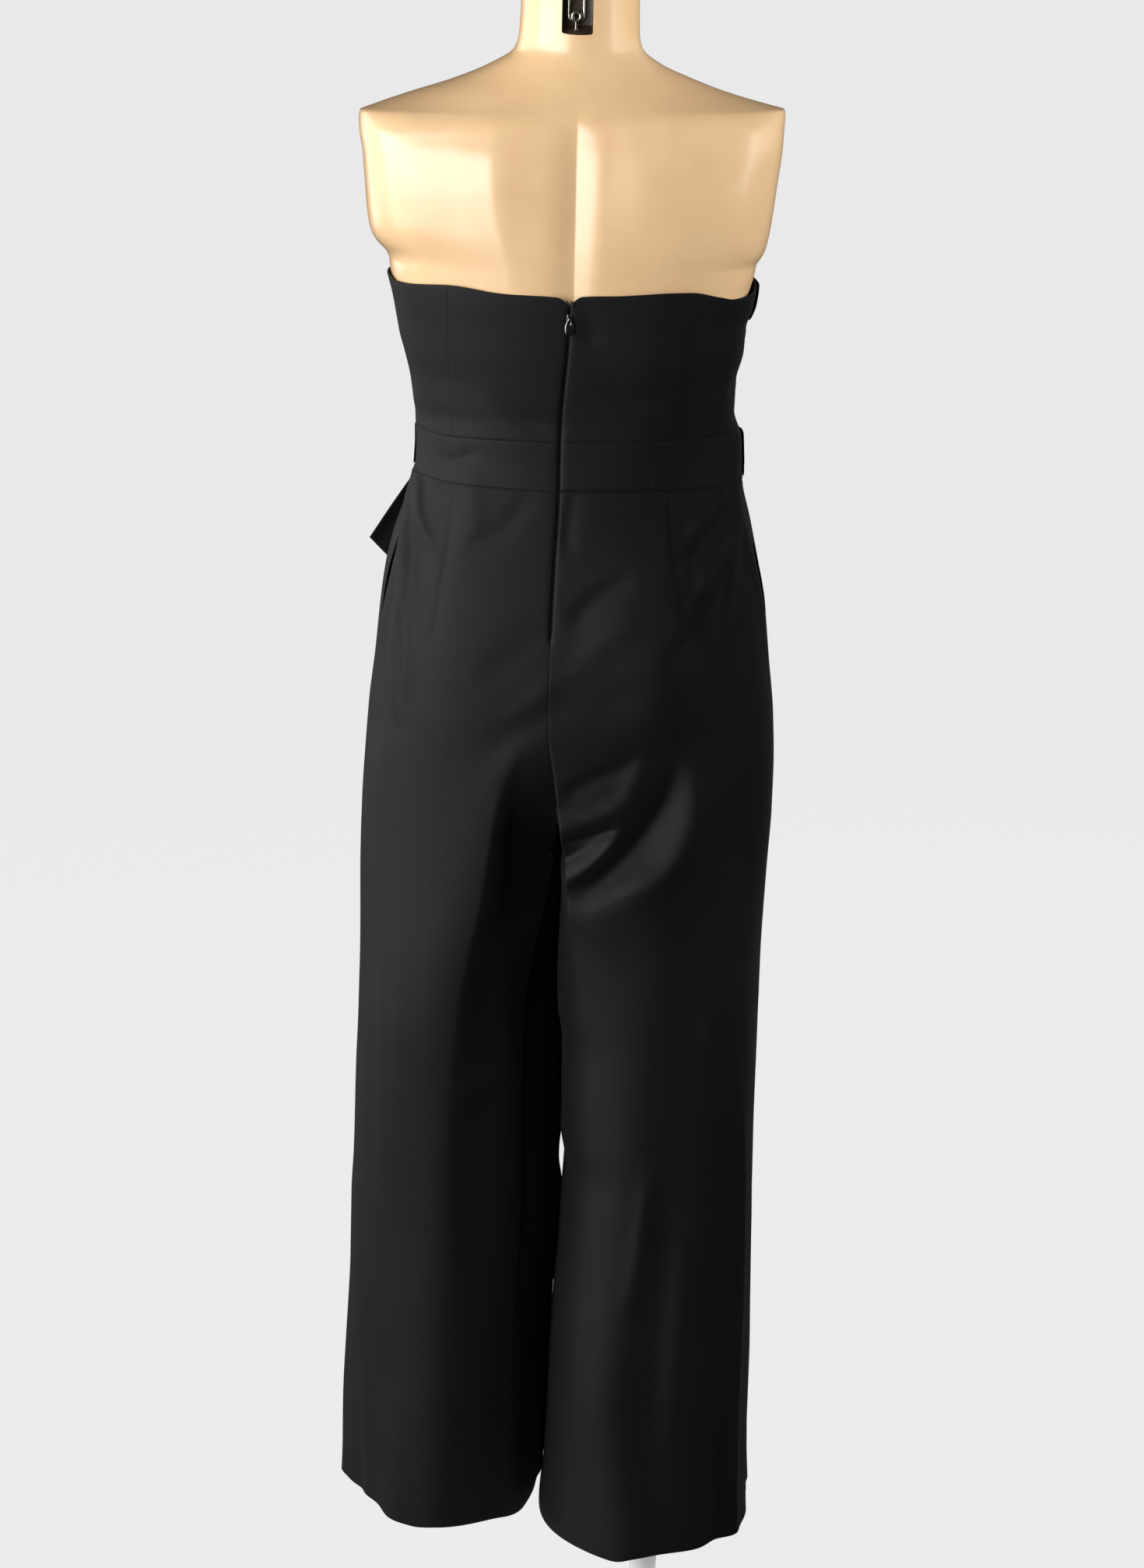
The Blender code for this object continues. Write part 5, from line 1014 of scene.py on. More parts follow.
def make_sash():
    """The sash lies pleated on the front waistband, in two lengths that run under the knot."""

    def lift(turn, share):
        degrees = np.degrees(turn)
        crown = np.sin(np.pi * (0.06 + 0.88 * share)) ** 0.5
        near = hill(degrees, math.degrees(KNOT["turn"]), 22)
        pleated = pleats(turn, share, SASH_PLEATS) * (0.6 + 0.6 * near)
        return (SASH_GAP + SASH_STAND.read("out", degrees) * crown + 0.9 * MM
                + pleated * ease(degrees, 94, 20) * ease(degrees, 268, -24))

    knot = math.degrees(KNOT["turn"])
    low, high = shifted(BAND_BOTTOM, 1.5), shifted(BAND_TOP, -1.5)
    pieces = []
    for name, start, end, width, area in (
            ("sash_left", lambda z: left_side(z) + 8, lambda z: knot + 0 * z, 130, 0.0052),
            ("sash_right", lambda z: knot + 0 * z, lambda z: right_side_from_front(z) - 2, 320, 0.0135)):
        item = upper_sheet(name + "_cloth", low, high, start, end, (width, 38),
                           {"top": FOLDED, "bottom": FOLDED}, lift=lift, step=1.8, material="sash")
        dress(item, name)
        pieces.append((item, width, area))
    return pieces


def make_knot():
    """The knot: a band of cloth wrapped once round the place where lengths and tails meet."""
    count = 56
    across, down = np.meshgrid(np.linspace(-1, 1, count + 1), np.linspace(-1, 1, count + 1))
    rounding = 1 - 0.16 * across ** 2 * down ** 2
    turn = KNOT["turn"] + KNOT["half_turn"] * across * rounding
    height = KNOT["height"] - KNOT["half_height"] * down * rounding
    pillow = (np.clip(1 - across ** 4, 0, 1) * np.clip(1 - down ** 4, 0, 1)) ** 0.5
    creases = np.zeros_like(across)
    for middle, lean, depth, width in ((-0.62, 0.10, 1.6, 0.10), (-0.30, -0.16, 2.0, 0.09),
                                       (0.04, 0.12, 1.5, 0.08), (0.36, -0.08, 2.1, 0.10),
                                       (0.68, 0.14, 1.3, 0.08)):
        line = middle * (1 - 0.25 * (1 - down ** 2)) + lean * down + 0.04 * np.sin(5 * down + 7 * middle)
        creases -= depth * MM * hill(across, line, width)
    dome = KNOT["dome"] * pillow + 2 * MM + creases * pillow
    points = body_points(turn, height)
    outward = surface_normals(body_points, turn, height)
    inner = points + outward * KNOT["lift"]
    outer = inner + outward * dome[..., None]
    index, quads = grid_cells(outer.shape[:2])
    quads, total = quads.reshape(-1, 4), index.size
    ring = np.concatenate([index[0, :-1], index[:-1, -1], index[-1, :0:-1], index[:0:-1, 0]])
    following = np.roll(ring, -1)
    sides = np.stack([following, ring, ring + total, following + total], axis=-1)
    mesh = mesh_from("sash_knot_cloth", np.concatenate([outer.reshape(-1, 3), inner.reshape(-1, 3)]),
                     [quads, quads[:, ::-1] + total, sides])
    item = new_object("sash_knot_cloth", mesh, "sash")
    return dress(item, "sash_knot")


def strip(name, points, waves, grow):
    """A strip of cloth on a grid of points, with soft waves across it that grow along it."""
    outward = grid_normals(points, np.broadcast_to(np.array([0.0, -1.0, 0.0]), points.shape))
    along = np.linspace(0, 1, points.shape[0])[:, None]
    across = np.linspace(0, 1, points.shape[1])[None, :]
    lift = np.zeros(points.shape[:2])
    for height, turns, phase, drift in waves:
        lift = lift + height * MM * np.sin(2 * math.pi * (turns * across + drift * along) + phase)
    points = points + outward * (lift * grow(along))[..., None]
    outward = grid_normals(points, outward)
    first = np.cross(points[0, 1] - points[0, 0], points[1, 0] - points[0, 0])
    return shell(name, points, outward, float(first @ outward[0, 0]) > 0, thickness=0.8 * MM, material="sash")


def make_tails():
    edges = []
    for name in ("upper", "lower"):
        root = [front_place(*(value * MM for value in row[name])) for row in SIDE_TAIL_ROOT]
        free = [tuple(value * MM for value in row[name]) for row in SIDE_TAIL_FREE]
        edges.append(smooth_line(root + free, 10))
    across = spaced(60, 2.2, (0, 0, 0.8), (60, 0, 0.8))[None, :, None]
    points = edges[0][:, None] + (edges[1] - edges[0])[:, None] * across
    side = strip("sash_tail_side_cloth", points, [(1.5, 1.2, 0.4, 0.15), (0.6, 2.7, 2.0, 0.3)],
                 lambda along: ease(along, 0, 0.35) * (1 - 0.35 * ease(along, 0.8, 0.2)))
    dress(side, "sash_tail_side")
    rows = smooth_line([[row["x"], row["z"], row["half_width"], row["out"]] for row in FRONT_TAIL], 12)
    grid = []
    for index, (x, z, half_width, out) in enumerate(rows):
        slant = FRONT_TAIL_SLANT * index / (len(rows) - 1)
        offsets = (1 - 2 * across[0, :, 0]) * half_width
        grid.append([front_place((x + offset) * MM, (z + slant * offset) * MM, out * MM)
                     for offset in offsets])
    front = strip("sash_tail_front_cloth", np.array(grid), [(1.3, 1.1, 1.2, 0.1), (0.5, 2.4, 0.3, -0.2)],
                  lambda along: ease(along, 0, 0.2) * (1.1 - 0.5 * along))
    dress(front, "sash_tail_front")
    return side, front


# ------------------------------------------------------------------ trousers
DARTS = {
    "left": [(99, 1163, -0.2), (104, 1111, -0.75), (110, 1073, -0.8), (114, 1037, -0.7), (116, 1020, 0)],
    "right": [(-84, 1163, -1.3), (-86, 1129, -2.1), (-90, 1083, -2.3), (-96, 1036, -1.8), (-97, 1024, 0)],
}
HEM_STITCH = 30 * MM            # how far above its edge the hem is caught down
STITCH_DIP = 0.22 * MM          # how deep its stitches pull the cloth
# At a pocket slit's widest the front edge stands up by rise, and the back edge sinks by a share of that.
SLIT = {"gape": 3.2 * MM, "rise": 1.6 * MM, "sink": -0.4}
ZIP_END = {"sewn": 1.018, "pressed": 1.026}     # the zip's lips open, and its edges sink, above these


def leg_points(table, side, across, face, height):
    """The round tube of one leg. across is -1 at the inseam, 0 at the centre seam, 1 at the side."""
    inner, outer = table.read("inner", height), table.read("outer", height)
    front, back = table.read("front", height), table.read("back", height)
    centre_x, centre_y = (inner + outer) / 2, (back - front) / 2
    reach_x, reach_y = (outer - inner) / 2, (front + back) / 2
    twist = np.radians(table.read("twist", height)) * face
    seam = math.pi - FORK_ANGLE
    angle = np.where(across >= 0, seam + (twist - seam) * across, seam - FORK_ANGLE * across)
    power = table.read("power", height)
    cosine, sine = np.cos(angle), np.sin(angle)
    radius = ((np.abs(cosine) / reach_x) ** power + (np.abs(sine) / reach_y) ** power) ** (-1 / power)
    return np.stack([side * (centre_x + radius * cosine), centre_y + face * radius * sine, height], axis=-1)


def panel_turn(side, face, across, height):
    """The turn round the body of a trouser panel's columns, from its centre seam to its side seam."""
    if face > 0:
        centre = np.arctan2(CENTRE_BACK.read("shift", height), BODY.read("back", height))
    else:
        centre = side * math.pi - FRONT_SHIFT / BODY.read("front", height)
    seam = np.radians(SIDE_SEAM.read("left" if side > 0 else "right", height)) * side
    return centre + (seam - centre) * np.clip(across, 0, 1)


def seat_points(side, across, face, height, below):
    """The body surface for the panels, and the flat sheets under the crotch seam where across < 0."""
    points = ring_points(BODY, panel_turn(side, face, across, height), height)
    reach = BODY.read("back", height) if face > 0 else BODY.read("front", height)
    shift = CENTRE_BACK.read("shift", height) if face > 0 else np.full_like(height, FRONT_SHIFT)
    fork = np.clip(-across, 0, 1)
    sheet = np.stack([shift + (FRONT_SHIFT - shift) * fork, face * reach * (1 - fork), height], axis=-1)
    points = np.where((across < 0)[..., None], sheet, points)
    parting = SEAM / 2 + CROTCH_SPREAD * np.clip(below - PARTING_FROM, 0, None)
    parting = parting * (1 - np.clip(across, 0, 1)) ** 2
    points[..., 0] += side * np.where((below >= 0) & (height < CROTCH_TOP + 1e-6), parting, 0)
    return points


# A panel's rows and columns are spaced along its rough lengths and widths, in millimetres.
TOP_ROW, UPPER_LENGTH, LOWER_LENGTH = 1.162, 282, 690
PANEL_WIDTH, FORK_WIDTH, DART_SHARE = 262, 110, 0.57
upper_rows = TOP_ROW - (TOP_ROW - CROTCH_TOP) * spaced(UPPER_LENGTH, 4.4, (0, 1, 0.8), (UPPER_LENGTH, 4, 2))
lower_rows = CROTCH_TOP - (CROTCH_TOP - HEM) * spaced(LOWER_LENGTH, 6.0, (0, 70, 3.0),
                                                      (LOWER_LENGTH - 31, 3, 1.4), (LOWER_LENGTH, 0, 1.5))
ROW_HEIGHTS = np.concatenate([upper_rows, lower_rows[1:]])
CROTCH_ROW = len(upper_rows) - 1
fork_columns = -spaced(FORK_WIDTH, 4.0, (0, 3, 2.0), (FORK_WIDTH, 0, 0.8))[::-1]
main_columns = spaced(PANEL_WIDTH, 2.8, (0, 1, 0.7), (PANEL_WIDTH * DART_SHARE, 6, 0.9),
                      (PANEL_WIDTH, 2, 0.7))
COLUMNS = np.concatenate([fork_columns[:-1], main_columns])
CENTRE_COLUMN = len(fork_columns) - 1
LIP_COLUMNS = 12                # the columns beside the centre seam that its gap draws back


def trouser_grid(side, face):
    """Outer points of one trouser panel and which of them are part of it."""
    legs, hem_line = (LEFT_LEG, LEFT_HEM) if side > 0 else (RIGHT_LEG, RIGHT_HEM)
    across, row_height = np.meshgrid(COLUMNS, ROW_HEIGHTS)
    fork = np.clip(-across, 0, 1)
    drop = (CROTCH_TOP - CROTCH_POINT) * (1 - (1 - fork) ** CROTCH_BEND)
    height = row_height - drop * np.clip((row_height - HEM) / (CROTCH_TOP - HEM), 0, 1)
    degrees = np.degrees(panel_turn(side, face, across, row_height))
    degrees = np.where(degrees < -90.5, degrees + 360, degrees)
    waist = BAND_BOTTOM.read("height", degrees) - TOP_ROW
    height = height + waist * ease(row_height, WAIST_FROM, TOP_ROW - WAIST_FROM)
    out = side * leg_points(legs, side, across, face, np.full_like(height, HEM))[..., 0]
    hem = hem_line.read("height", out) - HEM
    height = height + hem * ease(1 - (row_height - HEM) / HEM_REACH)
    below = np.where(row_height < CROTCH_TOP + 1e-6, CROTCH_TOP - drop - height, -1.0)
    below = np.where(np.abs(below) < 1e-6, 0.0, below)
    seat = seat_points(side, across, face, height, below)
    tube = leg_points(legs, side, across, face, height)
    formed = ease(height, CROTCH_TOP, LEG_FORMED - CROTCH_TOP)[..., None]
    present = (across >= 0) | (row_height < CROTCH_TOP + 1e-6)
    return seat * (1 - formed) + tube * formed, present


def face_normals(points, present, flip):
    """Area-weighted normals summed at each point of a grid, not yet scaled."""
    normals = np.zeros_like(points)
    faces = np.cross(points[1:, 1:] - points[:-1, :-1], points[1:, :-1] - points[:-1, 1:])
    if flip:
        faces = -faces
    whole = present[1:, 1:] & present[:-1, :-1] & present[1:, :-1] & present[:-1, 1:]
    faces = faces * whole[..., None]
    normals[1:, 1:] += faces
    normals[:-1, :-1] += faces
    normals[1:, :-1] += faces
    normals[:-1, 1:] += faces
    return normals


def leg_normals(panels, flips):
    """Outward normals of one leg's back and front panels, which share a side seam and an inseam."""
    sums = {face: face_normals(*panels[face], flips[face]) for face in panels}
    for column in (0, -1):
        shared = sums["back"][:, column] + sums["front"][:, column]
        sums["back"][:, column] = shared
        sums["front"][:, column] = shared
    for face in sums:
        sums[face][:CROTCH_ROW, CENTRE_COLUMN, 0] = 0.0
        missing = np.linalg.norm(sums[face], axis=-1) < 1e-14
        sums[face][missing] = (0, 0, 1)
        sums[face] = unit(sums[face])
    return sums


def away_from(points, line):
    """The distance of every point from a line of points."""
    nearest = np.full(points.shape[:-1], np.inf)
    for start, end in zip(line, line[1:]):
        along = end - start
        offset = points - start
        share = np.clip(offset @ along / max(along @ along, 1e-15), 0, 1)
        nearest = np.minimum(nearest, np.linalg.norm(offset - share[..., None] * along, axis=-1))
    return nearest


def inner_fall(points, side_name):
    """How far a back panel sinks beside the crotch seam: half of the left leg, and the right leg's edge."""
    x, y = points[..., 0], points[..., 1]
    heights = np.clip(points[..., 2], INNER_FALL.key[0], INNER_FALL.key[-1])
    depth = INNER_FALL.read("depth", heights) * ease(y, 0, FALL_SHAPE["facing"])
    if side_name == "left":
        start = INNER_FALL.read("start", heights)
        part = np.clip((start - x) / (start - CENTRE_BACK.read("shift", heights)), 0, 1)
        share = FALL_SHAPE["first"] * ease(part, 0, FALL_SHAPE["edge"]) + FALL_SHAPE["rest"] * part
        share[:, :CENTRE_COLUMN + 1] = 1
        return depth * share
    share = hill(COLUMNS * PANEL_WIDTH, 0, FALL_SHAPE["lip"])
    share[:CENTRE_COLUMN] = 1
    return depth * share * ease(points[..., 2], FALL_SHAPE["lip_foot"], 0.030)


def bow(points, side_name):
    """How far the inner sides of the legs bow to the right, high up between them."""
    x, y, height = points[..., 0], points[..., 1], points[..., 2]
    ends = ease(height, BOW["top"], -0.015)
    low = ease(height, BOW["foot"][side_name], 0.025)
    shift = BOW["depth"] * hill(y, BOW["at"], BOW["reach"]) * ends * low
    if side_name == "right":
        room = ease(height, HOLLOW["bottom"], 0.03) * ease(height, HOLLOW["top"], -0.02)
        shift += HOLLOW["depth"] * room * hill(y, TOUCH["at"], TOUCH["reach"])
    return shift * ease(np.abs(x), BOW["inside"], -BOW["inside"])


FLIPS = {"left": {"back": False, "front": True}, "right": {"back": True, "front": False}}
GAP_BETWEEN_LEGS = (0.475, 0.576)   # light shows between the legs from here to here
TOUCH = {"at": -26 * MM, "reach": 17 * MM, "window": 5 * MM, "behind": 2.2 * MM, "clear": 0.15 * MM}
TOUCH_HEIGHTS, TOUCH_ROUNDS = (0.140, 0.850), 7
EYE_POINT = np.array([-0.008, 3.40, 1.70])      # where the camera stands


def shape_leg(side_name):
    """Both panels of one leg with their folds, before they are parted at the seams."""
    side, flips = (1 if side_name == "left" else -1), FLIPS[side_name]
    grids = {face: trouser_grid(side, 1 if face == "back" else -1) for face in flips}
    normals = leg_normals(grids, flips)
    lifted = {}
    for face, (points, present) in grids.items():
        rise = relief(points, normals[face])
        rise[:, :CENTRE_COLUMN] *= (1 + COLUMNS[:CENTRE_COLUMN]) ** 3
        if face == "back":
            rise = rise - zip_valley(points) + fold_height(points[..., [0, 2]], DARTS[side_name], (1.2, 6.0))
        points = points + normals[face] * rise[..., None]
        points[..., 0] += flare(points)
        if face == "back":
            points[..., 1] -= inner_fall(points, side_name)
        points[..., 0] -= bow(points, side_name)
        lifted[face] = (points, present)
    return lifted


def seen_from_behind(points):
    """Points as the camera sees them, on the plane through the middle of the figure."""
    return EYE_POINT + (points - EYE_POINT) * (EYE_POINT[1] / (EYE_POINT[1] - points[..., 1]))[..., None]


def inner_edge(panels, side, heights, only_at=None):
    """How far a leg comes towards the other one at each height, all round or at one depth."""
    points = np.concatenate([points[present] for points, present in panels.values()])
    if only_at is not None:
        points = points[np.abs(points[:, 1] - only_at) < TOUCH["window"]]
    points = seen_from_behind(points)
    reach = []
    for height in heights:
        near = np.abs(points[:, 2] - height) < 4 * MM
        reach.append((side * points[near, 0]).min() * side if near.any() else np.nan)
    reach = np.array(reach)
    known = np.isfinite(reach)
    return np.interp(heights, heights[known], reach[known])


def let_legs_touch(left, right):
    """Swell the front of the left leg's inner side until it passes behind the right leg's edge."""
    heights = np.arange(TOUCH_HEIGHTS[0], TOUCH_HEIGHTS[1], 4 * MM)
    goal = inner_edge(right, -1, heights) - TOUCH["behind"]
    stop = inner_edge(right, -1, heights, TOUCH["at"]) + TOUCH["clear"]
    low, high = GAP_BETWEEN_LEGS
    share = np.clip((heights - low) / (high - low), 0, 1)
    closed = (1 - np.sin(math.pi * share) ** 0.7) * ease(heights, TOUCH_HEIGHTS[1] - 5 * MM, -0.03)
    for _ in range(TOUCH_ROUNDS):
        room = np.maximum(inner_edge(left, 1, heights, TOUCH["at"]) - stop, 0)
        need = np.clip(inner_edge(left, 1, heights) - goal, 0, None) * closed
        step = np.minimum(need, room)
        step = np.convolve(np.pad(step, 2, mode="edge"), np.ones(5) / 5, mode="valid")
        for points, _ in left.values():
            seen = seen_from_behind(points)[..., 2]
            near = ease(points[..., 0], 80 * MM, -60 * MM)
            reach = hill(points[..., 1], TOUCH["at"], TOUCH["reach"])
            points[..., 0] -= np.interp(seen, heights, step) * near * reach


def make_leg(side_name, lifted):
    flips = FLIPS[side_name]
    normals = leg_normals(lifted, flips)
    slit = POCKET_SLIT.read("gape", ROW_HEIGHTS)
    for face, (points, present) in lifted.items():
        centre = points[:CROTCH_ROW + 1:3, CENTRE_COLUMN]
        fork = points[CROTCH_ROW, CENTRE_COLUMN::-3]
        seams = [(points[::6, -1], SEWN), (points[CROTCH_ROW:, 0][::6], SEWN),
                 (np.concatenate([centre, fork]), SEWN)]
        if face == "back":
            seams.append((centre[centre[:, 2] > ZIP_END["pressed"]], ZIPPED))
        top = DEEP if (side_name, face) == ("right", "back") else PRESSED
        dip = top[0] * hill(run_lengths(points, 0)[0], 0, top[1])
        dip[:, :CENTRE_COLUMN] = 0
        for line, (depth, width, _) in seams:
            dip += depth * hill(away_from(points, line), 0, width)
        hem_gap = run_lengths(points, 0)[1] - HEM_STITCH
        dip += STITCH_DIP * hill(hem_gap, 0, 1.2 * MM)
        mouth = slit / SLIT["gape"]
        rise = SLIT["rise"] * mouth[:, None] * hill(run_lengths(points, 1)[1], 0, 5 * MM)
        outer = points + normals[face] * ((rise if face == "front" else SLIT["sink"] * rise) - dip)[..., None]
        gap = SEWN[2] + (slit if face == "back" else 0 * slit)
        inward = unit(points[:, -6] - points[:, -1])
        pull = gap[:, None] * hill(run_lengths(points, 1)[1], 0, 4 * MM)
        outer = outer + inward[:, None] * pull[..., None]
        zipped = ease(ROW_HEIGHTS[:CROTCH_ROW], ZIP_END["sewn"], 0.020) * (face == "back")
        centre_gap = SEWN[2] + (ZIPPED[2] - SEWN[2]) * zipped
        lip = points[:CROTCH_ROW, CENTRE_COLUMN:CENTRE_COLUMN + LIP_COLUMNS]
        away = np.linalg.norm(lip - lip[:, :1], axis=-1)
        pull = centre_gap[:, None] * hill(away, 0, 3 * MM)
        outer[:CROTCH_ROW, CENTRE_COLUMN:CENTRE_COLUMN + LIP_COLUMNS] += unit(
            lip[:, 5] - lip[:, 0])[:, None] * pull[..., None]
        name = f"trouser_{face}_{side_name}"
        item = shell(name + "_cloth", outer, normals[face], flips[face], present)
        dress(item, name)
    make_facing(side_name, lifted, normals, flips)


def make_facing(side_name, panels, normals, flips):
    """The strip of pocket cloth behind the slit, inside both panels and across the side seam."""
    rows = (ROW_HEIGHTS * 1000 >= POCKET_ROWS[0]) & (ROW_HEIGHTS * 1000 <= POCKET_ROWS[1])
    reach = int(np.argmax(run_lengths(panels["back"][0][:1], 1)[1][0] < FACING_REACH))
    count = len(COLUMNS) - reach
    back, front = slice(-count, None, 2), slice(-2, -count, -2)
    points = np.concatenate([panels["back"][0][rows, back], panels["front"][0][rows, front]], axis=1)
    outward = np.concatenate([normals["back"][rows, back], normals["front"][rows, front]], axis=1)
    outer = points - outward * (WALL + FACING_GAP)
    item = shell(f"pocket_facing_{side_name}_cloth", outer, outward, flips["back"], thickness=0.8 * MM,
                 material="lining")
    dress(item, f"pocket_facing_{side_name}")


# ------------------------------------------------------------------ zip
def matrix_of(*columns):
    """A matrix from its three axes and its origin."""
    result = Matrix.Identity(4)
    for column, vector in enumerate(columns):
        for row in range(3):
            result[row][column] = vector[row]
    return result


def zip_frame(height):
    """A place on the centre back seam: x to the left, y up the cloth, z straight out of it."""
    turn = math.radians(float(centre_back_turn(height)))
    place = body_points(turn, height)
    outward = surface_normals(body_points, turn, height)
    outward = unit(np.array([0.0, outward[1], outward[2]]))
    return matrix_of((1, 0, 0), np.cross(outward, (1.0, 0.0, 0.0)), outward, place)


def from_bmesh(name, bm, material):
    mesh = bpy.data.meshes.new(name)
    bmesh.ops.recalc_face_normals(bm, faces=bm.faces)
    bm.to_mesh(mesh)
    bm.free()
    return new_object(name, mesh, material)


def apply_modifiers(item):
    """Replace an object's mesh by what its modifiers make of it."""
    bpy.context.view_layer.update()
    mesh = bpy.data.meshes.new_from_object(item.evaluated_get(bpy.context.evaluated_depsgraph_get()))
    item.modifiers.clear()
    item.data = mesh
    mesh.shade_smooth()
    return item


def combine(item, other, operation):
    """Join the other closed shape to the item, or cut it out, and remove the other."""
    modifier = item.modifiers.new("shape", "BOOLEAN")
    modifier.operation, modifier.solver, modifier.object = operation, "EXACT", other
    modifier.material_mode = "TRANSFER"
    apply_modifiers(item)
    bpy.data.objects.remove(other, do_unlink=True)
    return item


def sharpen(item, degrees=40):
    item.data.set_sharp_from_angle(angle=math.radians(degrees))
    return item


def ring_stack(bm, rings, loop=False):
    """Faces between rings of points, each closed on itself. The last joins the first, or both are capped."""
    rings = [[bm.verts.new(point) for point in ring] for ring in rings]
    for first, second in zip(rings, rings[1:] + rings[:1] * loop):
        for k in range(len(first)):
            following = (k + 1) % len(first)
            bm.faces.new([first[k], first[following], second[following], second[k]])
    if not loop:
        bm.faces.new(rings[0][::-1])
        bm.faces.new(rings[-1])


def soften(item, width, degrees=30):
    """Round the edges that turn by more than an angle."""
    bevel = item.modifiers.new("soften", "BEVEL")
    bevel.width, bevel.segments, bevel.limit_method = width, 3, "ANGLE"
    bevel.angle_limit = math.radians(degrees)
    return apply_modifiers(item)


# The tape lies sunk millimetres behind the cloth's outer face, and bends with a back of about this radius.
TAPE = {"bottom": 1.033, "top": 1.3225, "sunk": 2.35, "radius": 0.1}
COIL = {"bottom": 1.034, "top": 1.3055, "pitch": 1.25 * MM, "wire": 0.36 * MM}


def make_zip_tape():
    """The zip's tape behind the gap, with its coil: a row of small loops meeting in the middle."""
    heights = np.arange(TAPE["bottom"], TAPE["top"], 3 * MM)
    turn = np.radians(centre_back_turn(heights))
    middle = body_points(turn, heights)
    across = np.array([-9.5, -6, -2.4, -1.4, 0, 1.4, 2.4, 6, 9.5]) * MM
    angle = turn[:, None] + across[None, :] / TAPE["radius"]
    points = body_points(angle, np.broadcast_to(heights[:, None], angle.shape))
    outward = surface_normals(body_points, angle, np.broadcast_to(heights[:, None], angle.shape))
    points = points - outward * TAPE["sunk"] * MM
    # The tape and the coil take a black darker than the cloth's, which paints part of the gap's shade.
    tape = shell("zip_tape", points[::-1], outward[::-1], False, thickness=0.5 * MM, material="tape")
    dress(tape, None)
    bm = bmesh.new()
    for index in range(int((COIL["top"] - COIL["bottom"]) / COIL["pitch"])):
        height = COIL["bottom"] + index * COIL["pitch"]
        place = np.array([np.interp(height, heights, middle[:, axis]) for axis in range(3)])
        side = 1 if index % 2 else -1
        place = place + np.array([side * 0.55, -1.85, 0]) * MM
        rings = []
        for k in range(7):
            bend = math.pi * k / 6
            radius = COIL["wire"] * (0.75 + 0.25 * math.sin(bend))
            centre = place + np.array([-side * 0.9 * math.cos(bend), 0.35 * math.sin(bend), 0]) * MM
            rings.append([centre + np.array([0.3 * radius * math.cos(a), radius * math.cos(a),
                                             radius * math.sin(a)])
                          for a in np.arange(6) * math.pi / 3])
        ring_stack(bm, rings)
    dress(from_bmesh("zip_coil", bm, "tape"), None)


def rounded(angle, power):
    """A point on a rounded square of half width 1."""
    across, along = math.sin(angle), math.cos(angle)
    return math.copysign(abs(across) ** power, across), math.copysign(abs(along) ** power, along)


SLIDER_SIDES, ARCH_STEPS, ARCH_SIDES, TAB_SIDES = 40, 20, 12, 64


def make_slider(place):
    """The slider's shield-shaped body and the arch that the tab hangs in."""
    outline = []
    length, middle = SLIDER["up"] + SLIDER["down"], (SLIDER["up"] - SLIDER["down"]) / 2
    for k in range(SLIDER_SIDES):
        across, along = rounded(2 * math.pi * k / SLIDER_SIDES, 0.62)
        waist = 1 - 0.16 * (1 - along) / 2 - 0.10 * math.exp(-((along - 0.25) / 0.35) ** 2)
        outline.append((SLIDER["half_width"] * across * waist, middle + length / 2 * along))
    bm = bmesh.new()
    ring_stack(bm, [[(x, y, z) for x, y in outline] for z in (SLIDER["foot"], SLIDER["top"])])
    body = soften(from_bmesh("zip_slider_metal", bm, "zip"), 0.45 * MM, 50)
    rings = []
    thick = (ARCH["outer"] - ARCH["inner"]) / 2
    radius = (ARCH["outer"] + ARCH["inner"]) / 2
    for k in range(ARCH_STEPS + 1):
        angle = math.pi * k / ARCH_STEPS
        sink = 0.7 * MM if k in (0, ARCH_STEPS) else 0.0
        ring = []
        for j in range(ARCH_SIDES):
            side, out = rounded(2 * math.pi * j / ARCH_SIDES, 0.7)
            reach = radius + out * thick
            ring.append((side * ARCH["half_width"] * (1 + 0.25 * abs(math.cos(angle))),
                         reach * math.cos(angle), SLIDER["top"] - sink + reach * math.sin(angle)))
        rings.append(ring)
    bm = bmesh.new()
    ring_stack(bm, rings)
    arch = from_bmesh("arch_guide", bm, "zip")
    item = combine(body, arch, "UNION")
    item.data.transform(place)
    dress(sharpen(item, 50), "zip_slider")


def make_tab(place):
    """The pull tab: a domed drop-shaped plate with an eye, hung on the arch."""
    profile = [(0.0, 0.0), (0.02, 0.34), (0.07, 0.60), (0.16, 0.82), (0.30, 1.00), (0.45, 1.12),
               (0.62, 1.20), (0.78, 1.20), (0.88, 1.12), (0.95, 0.90), (0.985, 0.5), (1.0, 0.0)]
    outline, hole = [], []
    for k in range(TAB_SIDES):
        angle = -2 * math.pi * (k + 0.5) / TAB_SIDES
        across, along = rounded(angle, 0.72)
        s = (TAB["length"] - TAB["pin"]) / 2 - (TAB["length"] + TAB["pin"]) / 2 * along
        width = TAB["neck"] + (TAB["width"] - TAB["neck"]) * ease(s, 0, 0.5 * TAB["length"])
        outline.append(np.array([width / 2 * across, -s]))
        across, along = rounded(angle, 0.5)
        s = (TAB["pin"] + TAB["hole_end"]) / 2 - (TAB["hole_end"] - TAB["pin"]) / 2 * along
        hole.append(np.array([TAB["hole_width"] / 2 * across, -s]))
    around = profile + [(share, -rise) for share, rise in profile[-2:0:-1]]
    bm = bmesh.new()
    ring_stack(bm, [[(*(rim + (eye - rim) * share), rise * TAB["thick"] / 2)
                     for rim, eye in zip(outline, hole)] for share, rise in around], loop=True)
    item = from_bmesh("zip_pull_tab_metal", bm, "zip")
    hinge = place @ Vector((0, 0, TAB["hinge"]))
    item.data.transform(Matrix.Translation(hinge) @ Matrix.Rotation(math.pi / 2, 4, "X"))
    dress(item, "zip_pull_tab", TAB_BODY)


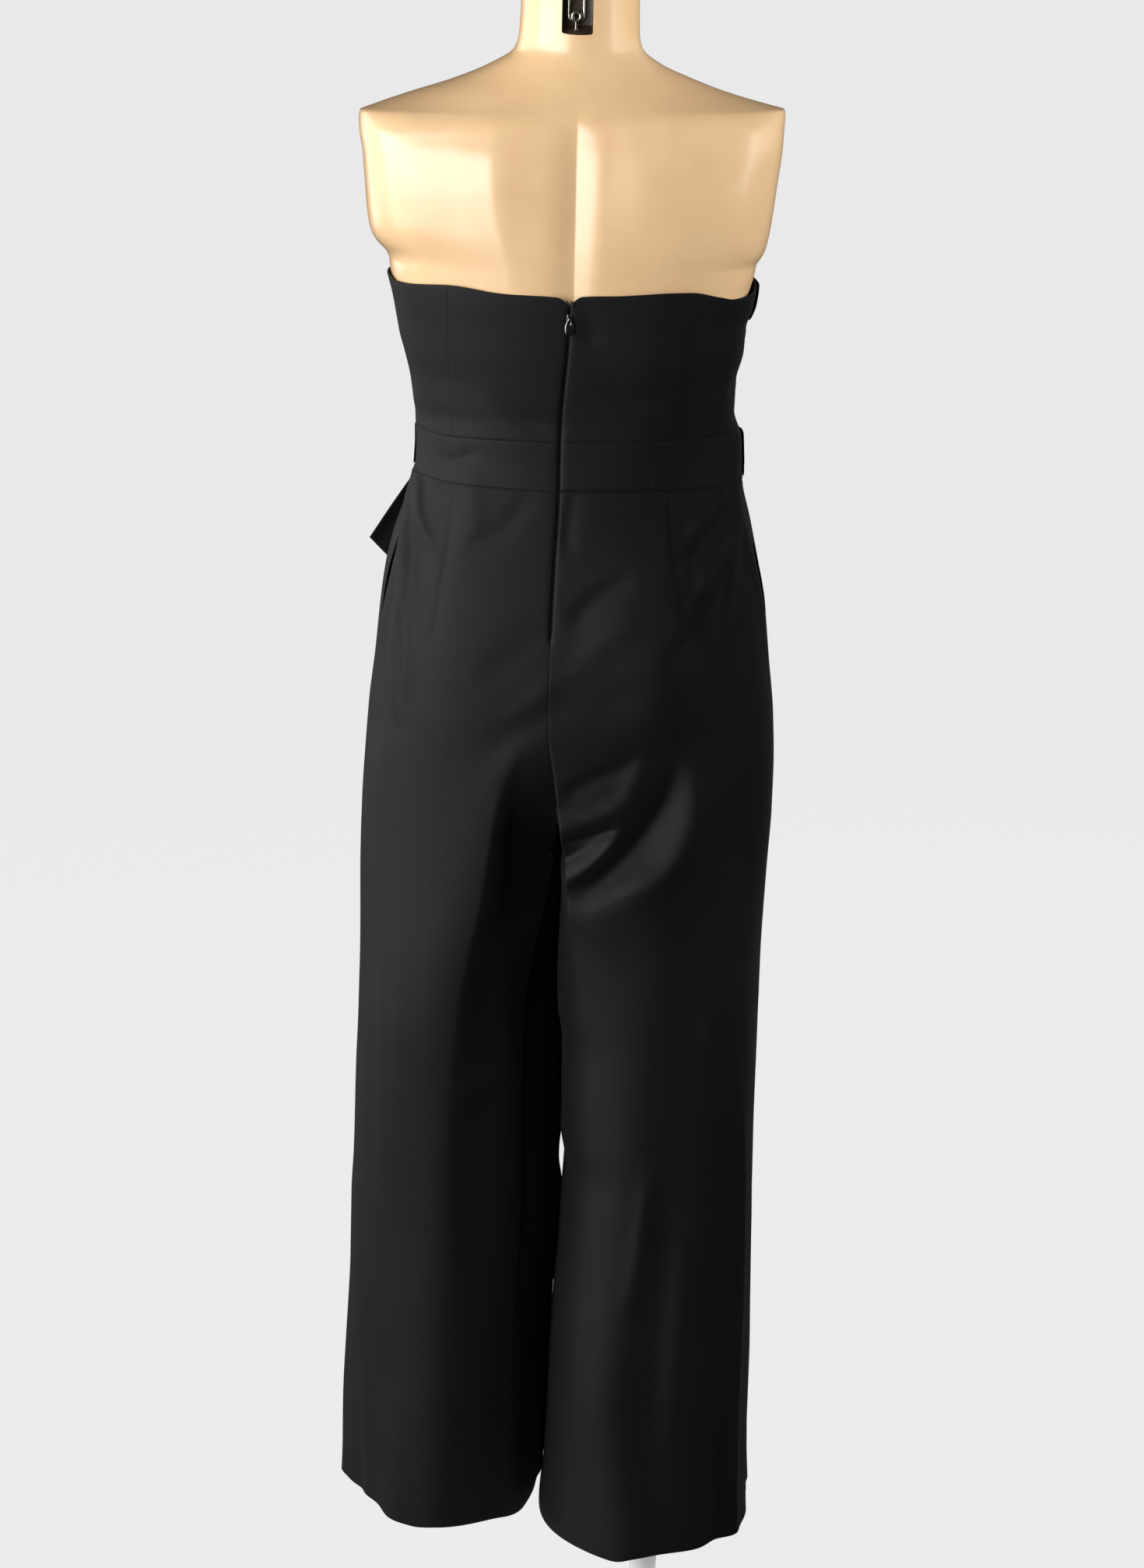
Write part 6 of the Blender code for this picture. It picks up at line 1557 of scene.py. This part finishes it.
def tube(bm, path, radius, sides=12, closed=False):
    """A round wire along a path, with rounded ends."""
    path = np.array(path, float)
    if closed:
        tangents = np.roll(path, -1, axis=0) - np.roll(path, 1, axis=0)
    else:
        tangents = np.gradient(path, axis=0)
    tangents = unit(tangents)
    first = np.cross(tangents[0], (0.3, 0.9, 0.31))
    rings, across = [], unit(first)
    for point, tangent in zip(path, tangents):
        across = unit(across - tangent * (across @ tangent))
        other = np.cross(tangent, across)
        rings.append([point + radius * (across * math.cos(a) + other * math.sin(a))
                      for a in np.arange(sides) * 2 * math.pi / sides])
    if closed:
        ring_stack(bm, rings, loop=True)
        return
    for end, inside in ((0, 1), (-1, -2)):
        tangent = unit(path[end] - path[inside])
        centre = path[end]
        caps = [[centre + tangent * radius * math.sin(b) + (np.array(p) - centre) * math.cos(b)
                 for p in rings[end]] for b in (math.pi / 6, math.pi / 3, math.pi / 2.2)]
        rings = caps[::-1] + rings if end == 0 else rings + caps
    ring_stack(bm, rings)


def arc(start, end, steps):
    """Points of a unit circle from one angle to another, in degrees."""
    angles = [math.radians(start + (end - start) * k / steps) for k in range(steps + 1)]
    return [(math.cos(angle), math.sin(angle)) for angle in angles]


def make_hook():
    """Hook and eye at the top of the zip: two bent wires with their sewing loops, on both edges."""
    place = zip_frame(HOOK["height"])
    rise = SEAM + HOOK["wire"] + HOOK["clear"]
    bm = bmesh.new()
    reach = HOOK["half_width"]
    hook = [(reach * x, 0.9 * reach * y, rise) for x, y in arc(-40, 200, 24)]
    hook = [(reach, -HOOK["drop"] / 2, rise)] + hook[4:-2] + [(-reach, -HOOK["drop"] / 2, rise)]
    tube(bm, [place @ Vector(point) for point in hook], HOOK["wire"])
    for side in (-1, 1):
        centre = (side * (reach - 0.2 * MM), -HOOK["drop"] / 2 + 0.9 * MM)
        ring = [(centre[0] + 1.0 * MM * x, centre[1] - 1.2 * MM + 1.0 * MM * y, rise - 0.1 * MM)
                for x, y in arc(0, 360, 20)[:-1]]
        tube(bm, [place @ Vector(point) for point in ring], 0.34 * MM, closed=True)
        for angle in (-60, 0, 60, 180):
            x, y = math.cos(math.radians(angle)), math.sin(math.radians(angle))
            start = (centre[0] + 0.5 * MM * x, centre[1] - 1.2 * MM + 0.5 * MM * y, rise - 0.5 * MM)
            top = (centre[0] + 1.1 * MM * x, centre[1] - 1.2 * MM + 1.1 * MM * y, rise + 0.35 * MM)
            end = (centre[0] + 1.8 * MM * x, centre[1] - 1.2 * MM + 1.8 * MM * y, rise - 0.7 * MM)
            tube(bm, [place @ Vector(point) for point in (start, top, end)], 0.13 * MM, sides=6)
    dress(from_bmesh("zip_hook_and_eye", bm, "enamel"), "zip_hook")


# ------------------------------------------------------------------ dress form and stand
FORM_COLUMNS = 232
BARE_FROM, BARE_OVER = 1.322, 46 * MM   # where the form leaves the cloth's inside for its own shape
TILT_FROM, TILT_TO = 1.352, 1.575       # the shoulders lean between these
SEAT_HOLLOW = {"across": 25 * MM, "reach": 42 * MM, "facing": 80 * MM}
UNDER_ZIP = {"across": 7 * MM, "reach": 14 * MM, "depth": 1.6 * MM, "top": 1.312}
BACK_EVEN = {"from": 1.316, "to": 1.476, "reach": 20 * MM, "half_width": 165 * MM}
# The modelling of the bare back: mounds and hollows, as the folds of the cloth are given.
BACK_FORMS = [
    ([(112, 1500, 0), (114, 1472, -2.6), (114, 1430, -3.8), (112, 1390, -3.8), (110, 1350, -3.2),
      (108, 1310, -2.0)], (34, 34)),
    ([(66, 1490, 0), (70, 1460, 1.2), (70, 1420, 1.6), (62, 1380, 1.6), (52, 1340, 1.2), (50, 1310, 1.0)],
     (10, 20)),
    ([(-48, 1490, 0), (-50, 1462, 1.2), (-54, 1430, 1.3), (-60, 1398, 0.9), (-66, 1372, 0)], (14, 22)),
]


def form_ring(height):
    """One ring of the form: bare above the neckline, just inside the cloth below it."""
    turn = np.arange(FORM_COLUMNS) * 2 * math.pi / FORM_COLUMNS
    turn = turn - 0.62 * np.sin(turn)
    heights = np.full(FORM_COLUMNS, height)
    covered = body_points(turn, np.minimum(heights, BODY.key[-1]), float(FORM_INSET.read("inset", height)))
    covered[..., 2] = height
    if height < BARE_FROM:
        points = covered
        points[..., 0:2] *= FORM_UNDERSIDE.read("share", height)
    else:
        points = ring_points(BARE_FORM, turn, np.maximum(heights, BARE_FORM.key[0]))
        points[..., 2] = height
        points = covered + (points - covered) * ease(height, BARE_FROM, BARE_OVER)
    points[..., 1] += bump(points, BLADE, 1)
    ends = ease(height, FURROW["top"], -0.05) * ease(height, FURROW["bottom"], 0.05)
    back = points[..., 1] > 0
    sunk = np.where(points[..., 0] > 0, hill(points[..., 0], 0, FURROW["half_width"]),
                    1 - np.sin(math.pi / 2 * np.clip(-points[..., 0] / FURROW["right_wall"], 0, 1)))
    points[..., 1] -= FURROW["depth"] * sunk * back * ends
    for line, widths in BACK_FORMS:
        points[..., 1] += fold_height(points[..., [0, 2]], line, widths) * back
    fall = INNER_FALL.read("depth", max(height, INNER_FALL.key[0])) if height < INNER_FALL.key[-1] else 0.0
    hollow = hill(points[..., 0], SEAT_HOLLOW["across"], SEAT_HOLLOW["reach"])
    points[..., 1] -= min(fall, FORM_FALL) * hollow * ease(points[..., 1], 0, SEAT_HOLLOW["facing"])
    under_zip = hill(points[..., 0], UNDER_ZIP["across"], UNDER_ZIP["reach"]) * back
    points[..., 1] -= UNDER_ZIP["depth"] * under_zip * ease(height, UNDER_ZIP["top"], -0.02)
    tilt = ease(height, TILT_FROM, 0.03) * ease(height, TILT_TO, -0.03)
    points[..., 2] -= points[..., 0] * SHOULDER_TILT * tilt
    return points


def lathe(name, profile, material, centre=(0, 0, 0), sides=96):
    """A turned solid from its profile of (radius, height) pairs, bottom to top."""
    turns = [(math.cos(2 * math.pi * k / sides), math.sin(2 * math.pi * k / sides)) for k in range(sides)]
    bm = bmesh.new()
    ring_stack(bm, [[(centre[0] + radius * x, centre[1] + radius * y, centre[2] + height) for x, y in turns]
                    for radius, height in profile])
    return sharpen(from_bmesh(name, bm, material))


def smooth_back(heights, rings):
    """Even out the bare back from ring to ring, between the neckline and the shoulders."""
    heights, sheet = np.array(heights), np.array(rings[:len(heights)])
    spacing = np.gradient(heights)
    result = sheet.copy()
    for index, height in enumerate(heights):
        amount = ease(height, BACK_EVEN["from"], 0.02) * ease(height, BACK_EVEN["to"], -0.02)
        if amount > 0:
            weights = spacing * hill(heights, height, BACK_EVEN["reach"])
            even = (sheet[:, :, 1] * weights[:, None]).sum(axis=0) / weights.sum()
            amount = amount * ease(np.abs(sheet[index, :, 0]), BACK_EVEN["half_width"], -35 * MM)
            amount = amount * (sheet[index, :, 1] > 0)
            result[index, :, 1] += (even - sheet[index, :, 1]) * amount
    return list(result) + rings[len(heights):]


def make_form():
    heights = list(FORM_UNDERSIDE.key[:-1]) + list(np.arange(0.922, 1.345, 0.0055))
    heights += list(np.arange(1.3465, 1.474, 0.0032)) + list(np.arange(1.474, 1.492, 0.0014))
    heights += list(np.arange(1.4925, 1.5975, 0.0038))
    rings = [form_ring(float(height)) for height in heights]
    top = form_ring(1.5975)
    centre = top.mean(axis=0)
    for share, lift in ((1.0, 0.0), (0.992, 0.0009), (0.972, 0.0018), (0.945, 0.0023), (0.90, 0.0025),
                        (0.60, 0.0025), (0.25, 0.0025)):
        ring = centre + (top - centre) * share
        ring[:, 2] += lift
        rings.append(ring)
    rings = smooth_back(heights, rings)
    base = rings[0]
    middle = base.mean(axis=0)
    rings = [middle + (base - middle) * share for share in (0.3, 0.7)] + rings
    bm = bmesh.new()
    ring_stack(bm, rings)
    form = from_bmesh("dress_form_shell", bm, "form")

    clear = 20 * MM
    rise = (NECK_SLOT["rear_z"] - NECK_SLOT["foot_z"]) / (NECK_SLOT["foot_y"] - NECK_SLOT["rear_y"])
    profile = [(NECK_SLOT["rear_y"], NECK_SLOT["rear_z"]),
               (NECK_SLOT["foot_y"] + clear, NECK_SLOT["foot_z"] - rise * clear),
               (NECK_SLOT["foot_y"] + clear, FORM_TOP + clear), (NECK_SLOT["rear_y"], FORM_TOP + clear)]
    sides = [NECK_SLOT["x"] - NECK_SLOT["width"] / 2, NECK_SLOT["x"] + NECK_SLOT["width"] / 2]
    bm = bmesh.new()
    ring_stack(bm, [[(x, y, z) for y, z in profile] for x in sides])
    # The slot's cut walls keep the cutter's dark material, which paints shade into the neck slot.
    combine(form, soften(from_bmesh("slot_guide", bm, "slot_shade"), 1.6 * MM), "DIFFERENCE")
    floor = NECK_SLOT["rear_z"] - rise * (EYE["y"] - NECK_SLOT["rear_y"])
    bottom = floor - NECK_SLOT["bore_depth"]
    bore = [(NECK_SLOT["bore"], bottom), (NECK_SLOT["bore"], floor + 5 * MM)]
    combine(form, lathe("bore_guide", bore, "form", (EYE["x"], EYE["y"], 0), 32), "DIFFERENCE")
    dress(sharpen(form, 38), "form_torso")

    eye_height = EYE["z"] - EYE["ring"]
    shank = [(EYE["shank"], bottom + SEAM)]
    thread = np.arange(bottom + 1.2 * MM, floor - 0.4 * MM, 0.35 * MM)
    shank += [(EYE["shank"] * (1.0 if k % 2 else 0.84), z) for k, z in enumerate(thread)]
    shank += [(EYE["shank"], floor), (EYE["shank"], eye_height - 0.8 * MM), (EYE["shank"] * 1.25, eye_height)]
    bolt = lathe("neck_eye_bolt_metal", shank, "bright", (EYE["x"], EYE["y"], 0), 24)
    bm = bmesh.new()
    tube(bm, [(EYE["x"] + EYE["ring"] * x, EYE["y"], EYE["z"] + EYE["ring"] * z)
              for x, z in arc(0, 360, 40)[:-1]], EYE["wire"], 16, closed=True)
    combine(bolt, from_bmesh("ring_guide", bm, "bright"), "UNION")
    dress(sharpen(bolt, 45), "neck_eye_bolt")

    y = NECK_SLOT["rear_y"] + SEAM + BAIL["wire"]
    reach, low = BAIL["half_width"] - BAIL["wire"], BAIL["bottom"] + BAIL["corner"]
    left, right = EYE["x"] - reach + BAIL["corner"], EYE["x"] + reach - BAIL["corner"]
    high = BAIL["top"] - BAIL["wire"] - reach
    path = [(EYE["x"] + reach * x, y, high + reach * z) for x, z in arc(0, 180, 28)]
    path += [(EYE["x"] - reach, y, low + (high - low) * k / 8) for k in range(7, 0, -1)]
    path += [(left + BAIL["corner"] * x, y, low + BAIL["corner"] * z) for x, z in arc(180, 270, 8)]
    path += [(right + BAIL["corner"] * x, y, low + BAIL["corner"] * z) for x, z in arc(270, 360, 8)]
    path += [(EYE["x"] + reach, y, low + (high - low) * k / 8) for k in range(1, 8)]
    bm = bmesh.new()
    tube(bm, path, BAIL["wire"], 16, closed=True)
    dress(from_bmesh("neck_bail_wire", bm, "bright"), "neck_bail")


def rounded_disc(radius, thick, bevel, steps=5):
    """A disc's profile with rounded edges, bottom to top."""
    low = [(radius - bevel + bevel * x, bevel + bevel * y) for x, y in arc(-90, 0, steps)]
    high = [(radius - bevel + bevel * x, thick - bevel + bevel * y) for x, y in arc(0, 90, steps)]
    return low + high


def make_stand():
    """A round plate on the floor, and a pole that runs up inside the right leg to the form."""
    rim = rounded_disc(BASE["radius"], BASE["thick"], BASE["bevel"])
    dome = [(0.150, BASE["thick"]), (0.06, BASE["thick"])]
    dress(lathe("stand_base_plate", rim + dome, "paint", sides=160), "stand_base")
    foot = BASE["thick"] + SEAM
    flange_foot = FORM_BOTTOM - SEAM - FLANGE["thick"]
    place = (POLE["x"], POLE["y"], 0)
    end = flange_foot - SEAM
    pole = [(POLE["radius"] - 0.8 * MM, foot), (POLE["radius"], foot + 0.8 * MM)]
    pole += [(POLE["radius"], foot + (end - foot) * k / 12) for k in range(1, 12)]
    pole += [(POLE["radius"], end - 0.8 * MM), (POLE["radius"] - 0.8 * MM, end)]
    dress(lathe("stand_pole_tube", pole, "paint", place, 48), "stand_pole")
    disc = [(radius, flange_foot + z) for radius, z in rounded_disc(FLANGE["radius"], FLANGE["thick"],
                                                                    FLANGE["bevel"])]
    flange = lathe("stand_flange_disc", disc, "paint", place, 72)
    places = [(POLE["x"] + 24 * MM * x, POLE["y"] + 24 * MM * y, 0) for x, y in arc(45, 405, 4)[:-1]]
    for centre in places:
        head = [(3.6 * MM, flange_foot - 0.2 * MM), (3.8 * MM, flange_foot + 2 * MM)]
        combine(flange, lathe("screw_hole_guide", head, "paint", centre, 24), "DIFFERENCE")
    dress(sharpen(flange), "stand_flange")
    for index, centre in enumerate(places):
        head = [(1.2 * MM, flange_foot + 0.35 * MM), (2.6 * MM, flange_foot + 0.5 * MM),
                (3.3 * MM, flange_foot + 1.0 * MM), (3.3 * MM, flange_foot + 2.0 * MM)]
        dress(lathe(f"flange_screw_{index}", head, "bright", centre, 24), None)
    inner = POLE["radius"] + SEAM
    outer, height, soft = COLLAR["radius"], COLLAR["height"], COLLAR["bevel"]
    profile = [(inner, 0), (outer - 1 * MM, 0), (outer, 1 * MM), (outer, 4 * MM)]
    profile += [(outer - 3.5 * MM + 3.5 * MM * x, 4 * MM + 3.5 * MM * y) for x, y in arc(0, 60, 4)[1:]]
    profile += [(outer - 5 * MM, 10 * MM), (outer - 5.5 * MM, height - soft)]
    profile += [(outer - 5.5 * MM - soft + soft * x, height - soft + soft * y) for x, y in arc(0, 90, 5)[1:]]
    profile += [(inner + 0.4 * MM, height), (inner, height - 0.4 * MM)]
    bm = bmesh.new()
    ring_stack(bm, [[(POLE["x"] + radius * x, POLE["y"] + radius * y, foot + z) for radius, z in profile]
                    for x, y in arc(0, 360, 72)[:-1]], loop=True)
    dress(sharpen(from_bmesh("stand_collar_ring", bm, "paint")), "stand_collar")


# ------------------------------------------------------------------ the whole
make_bodice()
make_waistband()
make_neckline_fold()
sash_pieces = make_sash()
knot = make_knot()
side_tail, front_tail = make_tails()
left_leg, right_leg = shape_leg("left"), shape_leg("right")
let_legs_touch(left_leg, right_leg)
make_leg("left", left_leg)
make_leg("right", right_leg)
make_zip_tape()
zip_place = zip_frame(ZIP_HINGE_HEIGHT)
make_slider(zip_place)
make_tab(zip_place)
make_hook()
make_form()
make_stand()


# ------------------------------------------------------------------ room, light and camera
ROOM_GLOW, ROOM_PALE = 0.815, 0.02
material, tree, shader = node_tree("studio_floor")
faint = noise(tree, 1.5, 2.0)
tree.links.new(tint(tree, faint.outputs["Fac"], (ROOM_PALE * 0.99,) * 3, (ROOM_PALE * 1.01,) * 3),
               shader.inputs["Base Color"])
shader.inputs["Roughness"].default_value = 0.9
shader.inputs["Specular IOR Level"].default_value = 0.0
shader.inputs["Emission Color"].default_value = (1.0, 1.0, 1.0, 1)
shader.inputs["Emission Strength"].default_value = ROOM_GLOW
ROOM_RADIUS, ROOM_HEIGHT, ROOM_SIDES = 70, 60, 48
corners = [(ROOM_RADIUS * x, ROOM_RADIUS * y) for x, y in arc(0, 360, ROOM_SIDES)[:-1]]
mesh = bpy.data.meshes.new("studio_floor")
mesh.from_pydata([(x, y, 0) for x, y in corners] + [(x, y, ROOM_HEIGHT) for x, y in corners], [],
                 [list(range(ROOM_SIDES))] + [[k, (k + 1) % ROOM_SIDES, (k + 1) % ROOM_SIDES + ROOM_SIDES,
                                               k + ROOM_SIDES] for k in range(ROOM_SIDES)])
mesh.materials.append(material)
floor = bpy.data.objects.new("studio_floor", mesh)
bpy.context.scene.collection.objects.link(floor)
floor.visible_diffuse = False
floor.visible_glossy = False

world = bpy.data.worlds.new("studio_room")
bpy.context.scene.world = world
world.use_nodes = True
background = world.node_tree.nodes["Background"]
background.inputs["Color"].default_value = (1.0, 1.0, 1.0, 1)
background.inputs["Strength"].default_value = 0.02

# Each light: where it is, the height that it aims at, its size and power, and whether gloss mirrors it.
for name, place, aim, size, power, mirrored in (
        ("key_window", (2.70, 1.95, 1.95), 1.15, (4.2, 1.8), 136, True),
        ("low_window", (2.80, 2.00, 0.52), 0.85, (4.2, 1.05), 40, True),
        ("right_window", (-2.8, 1.0, 1.9), 1.1, (0.5, 1.8), 8, True),
        ("front_window", (3.5, -1.5, 1.7), 1.1, (3.6, 3.2), 54, True),
        ("back_fill", (-3.1, 0.1, 2.1), 1.1, (1.8, 1.8), 100, False),
        ("front_fill", (-1.7, -2.8, 2.3), 1.1, (1.8, 1.8), 60, False),
        ("camera_fill", (0.6, 3.4, 2.5), 1.1, (1.8, 1.8), 14, False)):
    data = bpy.data.lights.new(name, "AREA")
    data.shape, data.size, data.size_y, data.energy = "RECTANGLE", *size, power
    item = bpy.data.objects.new(name, data)
    bpy.context.scene.collection.objects.link(item)
    item.location = place
    item.rotation_euler = (Vector((0, 0, aim)) - Vector(place)).to_track_quat("-Z", "Y").to_euler()
    item.visible_camera, item.visible_glossy = False, mirrored

TILT, ROLL = math.radians(13.6), math.radians(1.3)
HALF_HEIGHT, FOCAL_LENGTH = 1007, 4950  # in pixels of the 1470 by 2014 frame
ahead = Vector((0, -math.cos(TILT), -math.sin(TILT)))
rightward = Vector((-1, 0, 0))
upward = rightward.cross(ahead)
camera_x = rightward * math.cos(ROLL) + upward * math.sin(ROLL)
camera_y = upward * math.cos(ROLL) - rightward * math.sin(ROLL)
lens = bpy.data.cameras.new("camera")
lens.sensor_fit = "VERTICAL"
lens.angle_y = 2 * math.atan(HALF_HEIGHT / FOCAL_LENGTH)
camera = bpy.data.objects.new("camera", lens)
bpy.context.scene.collection.objects.link(camera)
camera.matrix_world = matrix_of(camera_x, camera_y, -ahead, Vector(EYE_POINT))
bpy.context.scene.camera = camera
bpy.context.scene.view_settings.view_transform = "Standard"
